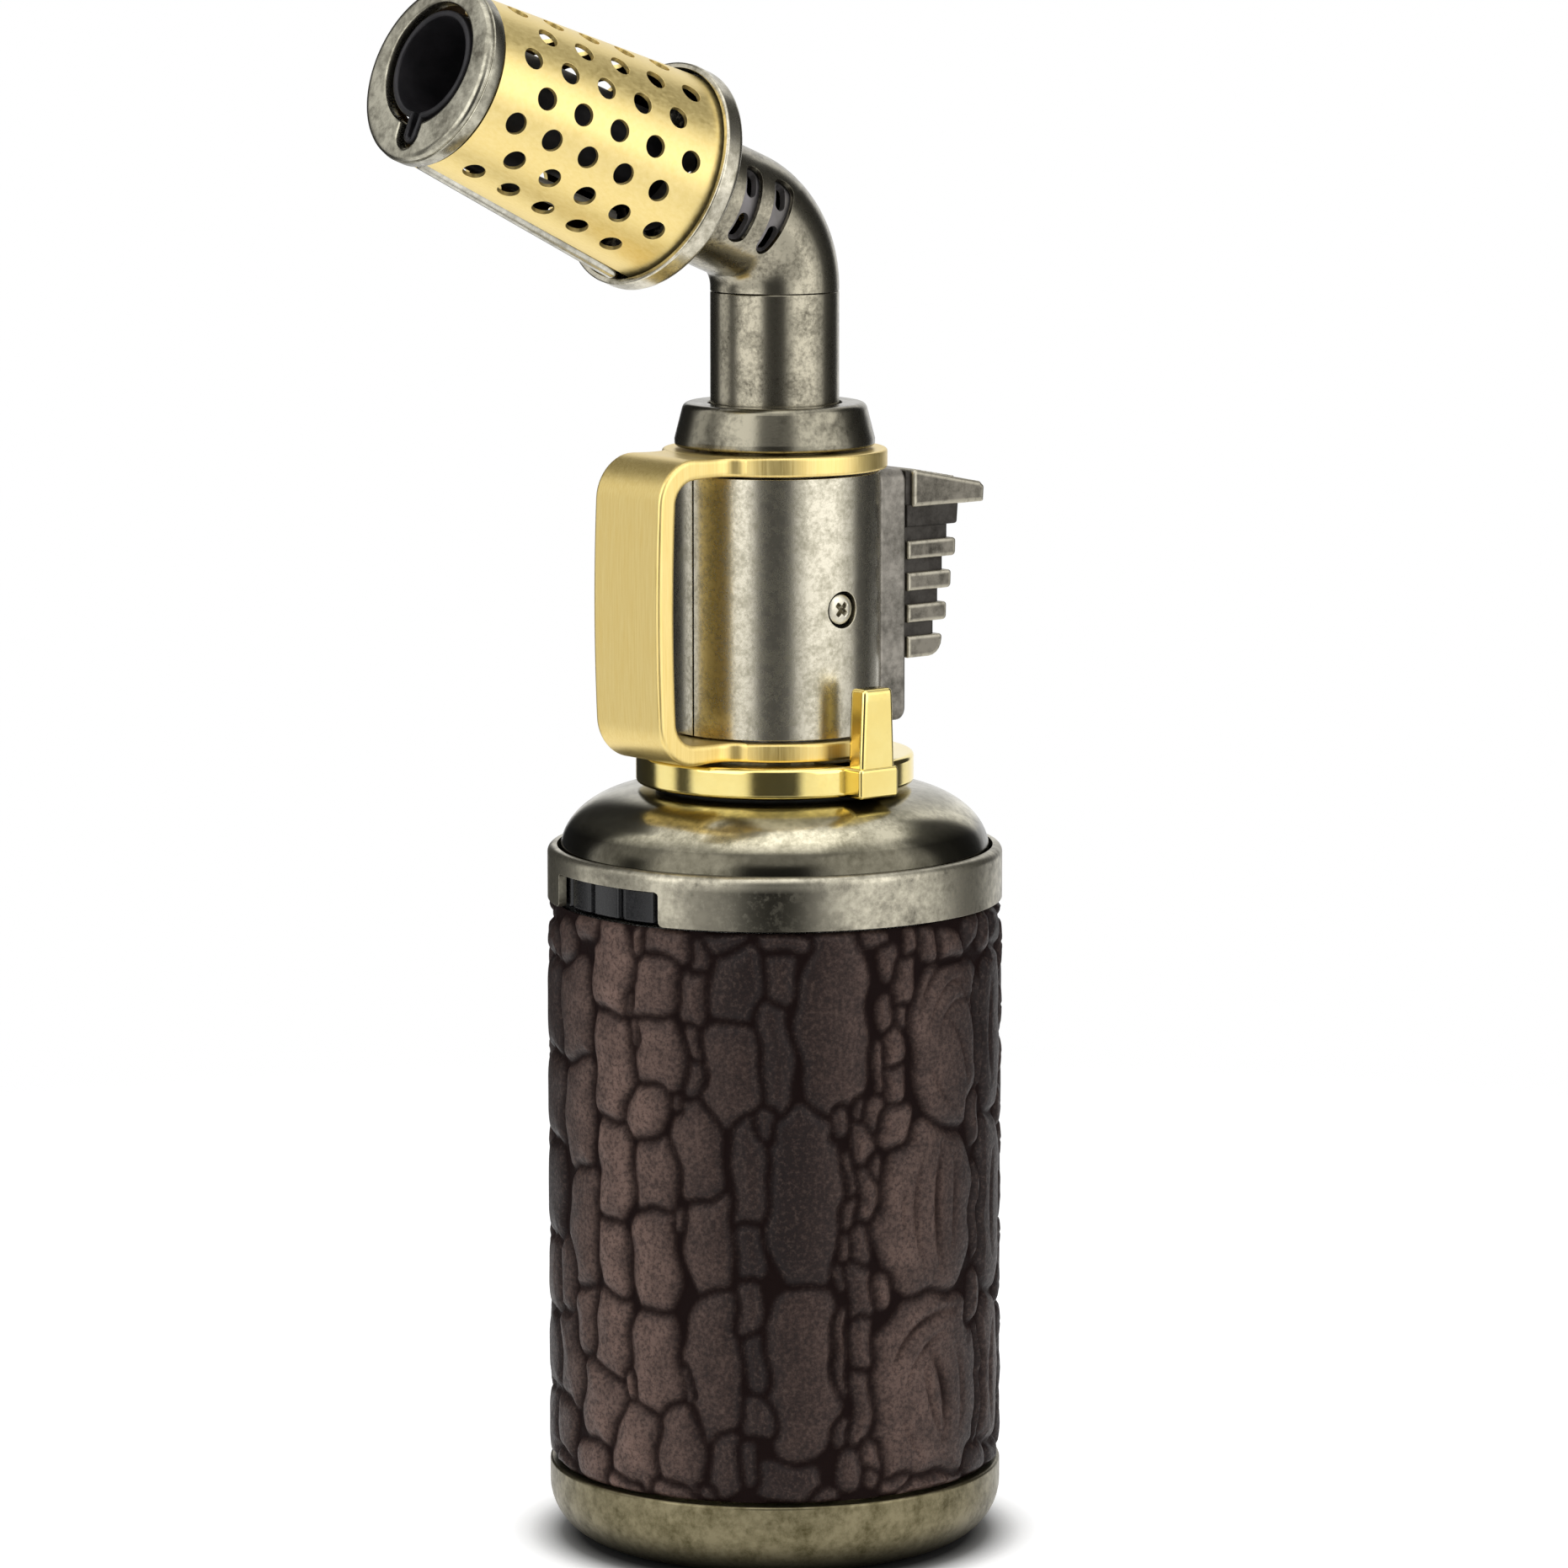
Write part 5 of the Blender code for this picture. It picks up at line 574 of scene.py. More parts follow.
# Scales of the leather on the half that faces +X+Y: along the wrap, height, half width and half height.
# The first rows are small ones that fill the places between the others and along the leather's ends.
SCALES = np.array([
    (-24.5, 69.6, 2.2, 1.3), (-29.6, 67.6, 2.0, 2.2), (0.9, 70.0, 2.4, 0.9), (11.3, 70.0, 1.3, 0.9),
    (26.2, 69.4, 1.7, 1.5), (29.2, 68.4, 1.4, 1.9), (33.2, 69.0, 2.2, 1.8), (26.9, 48.6, 1.1, 2.6),
    (26.8, 28.8, 1.1, 2.6), (27.3, 38.4, 0.8, 5.0), (27.6, 57.6, 0.7, 5.6), (28.0, 19.4, 0.6, 6.0),
    (-1.8, 23.9, 1.1, 3.0), (-2.7, 12.9, 0.9, 2.2), (-31.0, 9.8, 2.3, 0.9), (-23.6, 10.6, 2.6, 2.2),
    (-12.0, 9.3, 2.2, 0.8), (-18.5, 9.4, 2.6, 0.8), (5.2, 9.2, 1.6, 0.7), (19.5, 9.3, 4.6, 0.8),
    (27.6, 10.4, 2.2, 1.6), (33.4, 10.0, 2.4, 1.4), (36.6, 48.6, 1.4, 2.2), (36.4, 28.6, 1.4, 2.2),
    (37.0, 70.2, 1.4, 1.0), (37.7, 65.6, 1.0, 3.0), (37.4, 59.3, 1.2, 2.9), (37.6, 53.6, 1.1, 2.4),
    (37.9, 43.9, 0.9, 2.3), (37.6, 38.6, 1.2, 2.6), (37.8, 33.4, 0.9, 2.0), (37.5, 23.6, 1.2, 2.4),
    (37.2, 18.2, 1.5, 2.5), (37.5, 12.6, 1.1, 2.6),
    (-34.9, 66.7, 4.3, 1.6), (-34.9, 59.9, 4.3, 5.3), (-34.9, 49.7, 4.3, 4.9), (-34.9, 39.4, 4.3, 5.4),
    (-34.9, 29.7, 4.4, 4.1), (-35.1, 21.3, 4.2, 4.2), (-35.9, 13.1, 3.4, 3.8), (-29.7, 30.8, 2.0, 3.8),
    (-28.8, 21.6, 2.8, 5.3), (-30.0, 14.3, 2.5, 3.5), (-27.5, 60.6, 3.5, 5.2), (-26.2, 49.3, 2.8, 5.6),
    (-25.3, 36.8, 2.5, 6.1), (-24.6, 26.2, 2.1, 3.4), (-21.9, 17.8, 3.1, 4.1), (-20.2, 65.9, 2.8, 4.6),
    (-20.0, 55.4, 2.6, 5.5), (-19.7, 43.9, 2.3, 5.2), (-19.9, 34.4, 2.2, 3.9), (-20.2, 25.7, 2.9, 4.3),
    (-16.7, 13.8, 2.8, 4.5), (-12.4, 69.3, 2.5, 1.7), (-13.8, 64.4, 2.6, 3.3), (-13.4, 57.0, 2.7, 3.8),
    (-14.8, 50.8, 2.3, 2.9), (-13.9, 43.9, 2.4, 3.8), (-13.9, 34.5, 2.6, 5.4), (-14.0, 23.4, 2.9, 5.2),
    (-10.4, 14.3, 2.4, 4.5), (-16.3, 69.4, 0.4, 1.4), (-16.9, 62.5, 0.3, 1.0), (-16.6, 59.4, 0.3, 1.2),
    (-11.1, 52.1, 0.4, 0.8), (-10.8, 39.4, 0.4, 1.0), (-17.3, 20.7, 0.5, 1.5), (-9.9, 21.6, 0.3, 1.7),
    (-7.5, 10.0, 0.8, 0.6), (-8.7, 68.3, 0.8, 1.5), (-9.1, 63.8, 1.3, 2.7), (-8.9, 59.0, 0.6, 1.8),
    (-9.1, 54.9, 0.8, 1.8), (-8.5, 47.3, 2.4, 5.2), (-7.2, 37.1, 2.3, 4.9), (-6.8, 23.9, 2.7, 7.9),
    (-5.1, 12.9, 1.5, 3.2), (-5.5, 69.8, 2.1, 0.9), (-4.3, 65.2, 2.5, 3.9), (-5.0, 55.7, 3.0, 5.1),
    (-2.9, 44.6, 1.6, 5.5), (-2.5, 36.1, 1.3, 2.9), (-3.0, 29.9, 1.2, 2.7), (-1.8, 17.9, 1.7, 1.9),
    (0.5, 66.2, 1.4, 2.6), (0.1, 57.6, 1.5, 5.5), (-0.7, 50.1, 0.8, 1.7), (6.6, 61.1, 3.5, 9.3),
    (3.4, 42.3, 3.6, 9.0), (3.0, 23.2, 3.8, 8.7), (1.6, 11.1, 3.3, 1.9), (15.6, 69.2, 0.7, 1.3),
    (18.3, 68.4, 1.2, 1.7), (21.9, 68.3, 2.2, 1.4), (12.9, 67.4, 1.1, 1.9), (14.9, 65.2, 1.3, 2.5),
    (13.0, 61.9, 0.9, 1.8), (15.2, 61.2, 0.5, 1.2), (13.7, 58.3, 1.1, 2.2), (11.7, 55.9, 0.5, 2.7),
    (13.6, 54.3, 1.3, 2.0), (11.7, 51.0, 0.9, 1.7), (14.1, 49.5, 2.0, 2.1), (9.7, 51.3, 0.4, 1.1),
    (7.5, 49.9, 0.8, 1.4), (10.0, 47.6, 1.1, 2.4), (11.3, 45.4, 0.6, 1.3), (8.2, 44.1, 0.4, 2.2),
    (10.3, 42.2, 1.0, 2.8), (8.5, 40.1, 0.6, 1.6), (9.8, 36.8, 0.9, 2.1), (8.0, 36.1, 0.4, 1.3),
    (9.5, 31.6, 1.3, 2.9), (12.0, 31.7, 1.0, 1.6), (7.1, 32.9, 0.4, 1.2), (10.0, 25.8, 1.1, 2.8),
    (9.7, 18.7, 1.0, 4.4), (7.5, 15.9, 0.6, 1.2), (8.6, 11.9, 1.2, 2.0), (11.3, 13.7, 1.1, 1.6),
    (11.1, 11.0, 0.7, 1.0), (14.0, 10.2, 2.1, 0.6), (7.4, 24.7, 0.5, 4.4), (22.4, 57.6, 5.5, 8.2),
    (18.9, 39.6, 6.5, 8.4), (19.3, 19.6, 7.7, 9.7), (32.1, 57.7, 3.6, 8.2), (31.5, 38.5, 4.2, 8.7),
    (31.6, 19.7, 3.4, 7.8)])
FACING = math.radians(50)              # the scales' middle line, from +X towards +Y
HALF_WRAP = math.pi * LEATHER_RADIUS   # the far half of the wrap repeats the near one
LEATHER_COLUMNS, LEATHER_ROWS = 480, 200
GROOVE_RADIUS, SCALE_RISE, SWELL_RISE = 24.1, 0.38, 0.52
GROOVE_SPAN, SWELL_REACH = (0.04, 0.66), 1.2            # mm from the groove's middle: wall, and swell
BIG_SCALE, BIG_SCALE_POWER, SCALE_POWER = 7.5, 2.3, 2.8   # taller scales are rounder, others squarer
SCALE_GROWTH, OUTSIDE = 0.3, 1.15      # mm that each scale gains, and the nearness at which it ends
CREASE_PAINTED_SHADE = 1.7                      # painted shade: how much darker a crease is painted than its depth alone
PALEST_SCALE = 0.16                    # the most that the dye makes one scale paler than the next
# Painted sheen: stripes where the wrap is painted paler for the side lights' sheen: along it from its middle
# line, half width, share.
PAINTED_SHEEN_STRIPES = ((-18.5, 8.5, 0.78), (15, 8, 0.5))
# Creases across the big scales: three points (along the wrap, height) of a curve, half width, depth.
CREASE_STRENGTH, CREASE_WIDTH = 1.9, 1.5
CREASES = np.array([
    (16.9, 60.5, 18.6, 67.6, 24.5, 66.2, 0.30, 0.20), (18.2, 59.0, 20.0, 65.3, 24.4, 64.2, 0.22, 0.14),
    (19.6, 58.0, 21.2, 63.0, 24.6, 62.1, 0.20, 0.12), (22.2, 64.6, 26.0, 62.0, 26.6, 56.5, 0.20, 0.12),
    (20.6, 60.9, 24.2, 58.6, 24.9, 52.6, 0.22, 0.14), (18.6, 56.0, 19.4, 52.8, 22.2, 50.6, 0.22, 0.12),
    (17.4, 45.6, 15.4, 40.0, 17.6, 33.8, 0.26, 0.18), (20.4, 46.6, 19.0, 40.5, 20.2, 33.4, 0.34, 0.24),
    (22.4, 45.4, 22.8, 40.6, 22.0, 35.6, 0.22, 0.16), (15.2, 43.5, 14.4, 40.0, 15.0, 36.4, 0.20, 0.12),
    (13.4, 22.6, 15.6, 28.6, 22.6, 28.2, 0.32, 0.24), (15.0, 20.6, 17.2, 25.2, 20.4, 26.0, 0.22, 0.14),
    (18.2, 24.6, 21.6, 21.0, 20.8, 14.4, 0.34, 0.26), (17.6, 23.6, 18.4, 18.0, 20.4, 14.2, 0.24, 0.18),
    (22.6, 24.2, 24.6, 20.0, 23.4, 15.0, 0.22, 0.14), (14.6, 18.0, 15.2, 14.6, 17.6, 12.4, 0.20, 0.12),
    (31.0, 63.0, 30.2, 58.0, 31.2, 52.0, 0.24, 0.16), (31.6, 44.0, 30.4, 39.0, 31.4, 33.0, 0.24, 0.16),
    (31.8, 25.0, 30.6, 20.0, 31.6, 14.0, 0.24, 0.16)])


def scale_relief(along, height):
    """Relief of the leather. A point's nearness to a scale is its distance from the scale's middle over the
    scale's half sizes. It belongs to the nearest one, and the groove runs where the second nearest is equally
    near: the difference over its slope gives the distance to the groove in mm. Returns the height above the
    groove (0 to 1), the swell towards the scale's middle (0 to 1) and the scale's number."""
    shift = 0.32 * np.sin(height * 0.52 + 1.0) + 0.22 * np.sin(height * 1.05 + along * 0.45)
    swing = 0.32 * np.sin(along * 0.6) + 0.2 * np.sin(along * 1.25 + height * 0.4)
    near = [np.full(along.shape, 9.0) for _ in range(2)]
    slope = [np.zeros(along.shape + (2,)) for _ in range(2)]
    owner = np.zeros(along.shape, int)
    for number, (middle, level, wide, tall) in enumerate(SCALES):
        gap = (along + shift - middle + HALF_WRAP / 2) % HALF_WRAP - HALF_WRAP / 2
        rise = height + swing - level
        power = BIG_SCALE_POWER if tall > BIG_SCALE else SCALE_POWER
        wide, tall = wide + SCALE_GROWTH, tall + SCALE_GROWTH
        across, upwards = np.abs(gap) / wide, np.abs(rise) / tall
        reach = np.maximum((across ** power + upwards ** power) ** (1 / power), 1e-6)
        lean = np.stack([np.sign(gap) * (across / reach) ** (power - 1) / wide,
                         np.sign(rise) * (upwards / reach) ** (power - 1) / tall], -1)
        closer, between = reach < near[0], (reach >= near[0]) & (reach < near[1])
        near[1] = np.where(closer, near[0], np.where(between, reach, near[1]))
        slope[1] = np.where(closer[..., None], slope[0], np.where(between[..., None], lean, slope[1]))
        near[0] = np.where(closer, reach, near[0])
        slope[0] = np.where(closer[..., None], lean, slope[0])
        owner = np.where(closer, number, owner)
    steep = np.linalg.norm(slope[1] - slope[0], axis=-1)
    to_neighbour = (near[1] - near[0]) / np.maximum(steep, 0.05)
    to_outside = (OUTSIDE - near[0]) / np.maximum(np.linalg.norm(slope[0], axis=-1), 0.05)
    margin = np.minimum(to_neighbour, to_outside)
    raised = ramp(margin, *GROOVE_SPAN)
    crown = 1 - np.exp(-np.maximum(margin - 0.1, 0) / SWELL_REACH)
    raised = (2 * raised + np.roll(raised, 1, 0) + np.roll(raised, -1, 0)) / 4
    raised[:, 1:-1] = (2 * raised[:, 1:-1] + raised[:, 2:] + raised[:, :-2]) / 4
    return raised, crown, owner


def crease_depth(along, height):
    """Depth of the creases. Each is a quadratic curve cut into short pieces: a point's distance is that to
    the nearest piece, and the depth falls off with its square, and towards the curve's ends."""
    depth = np.zeros(along.shape)
    share = np.linspace(0, 1, 13)
    for u0, z0, u1, z1, u2, z2, wide, deep in CREASES:
        u, z = ((1 - share) ** 2 * first + 2 * share * (1 - share) * second + share ** 2 * third
                for first, second, third in ((u0, u1, u2), (z0, z1, z2)))
        across = (along - u.mean() + HALF_WRAP / 2) % HALF_WRAP - HALF_WRAP / 2 + u.mean()
        found = np.zeros(along.shape)
        for k in range(len(share) - 1):
            run, climb = u[k + 1] - u[k], z[k + 1] - z[k]
            part = np.clip(((across - u[k]) * run + (height - z[k]) * climb) / (run ** 2 + climb ** 2), 0, 1)
            far = (across - u[k] - part * run) ** 2 + (height - z[k] - part * climb) ** 2
            taper = np.sqrt(np.sin(math.pi * np.clip((k + part) / (len(share) - 1), 0.05, 0.95)))
            found = np.maximum(found, taper * np.exp(-far / (CREASE_WIDTH * wide) ** 2))
        depth += CREASE_STRENGTH * deep * found
    return depth


def make_leather():
    """The wrap as a grid round the body, raised by the scales' relief, with its edges turned in."""
    columns, rows = LEATHER_COLUMNS, LEATHER_ROWS
    angle = round_steps(columns)
    level = np.linspace(LEATHER_LOW, LEATHER_HIGH, rows)
    along = ((angle - FACING) * LEATHER_RADIUS)[:, None] + 0 * level
    height = 0 * along + level
    raised, crown, owner = scale_relief(along, height)
    crease = crease_depth(along, height)
    edge = (ramp(height, LEATHER_LOW - 0.3, LEATHER_LOW + 0.7)
            * ramp(-height, -LEATHER_HIGH - 0.3, -LEATHER_HIGH + 0.7))
    radius = GROOVE_RADIUS + SCALE_RISE * raised + SWELL_RISE * crown * raised - crease * raised
    radius = np.minimum(GROOVE_RADIUS + (radius - GROOVE_RADIUS) * edge, LEATHER_RADIUS)
    outer = polar(radius, angle[:, None], height)
    ends = [polar(LEATHER_RADIUS - LEATHER_WALL, angle, level[k]) for k in (0, -1)]
    points = np.concatenate([ends[0][:, None], outer, ends[1][:, None]], 1)
    piece = new_piece("leather_cover", [(points, grid_faces(columns, rows + 2, True, True))], "torch",
                      leather, ["leather_wrap"], sharp=75)
    tones = np.random.default_rng(7).uniform(0.0, PALEST_SCALE, len(SCALES))
    across = (along + HALF_WRAP / 2) % HALF_WRAP - HALF_WRAP / 2
    # Painted sheen: paler stripes to either side of the wrap's middle line, for the side lights' sheen.
    rubbed = sum(share * np.exp(-((across - middle) / half) ** 2) for middle, half, share in PAINTED_SHEEN_STRIPES)
    spots = np.empty(len(piece.data.vertices) * 3)
    piece.data.vertices.foreach_get("co", spots)
    spots = spots.reshape(-1, 3) / MM
    column = np.round(np.arctan2(spots[:, 1], spots[:, 0]) / math.tau * columns).astype(int) % columns
    row = np.clip(np.round((spots[:, 2] - LEATHER_LOW) / (level[1] - level[0])).astype(int), 0, rows - 1)
    for key, value in (("relief", np.clip(raised - CREASE_PAINTED_SHADE * crease, 0, 1)),
                       ("tone_and_sheen", np.clip(tones[owner] + rubbed, 0, 1)), ("crown", crown * raised)):
        layer = piece.data.attributes.new(key, "FLOAT", "POINT")
        layer.data.foreach_set("value", value[column, row].astype(np.float32))


def make_band():
    """The band as a sheet along its profile, with the window's squares left out and its corners rounded: near
    a corner each row's own angle gives way by a quarter circle's reach."""
    turn, bend_start, bend_radius = np.linspace(0, math.pi / 2, 6), 76.1, 0.8
    levels = (BAND_LOW, 71.25, 71.5, 72.0, 73.0, 74.0, 74.4, 74.65, WINDOW_TOP, 75.2, 75.9, bend_start)
    bend = np.stack([BODY_RADIUS - bend_radius + bend_radius * np.cos(turn),
                     bend_start + bend_radius * np.sin(turn)], -1)[1:]
    profile = np.concatenate([[(BODY_RADIUS, z) for z in levels], bend, [(23.85, BAND_HIGH)]])
    angle = stretches(-WINDOW_HALF, (12, WINDOW_HALF), (168, math.tau - WINDOW_HALF))[:-1]
    radius, height = profile[:, 0][None], profile[:, 1][None]
    low_corner, high_corner = (
        corner - np.sqrt(np.clip(corner ** 2 - np.clip(corner - gap, 0, corner) ** 2, 0, None))
        for corner, gap in ((0.6, height - BAND_LOW), (0.4, WINDOW_TOP - height)))
    shift = np.where(height <= WINDOW_TOP, low_corner - high_corner, 0) / BODY_RADIUS
    turned_to, corner_reach = angle[:, None], 0.04
    far = turned_to > math.pi
    beside = np.abs(turned_to) >= WINDOW_HALF - 1e-6
    near_start = np.clip(1 - (np.abs(turned_to) - WINDOW_HALF) / corner_reach, 0, 1) * beside
    near_end = np.clip(1 - (math.tau - WINDOW_HALF - turned_to) / corner_reach, 0, 1) * far
    bent = turned_to + np.sign(turned_to) * shift * near_start * ~far - shift * near_end
    points = polar(radius, bent, height)
    faces = grid_faces(len(angle), len(profile), True, False).reshape(len(angle), -1, 4)
    front = np.degrees((bent - FACING + math.pi) % math.tau - math.pi)
    patch = np.minimum(np.exp(-(front / 12) ** 2) + 0.5 * np.exp(-((front + 17) / 8) ** 2), 1)
    kept = np.ones(faces.shape[:2], bool)
    kept[:12, :levels.index(WINDOW_TOP)] = False
    new_piece("window_band", [(points, faces[kept])], "torch", band_silver,
              ["shoulder_band"], wall=0.9, bevel=0.12, marks={"patch": patch * ramp(-height, -76.0, -75.2)})


def make_lock_ring():
    """A ring whose outer wall goes in and out: flat ribs, and narrow round-shouldered grooves between."""
    ribs, outside, groove_depth, bore = 30, 23.7, 0.65, 21.9
    low, high = 71.12, 74.68
    angle = round_steps(ribs * 28)
    groove = ramp(np.abs((angle * ribs / math.tau + 0.5) % 1 - 0.5) * 2, 0.82, 0.96)
    radius = outside - groove_depth * groove
    rows = edge_rows(np.stack([radius * np.cos(angle), radius * np.sin(angle)], -1), low, high, 0.25)
    inner = circle(bore, len(angle))
    new_piece("ribbed_lock_ring", [carried(rows + [(inner, high), (inner, low)])], "lock_ring",
              black_abs, ["lock_ring"])


def make_dome():
    """The cap turned from one outline: a quarter ellipse from the rim up to the flat top, hollow below."""
    turn = np.linspace(0, math.pi / 2, 22)
    rim, flat, low = 23.5, 13.5, 76.2
    side = np.stack([flat + (rim - flat) * np.cos(turn), low + (DOME_TOP - low) * np.sin(turn)], -1)
    outline = np.concatenate([
        [(21.6, 69.1), (21.6, 75.9), (rim - 0.1, 76.05)], side,
        [(13.4, DOME_TOP), (13.3, DOME_TOP - 0.02), (13.25, DOME_TOP - 0.12), (13.25, 82.35), (10.5, 82.3),
         (10.3, 82.2), (10.3, 81.1), (13.4, 81.0), (20.3, 76.0), (20.4, 69.1)]])
    new_piece("shoulder_cap", [turned(outline, FINE_STEPS)], "torch", dome_silver,
              ["shoulder_dome"])


# ---------------------------------------------------------------- flame ring and guard
def make_flame_ring():
    """The ring, its ear and the tapering lever on it, whose top is rounded."""
    steps = 360
    bore = circle(NECK_BORE, steps)
    ring = edge_rows(circle(15.2, steps), RING_LOW, RING_HIGH, 0.45) + [(bore, RING_HIGH), (bore, RING_LOW)]
    ear = rounded([(-2.7, 12.0), (2.7, 12.0), (2.7, 17.6), (-2.7, 17.6)], [0.1, 0.1, 0.35, 0.35])
    inside, outside, top_half, corner, top_edge = 15.0, 17.4, 2.05, 0.45, 0.5
    sizes = [(height, half, 0, corner)
             for height, half in ((86.6, 2.35), (87.4, 2.34), (88.5, 2.31), (94.2, 2.08), (95.0, top_half))]
    for step in np.linspace(0, math.pi / 2, 5)[1:]:
        height, drawn_in = 95.1 + top_edge * math.sin(step), 1 - math.cos(step)
        sizes.append((height, top_half, top_edge * drawn_in, corner - 0.4 * drawn_in))
    lever = [(rounded([(-half + inset, inside + inset), (half - inset, inside + inset),
                       (half - inset, outside - inset), (-half + inset, outside - inset)], radius), height)
             for height, half, inset, radius in sizes]
    parts = [carried(ring), capped(stacked(rim_rows(ear, RING_LOW, RING_HIGH, 0.35))), capped(stacked(lever))]
    new_piece("gold_flame_ring", parts, "flame_ring", ring_gold, ["flame_ring"])


def guard_band():
    """The strip and its arms: a rounded rectangle carried along a C-shaped path, wider where it meets the
    rings. The path runs out from the upper ring, down the strip's bow and back in to the lower ring."""
    low, high, reach = GUARD_LOW + 0.02, GUARD_HIGH - 0.03, 20.35
    thick, strip_thick, edge, wide = 2.06, 2.3, 0.45, 5.6
    corner, flare_start, flare_radius = 4.6 - thick / 2, 12.59, 3
    middle_low, middle_high, middle_x = low + thick / 2, high - thick / 2, reach - strip_thick / 2
    turn = np.linspace(0, math.pi / 2, 14)
    x, top, bottom = middle_x - corner, middle_high - corner, middle_low + corner
    arm = np.linspace(9.9, x, 26)
    strip = np.linspace(top, bottom, 24)[1:-1]
    path = np.stack([
        np.concatenate([arm[:-1], x + corner * np.sin(turn), np.full(len(strip), middle_x),
                        x + corner * np.cos(turn), arm[::-1][1:]]),
        np.concatenate([np.full(25, middle_high), top + corner * np.cos(turn), strip,
                        bottom - corner * np.sin(turn), np.full(25, middle_low)])], -1)
    middle = (GUARD_LOW + GUARD_HIGH) / 2
    bow = 0.5 * (1 - ((path[:, 1] - middle) / (middle_high - middle)) ** 2) * ramp(path[:, 0], 14, middle_x)
    path = path + np.stack([bow, 0 * bow], -1)
    run = np.gradient(path, axis=0)
    across = np.stack([run[:, 1], -run[:, 0]], -1)
    across /= np.linalg.norm(across, axis=1, keepdims=True)
    flare = np.clip(flare_start - path[:, 0], 0, 2.9)
    flared = wide + flare_radius - np.sqrt(flare_radius ** 2 - flare ** 2)
    half = np.where(path[:, 0] < flare_start, flared, wide)
    deep = thick / 2 + (strip_thick - thick) / 2 * ramp(path[:, 0], 13, 17)
    arc = np.linspace(0, math.pi / 2, 6)
    round_y, round_d = edge * np.sin(arc) - edge, edge * np.cos(arc) - edge
    round_y = np.concatenate([[round_y[0] - 0.15], round_y, [round_y[-1]]])
    round_d = np.concatenate([[round_d[0]], round_d, [round_d[-1] - 0.15]])
    section = np.concatenate([
        np.stack([side_y * round_y, side_d * round_d, np.full(8, side_y), np.full(8, side_d)])[:, ::order]
        for side_y, side_d, order in ((1, 1, 1), (1, -1, -1), (-1, -1, 1), (-1, 1, -1))], 1)
    y = half[:, None] * section[2] + section[0]
    d = deep[:, None] * section[3] + section[1]
    return capped(np.stack([path[:, 0][:, None] - across[:, 0][:, None] * d, y,
                            path[:, 1][:, None] - across[:, 1][:, None] * d], -1))


def make_guard():
    """The strip and the two rings that it joins."""
    steps = 240
    parts = [guard_band()]
    for low, high, bore in ((GUARD_LOW, GUARD_LOW + 2.0, NECK_BORE),
                            (GUARD_HIGH - 2.1, GUARD_HIGH, TUBE_BORE)):
        opening = circle(bore, steps)
        rows = edge_rows(circle(12.25, steps), low, high, 0.3) + [(opening, high), (opening, low)]
        parts.append(carried(rows))
    new_piece("finger_guard", parts, "torch", guard_brass, ["guard_bracket"])


# ---------------------------------------------------------------- housing, plate, slide, screws
def make_housing():
    """Two half shells with a screw's recess each; the seam lies at +X and the plate closes them at -X."""
    border, middle = 3.4, math.pi / 2      # half a block of squares round a screw, and a screw's angle
    half = border / HOUSING_RADIUS
    across = stretches(math.asin(SEAM_HALF / HOUSING_RADIUS), (29, middle - half), (16, middle + half),
                       (21, math.pi - math.asin(PLATE_HALF / HOUSING_RADIUS)))
    along = stretches(HOUSING_LOW, (1, HOUSING_LOW + 0.4), (1, HOUSING_LOW + 1), (7, SCREW_HEIGHT - border),
                      (16, SCREW_HEIGHT + border), (7, HOUSING_HIGH - 1), (1, HOUSING_HIGH - 0.4),
                      (1, HOUSING_HIGH))
    holes = [((29, 45, 9, 25), (middle, SCREW_HEIGHT), oval_rim(2.0, 2.0, HOUSING_RADIUS))]
    seat = rounded([(0.9, 0), (2.02, 0), (2.02, -0.78), (2.25, -0.78), (2.25, 0.5), (0.9, 0.5)], 0.04,
                   2, 0.01)
    for name, side in (("left", 1), ("right", -1)):
        def shell(angle, height):
            return upright(HOUSING_RADIUS * np.cos(angle), side * HOUSING_RADIUS * np.sin(angle), height)

        def sunk(x, y, depth):
            return upright(x, side * (HOUSING_RADIUS - 1.15 - depth), SCREW_HEIGHT + y)

        def proud(x, y, height):
            return upright(x, side * (HOUSING_RADIUS - 1.0 + height), SCREW_HEIGHT + y)

        new_piece(f"igniter_housing_{name}", pierced(across, along, holes, shell), "torch",
                  antique_silver, [f"housing_{name}"], wall=HOUSING_WALL, bevel=0.22)
        new_piece(f"screw_boss_{name}", [turned(seat, 96, sunk)], "torch", recess_patina_and_shade)
        make_screw(f"cross_screw_{name}", f"housing_screw_{name}", proud, 3.2)


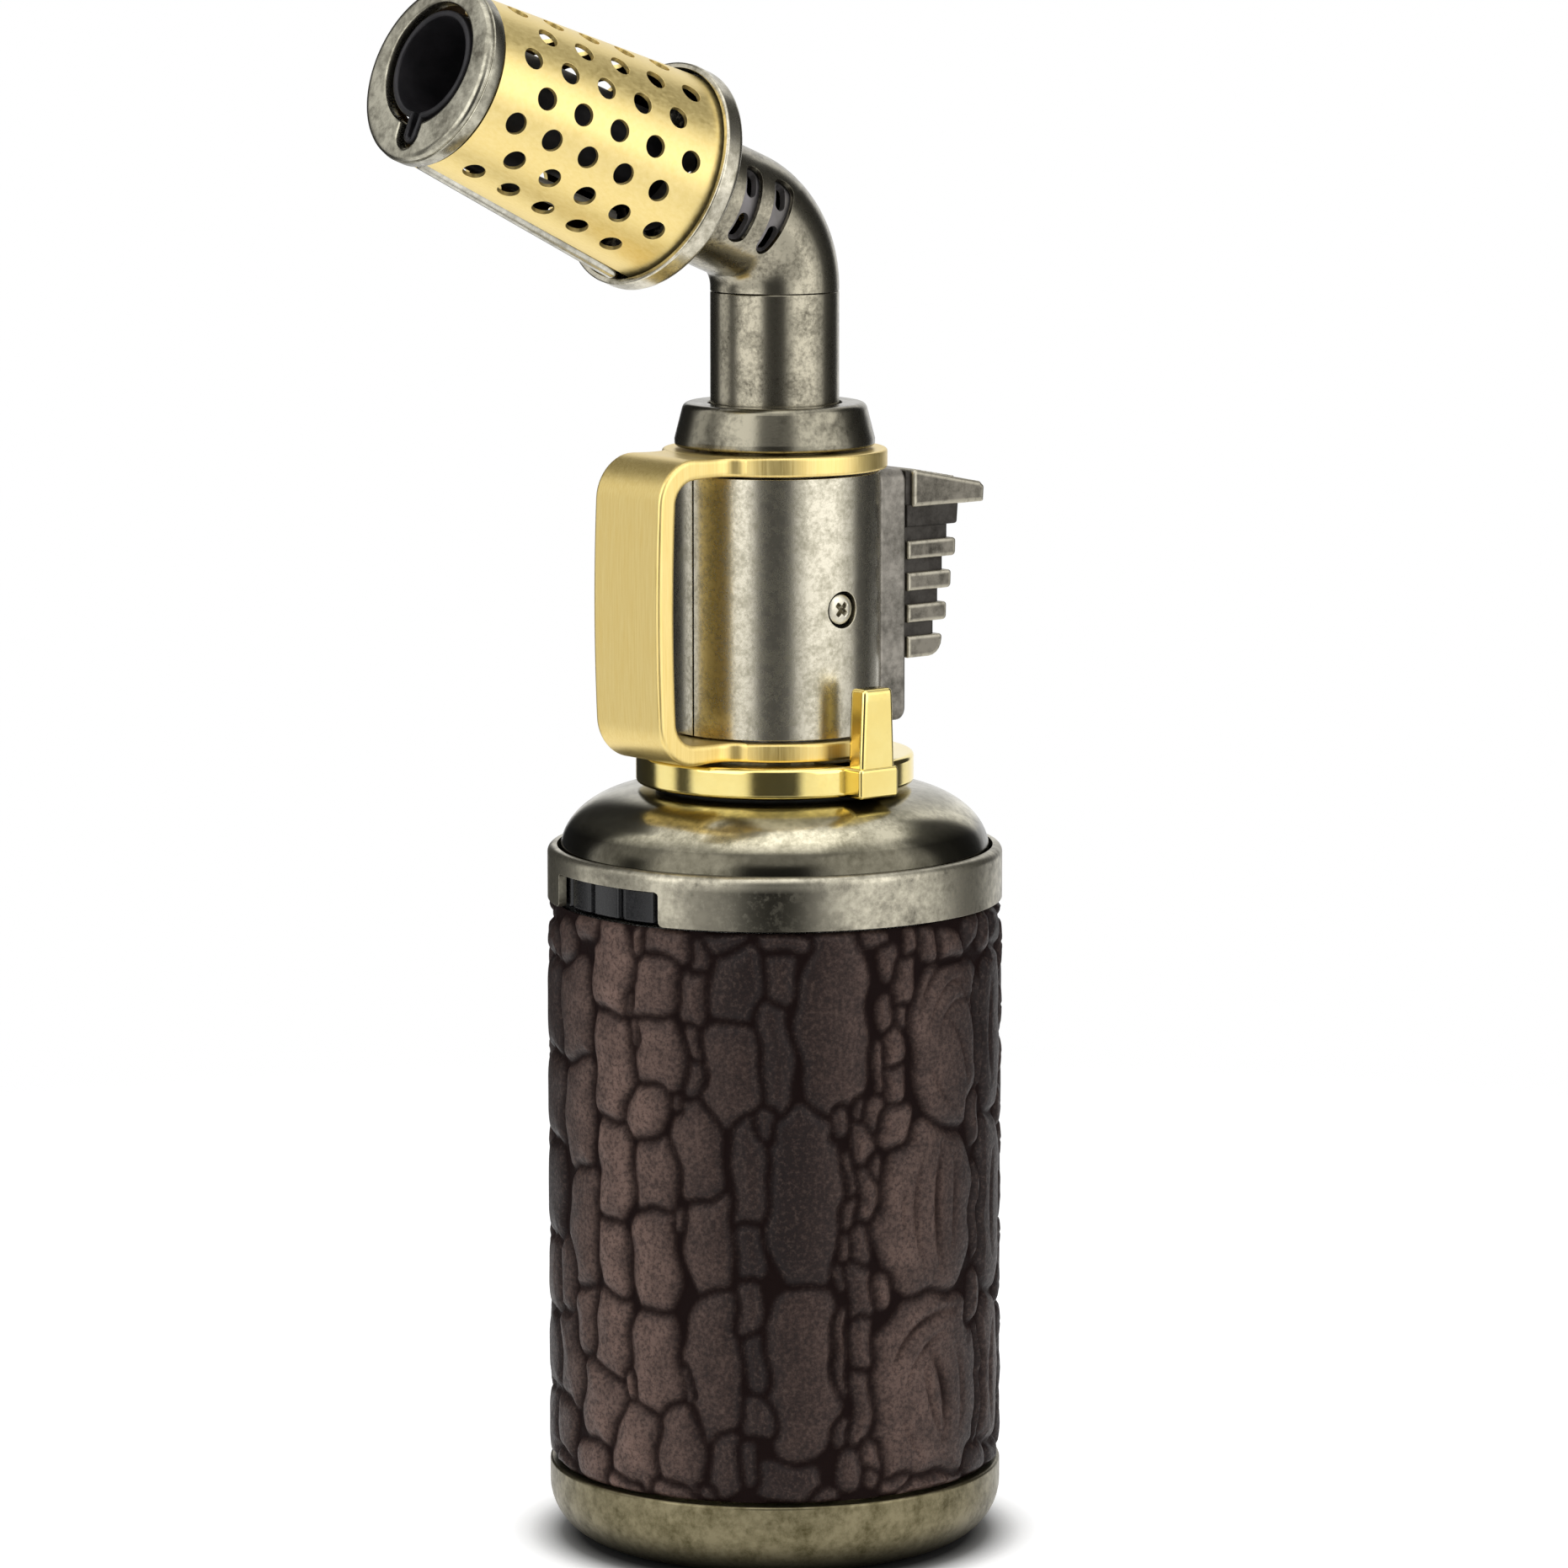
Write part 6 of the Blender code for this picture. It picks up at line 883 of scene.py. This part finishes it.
def make_screw(name, node, place, shank, radius=1.6, thick=0.8, steps=96):
    """A pan head as a polar grid, sunk by a cross of two rounded slots, on a plain shank."""
    arm_length, cross_turn, cross_depth, shoulder = 0.95, math.radians(42), 0.4, 0.12
    ring = np.concatenate([np.linspace(0, radius * 0.8, 26),
                           radius * np.array([0.86, 0.92, 0.965, 0.99, 1.0])])
    angle = round_steps(steps)[None]
    reach = ring[:, None]
    x, y = np.abs(reach * np.cos(angle - cross_turn)), np.abs(reach * np.sin(angle - cross_turn))
    arm = 0.29 - 0.06 * reach + 0.06
    cross = np.maximum(ramp(arm - y, 0, shoulder) * ramp(arm_length - x, 0, 0.25),
                       ramp(arm - x, 0, shoulder) * ramp(arm_length - y, 0, 0.25))
    top = thick - 0.3 * (ring / radius)[:, None] ** 4 - cross_depth * cross
    under = np.array([(radius, 0.05), (0.75, 0.0), (0.75, -shank + 0.3), (0.4, -shank), (0, -shank)])
    reach = np.concatenate([reach + 0 * angle, under[:, :1] + 0 * angle])
    height = np.concatenate([top + 0 * angle, under[:, 1:] + 0 * angle])
    points = polar(reach, angle, height, place)
    marks = {"cross": np.concatenate([cross, np.zeros((len(under), steps))])}
    new_piece(name, [(points, grid_faces(len(reach), steps, False, True))], "torch",
              screw_steel, [node], marks=marks)


def make_plate():
    """The flat plate behind the thumb slide, with the long opening for the carriage's stem."""
    back, front = 10.3, 14.1
    outline = rounded([(-5.6, HOUSING_LOW), (5.6, HOUSING_LOW), (5.6, 117.6), (-5.6, 117.6)], 1.5, 8)
    opening = rounded([(-2.0, 100.3), (2.0, 100.3), (2.0, 113.3), (-2.0, 113.3)], 0.5, 8)
    rows = edge_rows(outline, back, front, 0.35) + [(opening, front), (opening, back)]
    plate = carried(rows, lambda side, height, reach: upright(-reach, side, height))
    new_piece("slide_track_plate", [plate], "torch", plate_silver, ["slide_plate"])


def shrunk(corners, distance):
    """Corners of a counter-clockwise polygon after each of its sides has moved inwards by the distance."""
    side = np.roll(corners, -1, 0) - corners
    side /= np.linalg.norm(side, axis=1, keepdims=True)
    across = np.stack([-side[:, 1], side[:, 0]], -1)
    before = np.roll(across, 1, 0)
    return corners + distance * (across + before) / (1 + (across * before).sum(1, keepdims=True))


def slide_bar(corners, radii, half_width, edge, cap=0.25):
    """A bar of the slide: its side outline (reach behind the axis, height) carried across its width, with a
    flat cap set in from each rim. The mark is 1 on rims and corners and 0 on the flats."""
    corners = np.asarray(corners, float)
    radii = np.broadcast_to(np.asarray(radii, float), len(corners))
    x, z = corners[:, 0], corners[:, 1]
    if np.sum(x * np.roll(z, -1) - np.roll(x, -1) * z) < 0:
        corners, radii = corners[::-1], radii[::-1]
    turn = np.linspace(0, math.pi / 2, 4)
    inset, rise = edge * (1 - np.cos(turn)), edge * (1 - np.sin(turn))
    half = [(edge + cap, 0.0, 0.0)] + [(inset[k], rise[k], 1.0) for k in range(3, -1, -1)]
    half += [(0.0, edge + 0.35, 0.0)]
    rows = [(step, -half_width + up, mark) for step, up, mark in half]
    rows += [(step, half_width - up, mark) for step, up, mark in half[::-1]]
    outlines = [rounded(shrunk(corners, step), np.maximum(radii - step, 0.04), 5, 0.05)
                for step, _, _ in rows]
    points = np.stack([upright(-line[:, 0], side, line[:, 1]) for line, (_, side, _) in zip(outlines, rows)])
    corner = np.tile([0.0] + [1.0] * 6 + [0.0], len(outlines[0]) // 8)
    marks = np.stack([np.maximum(mark, corner * (step < edge)) for step, _, mark in rows])
    return *capped(points), marks


def make_thumb_slide():
    """The slide: a shelf with a fine tread, and four ribs whose rims and corners are painted paler, as rubbed
    wear and as painted highlight, on a narrower dark core that steps back downwards, painted dark as unrubbed
    patina and as painted shade in the recesses."""
    back, top, wide, reach = 14.4, 117.5, 5.6, 21.4
    rib_step, tread_pitch, shelf_slope = 0.66, 0.78, 0.19

    def bar(corners, *sizes):
        return slide_bar([(back + behind, height) for behind, height in corners], *sizes)

    bars = [bar([(0.75, top - 0.1), (10.6, top - 2.05), (11.2, top - 2.6), (11.1, top - 4.3),
                 (0.75, top - 4.3)], [0.5, 0.35, 0.4, 0.25, 0.25], wide, 0.32)]
    core = [bar([(0, top - 0.2), (6, top - 1.4), (6, top - 5), (0, top - 5)], [0.2, 0.2, 0.1, 0.1], 5.1,
                0.15),
            bar([(0, top - 4.0), (7.6, top - 4.0), (7.4, top - 6.5), (0, top - 6.5)], [0.1, 0.15, 0.35, 0.1],
                5.35, 0.25)]
    for low, high, foot in ((107.5, 109.5, 0.5), (104.0, 106.0, 0.5), (100.5, 102.5, 0.5), (96.6, 99.0, 1.9)):
        bars.append(slide_bar([(back, high), (reach, high), (reach - 0.06, low), (back, low)],
                              [0.12, 0.4, foot, 0.12], wide, 0.22))
        core.append(slide_bar([(back, high + 1.8), (reach - 0.8, high + 1.8), (reach - 0.8, high - 0.8),
                               (back, high - 0.8)], 0.1, 4.95, 0.12))
        reach -= rib_step
    for x in back + 1.5 + tread_pitch * np.arange(8):
        fall = (x - back) * shelf_slope
        bars.append(slide_bar([(x, top + 0.12 - fall), (x + 0.5, top + 0.03 - fall),
                               (x + 0.5, top - 1.0 - fall), (x, top - 1.0 - fall)],
                              [0.16, 0.16, 0.05, 0.05], 4.7, 0.12, 0.08))
    new_piece("ribbed_thumb_slide", [(points, faces) for points, faces, _ in bars], "thumb_slide",
              slide_silver, ["thumb_slide"],
              marks={"wear_and_highlight": np.concatenate([mark.ravel() for _, _, mark in bars])})
    new_piece("thumb_slide_core", [(points, faces) for points, faces, _ in core], "thumb_slide",
              slide_core_patina_and_shade)


# ---------------------------------------------------------------- collar, neck, elbow
def make_neck():
    """The collar and the straight tube, both turned."""
    collar = rounded([(TUBE_BORE, COLLAR_LOW), (10.9, COLLAR_LOW), (10.9, COLLAR_LOW + 0.8),
                      (9.9, COLLAR_HIGH), (TUBE_BORE, COLLAR_HIGH)], [0.1, 0.35, 0.3, 0.8, 0.2])
    new_piece("stepped_collar", [turned(collar)], "torch", collar_silver, ["collar"])
    tube = rounded([(5.9, NECK_LOW), (TUBE_RADIUS, NECK_LOW), (TUBE_RADIUS, NECK_HIGH), (5.9, NECK_HIGH)],
                   [0.1, 0.1, 0.15, 0.1], 3, 0.06)
    new_piece("neck_pipe", [turned(tube)], "torch", neck_silver, ["neck_tube"])


def elbow_place(angle, distance, radius=TUBE_RADIUS):
    """Point of the bent tube: an angle round it, from the bend's inside, and a distance along its middle."""
    bend = math.pi / 2 - HEAD_TILT
    straight = HEAD_HEIGHT - ELBOW_LOW - BEND_RADIUS * math.tan(bend / 2)
    turn = np.clip((distance - straight) / BEND_RADIUS, 0, bend)
    before = np.minimum(distance, straight)
    after = np.maximum(distance - straight - BEND_RADIUS * bend, 0)
    x = BEND_RADIUS * (1 - np.cos(turn)) + np.sin(turn) * after
    z = ELBOW_LOW + before + BEND_RADIUS * np.sin(turn) + np.cos(turn) * after
    inside = -radius * np.cos(angle)
    return upright(x + np.cos(turn) * inside, radius * np.sin(angle), z - np.sin(turn) * inside)


def make_elbow():
    """The bent tube as a sheet with two round-ended air slots on either side."""
    bend = math.pi / 2 - HEAD_TILT
    tangent = BEND_RADIUS * math.tan(bend / 2)
    knee = HEAD_HEIGHT - ELBOW_LOW - tangent + BEND_RADIUS * bend
    slots = [knee + place - tangent for place in (5.6, 9.8)]
    along = stretches(ELBOW_SEAM - ELBOW_LOW, (13, slots[0] - 2.1), (10, sum(slots) / 2),
                      (10, slots[1] + 2.1), (5, knee + SOCKET_END - tangent))
    half, block, quarter = math.radians(46), 24, math.pi / 2
    across = stretches(quarter - half, (block, quarter + half), (22, 3 * quarter - half),
                       (block, 3 * quarter + half), (22, 5 * quarter - half))[:-1]
    holes = [((left, left + block, first, first + 10), (middle, slot),
              oval_rim(math.radians(37) * TUBE_RADIUS, 1.2, TUBE_RADIUS))
             for left, middle in ((0, quarter), (block + 22, 3 * quarter))
             for first, slot in zip((13, 23), slots)]
    new_piece("elbow_pipe", pierced(across, along, holes, elbow_place, closed=True), "torch",
              neck_silver, ["elbow"], wall=ELBOW_WALL, bevel=0.07, even=False)


def make_air_tube():
    """The grey tube inside the socket, with two oval holes in each of the elbow's slots."""
    radius, block = 6.2, 12
    quarter, half, shift = math.pi / 2, math.radians(19), math.radians(23)
    middles = [quarter - shift, quarter + shift, 3 * quarter - shift, 3 * quarter + shift]
    steps = []
    for middle, gap in zip(middles, (0, 2, 8, 2)):
        steps += [(gap, middle - half), (block, middle + half)] if gap else [(block, middle + half)]
    across = stretches(middles[0] - half, *steps, (16, middles[0] - half + math.tau))[:-1]
    along = stretches(3.4, (1, 3.5), (10, 6.9), (2, 7.8), (10, 11.2), (5, 15.9))
    holes = [((left, left + block, first, first + 10), (middle, place), oval_rim(1.6, 0.68, radius))
             for left, middle in zip((0, 14, 34, 48), middles) for first, place in ((1, 5.2), (13, 9.5))]
    sheet = pierced(across, along, holes, lambda angle, far: polar(radius, angle, far, on_head), closed=True)
    new_piece("air_sleeve", sheet, "torch", air_grey, ["air_tube"], wall=0.8, bevel=0.08)


# ---------------------------------------------------------------- burner head
def shield_radius(along):
    """The cone's radius at a distance along the head's axis."""
    share = (along - SHIELD_REAR) / (SHIELD_FRONT - SHIELD_REAR)
    return SHIELD_REAR_RADIUS + (SHIELD_FRONT_RADIUS - SHIELD_REAR_RADIUS) * share


def make_shield():
    """A cone of sheet with fifteen lines of holes, every other one half a pitch on, open over the rail."""
    lines, pitch, first, line_step, turn, cell = 15, 4.82, 22.52, 21.5, 1.6, 8
    along = np.concatenate([[SHIELD_REAR, SHIELD_REAR + 0.3, 19.1],
                            first - pitch / 2 + np.arange(45) * pitch / cell,
                            [47.2, SHIELD_FRONT - 0.25, SHIELD_FRONT]])
    left, right = turn - 7.5 * line_step, turn + 7.5 * line_step
    across = np.concatenate([[-180, (left - 174) / 2], left + np.arange(lines * cell + 1) * line_step / cell,
                             [(right + 174) / 2, 180]])
    holes = []
    for number in range(lines):
        shift = 0.5 if number % 2 == 0 else 0
        for step in range(5):
            column, row = 2 + number * cell, 3 + step * cell + int(shift * cell)
            middle = (left + (number + 0.5) * line_step, first + shift * pitch + step * pitch)
            holes.append(((column, column + cell, row, row + cell), middle,
                          oval_rim(1.2, 1.2, math.radians(shield_radius(middle[1])))))

    def place(angle, distance):
        radius = shield_radius(distance)
        limit = 180 - np.degrees(np.arcsin(1.3 / radius))
        bent = np.radians(np.sign(angle) * np.minimum(np.abs(angle), limit))
        return polar(radius, bent, distance, on_head)

    # The sheet's inside is painted dark brown: heat tarnish and painted shade.
    new_piece("pierced_shield", pierced(across, along, holes, place), "torch", shield_brass,
              ["perforated_shield"], wall=0.5, bevel=0.1, inner_finish=brass_tarnish_and_shade)


def make_cup():
    """The cup behind the shield; its mark is 1 in the hollow, which is painted near-black."""
    outline = rounded([(5.95, 16.6), (12.5, 16.6), (12.5, 19.1), (11.8, 19.1), (11.8, 17.6), (5.95, 17.6)],
                      [0.1, 0.7, 0.25, 0.15, 0.1, 0.1])
    inside = ((outline[:, 0] < 11.9) & (outline[:, 1] > 17.3)).astype(float)
    new_piece("rear_shield_cup", [turned(outline, FINE_STEPS, on_head)], "torch",
              cup_silver, ["rear_cup"], marks={"dark_hollow": np.repeat(inside, FINE_STEPS)})


def make_rail():
    """A round bar with domed ends, laid along the shield's open seam."""
    rear, front, thick, end_radius, dome = 19.4, 47.9, 0.9, 0.4, 0.5
    start = np.array([-(shield_radius(rear) - 0.2), rear])
    end = np.array([-(shield_radius(front) - 0.6), front])
    length = np.linalg.norm(end - start)
    way = (end - start) / length
    across = np.array([way[1], -way[0]])
    turn = np.linspace(0, math.pi / 2, 6)
    along = np.concatenate([[0], dome - dome * np.cos(turn), [0.8, length - 0.8],
                            length - dome + dome * np.sin(turn), [length]])[:, None]
    rise, fall = end_radius + dome * np.sin(turn), end_radius + dome * np.cos(turn)
    fall[-1] = end_radius
    radius = np.concatenate([[0], rise, [thick, thick], fall, [0]])[:, None]
    angle = round_steps(32)
    up = start[0] + way[0] * along + across[0] * radius * np.cos(angle)
    distance = start[1] + way[1] * along + across[1] * radius * np.cos(angle)
    points = on_head(up, radius * np.sin(angle), distance)
    new_piece("seam_rail", [(points, grid_faces(len(along), 32, False, True))], "torch",
              rail_steel, ["wire_rail"])


def keyhole(mouth, half_neck, reach, steps=240):
    """Outline of a round opening, set off towards the head's top, with a round-ended notch towards the rail.
    Each point is the farther of circle and notch along its own ray from the opening's middle."""
    angle = round_steps(steps)
    ray = np.stack([np.cos(angle), np.sin(angle)], -1)
    down, side = -ray[:, 0], np.abs(ray[:, 1])
    centre = reach + MOUTH_OFFSET - half_neck
    wide = half_neck / np.maximum(side, 1e-6)
    end = centre * down + np.sqrt(np.maximum(half_neck ** 2 - (centre * side) ** 2, 0))
    notch = np.where((down > 0) & (centre * side < half_neck), end, 0)
    straight = np.minimum(wide, centre / np.maximum(down, 1e-6))
    notch = np.where((down > 0) & (wide * down < centre), np.maximum(notch, straight), notch)
    return ray * np.maximum(mouth, notch)[:, None] + np.array([MOUTH_OFFSET, 0.0])


def make_bezel():
    """The thick front ring: a turned outside with a fine groove, and a keyhole-shaped mouth."""
    opening = keyhole(6.7, 1.75, 8.5)
    outside = [(1.2, 48.2), (0.25, 48.2), (0.08, 48.25), (0.0, 48.4), (0.0, 49.55), (0.06, 49.62),
               (0.2, 49.66), (0.22, 49.74), (0.12, 49.8), (0.1, 49.88), (0.16, 50.08), (0.3, 50.28),
               (0.5, 50.42), (0.75, 50.49), (1.0, 50.5)]
    inside = [(0.3, 50.5), (0.18, 50.49), (0.05, 50.42), (0, 50.3), (0, 49.35), (0, 49.2), (0.15, 49.2)]
    rows = [(circle(BEZEL_RADIUS - inset, len(opening)), height) for inset, height in outside]
    rows += [(inwards(opening, -inset), height) for inset, height in inside]
    new_piece("front_ring", [carried(rows, on_head)], "torch", bezel_silver,
              ["front_bezel"])


def make_burner():
    """The burner tube: round at the rear, pear-shaped from the electrode on."""
    start, end, steps = 20.3, 50.2, 240
    round_out, round_in = circle(5.3, steps, MOUTH_OFFSET), circle(4.75, steps, MOUTH_OFFSET)
    pear_out, pear_in = keyhole(5.3, 1.35, 7.7, steps), keyhole(4.75, 0.8, 7.15, steps)
    lip_out, lip_in = keyhole(5.95, 1.05, 7.75, steps), keyhole(5.25, 0.5, 7.1, steps)
    rows = [(round_out, start), (round_out, 33.9), (pear_out, 34.2), (pear_out, 46.5), (lip_out, 47.6),
            (lip_out, end - 0.3), (inwards(lip_out, 0.1), end - 0.08), (inwards(lip_out, 0.25), end),
            (inwards(lip_in, -0.2), end), (inwards(lip_in, -0.06), end - 0.1), (lip_in, end - 0.3),
            (lip_in, 47.9), (pear_in, 46.6), (pear_in, 34.5), (round_in, 34.3), (round_in, start)]
    new_piece("burner_pipe", [carried(rows, on_head)], "torch", heat_steel,
              ["burner_tube"])


for make in (make_base, make_leather, make_band, make_lock_ring, make_dome, make_flame_ring, make_guard,
             make_housing, make_plate, make_thumb_slide, make_neck, make_elbow, make_air_tube, make_shield,
             make_cup, make_rail, make_bezel, make_burner):
    make()

# ---------------------------------------------------------------- camera, light, floor
CAMERA_SIDE = math.radians(50)         # from +X towards +Y
CAMERA_DOWN = math.radians(8.3)
CAMERA_DISTANCE = 0.737
AIM_HEIGHT, AIM_RIGHT = 83.37 * MM, 1.01 * MM
LENS_IN_PIXELS, PICTURE_PIXELS, SENSOR_MM = 8000, 1862, 36
FLAG_SOFT_SIDE = 9.0                   # degrees over which a flag's side fades
FLAG_SOFT_TOP = 0.14                   # metres over which its top fades
GREY_CARD, DARK_CARD, BLACK_CARD = "#505050", "#303030", "#202020"
# Softboxes: degrees to the camera's right, degrees up, width, height and watts, all 0.9 m away.
SOFTBOXES = {"left_softbox": (-46, 22, 0.7, 0.9, 2.4), "right_softbox": (56, 20, 0.8, 0.9, 2.4),
             "top_softbox": (0, 80, 0.8, 0.8, 1.8)}
SOFTBOX_DISTANCE, SOFTBOX_AIM = 0.9, Vector((0, 0, 0.09))
# Flags: first and last degree to the camera's right, lower and upper end and radius in metres, and colour.
FLAGS = {"camera_side_flag": (-25, 26, -0.4, 0.5, 0.62, GREY_CARD),
         "right_rear_flag": (90, 135, -0.4, 0.8, 0.62, GREY_CARD),
         "right_rear_high_flag": (112, 152, 0.01, 0.8, 0.61, DARK_CARD),
         "left_rear_flag": (188, 250, -0.4, 0.95, 0.62, BLACK_CARD),
         "left_side_flag": (266, 292, -0.4, 0.38, 0.62, GREY_CARD)}
right = Vector((-math.sin(CAMERA_SIDE), math.cos(CAMERA_SIDE), 0))
back = Vector((math.cos(CAMERA_DOWN) * math.cos(CAMERA_SIDE), math.cos(CAMERA_DOWN) * math.sin(CAMERA_SIDE),
               math.sin(CAMERA_DOWN)))
aim = Vector((0, 0, AIM_HEIGHT)) + right * AIM_RIGHT

camera_data = bpy.data.cameras.new("camera")
camera_data.sensor_width = SENSOR_MM
camera_data.lens = LENS_IN_PIXELS / PICTURE_PIXELS * SENSOR_MM
camera_data.clip_start = 0.01
camera = bpy.data.objects.new("camera", camera_data)
camera.location = aim + back * CAMERA_DISTANCE
camera.rotation_euler = back.to_track_quat("Z", "Y").to_euler()
bpy.context.scene.collection.objects.link(camera)
bpy.context.scene.camera = camera


def heading(degrees, pitch=0.0):
    """Direction seen from the object, so many degrees to the right of the camera and above the horizon."""
    turn = CAMERA_SIDE + math.radians(degrees)
    rise = math.radians(pitch)
    return Vector((math.cos(turn) * math.cos(rise), math.sin(turn) * math.cos(rise), math.sin(rise)))


def softbox(name, degrees, pitch, width, height, watts):
    """A rectangular lamp turned to the object."""
    light = bpy.data.lights.new(name, "AREA")
    light.shape = "RECTANGLE"
    light.size, light.size_y = width, height
    light.energy = watts
    lamp = bpy.data.objects.new(name, light)
    way = heading(degrees, pitch)
    lamp.location = SOFTBOX_AIM + way * SOFTBOX_DISTANCE
    lamp.rotation_euler = way.to_track_quat("Z", "Y").to_euler()
    bpy.context.scene.collection.objects.link(lamp)


def flag(name, first, last, low, high, radius, code):
    """A dark card curved round the object, seen only in its reflections, and see-through towards its rims."""
    across, upwards = 33, 17
    degrees = np.linspace(first, last, across)
    angle = CAMERA_SIDE + np.radians(degrees)[:, None]
    level = np.linspace(low, high, upwards)
    points = polar(radius, angle, level)
    mesh = bpy.data.meshes.new(name)
    mesh.from_pydata(points.reshape(-1, 3).tolist(), [], grid_faces(across, upwards).tolist())
    to_side = np.minimum(degrees - first, last - degrees)
    cover = ramp(to_side, 0, FLAG_SOFT_SIDE)[:, None] * ramp(high - level, 0, FLAG_SOFT_TOP)
    layer = mesh.attributes.new("cover", "FLOAT", "POINT")
    layer.data.foreach_set("value", cover.ravel().astype(np.float32))
    material, tree, shader = surface(name, {"Base Color": linear(code), "Roughness": 0.9})
    fade = add(tree, "Attribute", attribute_name="cover").outputs["Fac"]
    tree.links.new(fade, shader.inputs["Alpha"])
    mesh.materials.append(material)
    card = bpy.data.objects.new(name, mesh)
    card.visible_camera = card.visible_diffuse = card.visible_shadow = False
    card.visible_transmission = card.visible_volume_scatter = False
    bpy.context.scene.collection.objects.link(card)


for name, values in SOFTBOXES.items():
    softbox(name, *values)
for name, values in FLAGS.items():
    flag(name, *values)


def seen_share(tree):
    """1 for rays that come straight from the camera, from a reflection or through glass, and 0 for light."""
    rays = add(tree, "LightPath").outputs
    seen = rays["Is Camera Ray"]
    for kind in ("Is Glossy Ray", "Is Transmission Ray"):
        seen = add(tree, "Math", {0: seen, 1: rays[kind]}, operation="MAXIMUM").outputs[0]
    return seen


def make_floor():
    """A round pale floor. Seen straight or in a reflection it has a little light of its own, so that it is
    white like the background; close to the foot it has none, so that the contact shadow stays. Close to the
    foot its colour is also painted dark grey, a painted contact shadow. Its rim fades out."""
    rings = np.array([0.0, 0.03, 0.1, 0.2, 0.32])
    points = polar(rings[:, None], round_steps(64), -0.0002)
    mesh = bpy.data.meshes.new("floor")
    mesh.from_pydata(points.reshape(-1, 3).tolist(), [], grid_faces(len(rings), 64, False, True).tolist())
    weld(mesh)
    material, tree, shader = surface("matt_white_board", {"Roughness": 0.9, "Specular IOR Level": 0.1,
                                                          "Emission Color": (1, 1, 1, 1)})
    where = add(tree, "TexCoord").outputs["Object"]
    fibre = noise(tree, where, 0.8, 2, 0.5)
    seen = seen_share(tree)
    away = add(tree, "VectorMath", {0: where}, operation="LENGTH").outputs["Value"]
    board = blend(tree, fibre, linear("#efefef"), linear("#f2f2f2"))
    # Painted shadow: the board's colour turns dark grey close to the foot.
    shade = span(tree, away, 0.0215, 0.0275, 0.0, 1.0)
    tree.links.new(blend(tree, shade, linear("#404040"), board), shader.inputs["Base Color"])
    glow = span(tree, away, 0.0235, 0.03, 0.0, 0.6)
    glow = add(tree, "Math", {0: glow, 1: seen}, operation="MULTIPLY").outputs[0]
    tree.links.new(glow, shader.inputs["Emission Strength"])
    tree.links.new(span(tree, away, 0.1, 0.28, 1.0, 0.0), shader.inputs["Alpha"])
    mesh.materials.append(material)
    floor = bpy.data.objects.new("floor", mesh)
    bpy.context.scene.collection.objects.link(floor)


make_floor()

world = bpy.data.worlds.new("white_studio")
world.use_nodes = True
bpy.context.scene.world = world
tree = world.node_tree
tree.nodes.clear()
glow = span(tree, seen_share(tree), 0, 1, 0.5, 1.0)
sky = add(tree, "Background", {"Color": (1, 1, 1, 1), "Strength": glow})
output = add(tree, "OutputWorld")
tree.links.new(sky.outputs[0], output.inputs["Surface"])
bpy.context.scene.view_settings.view_transform = "Standard"

bpy.context.view_layer.update()
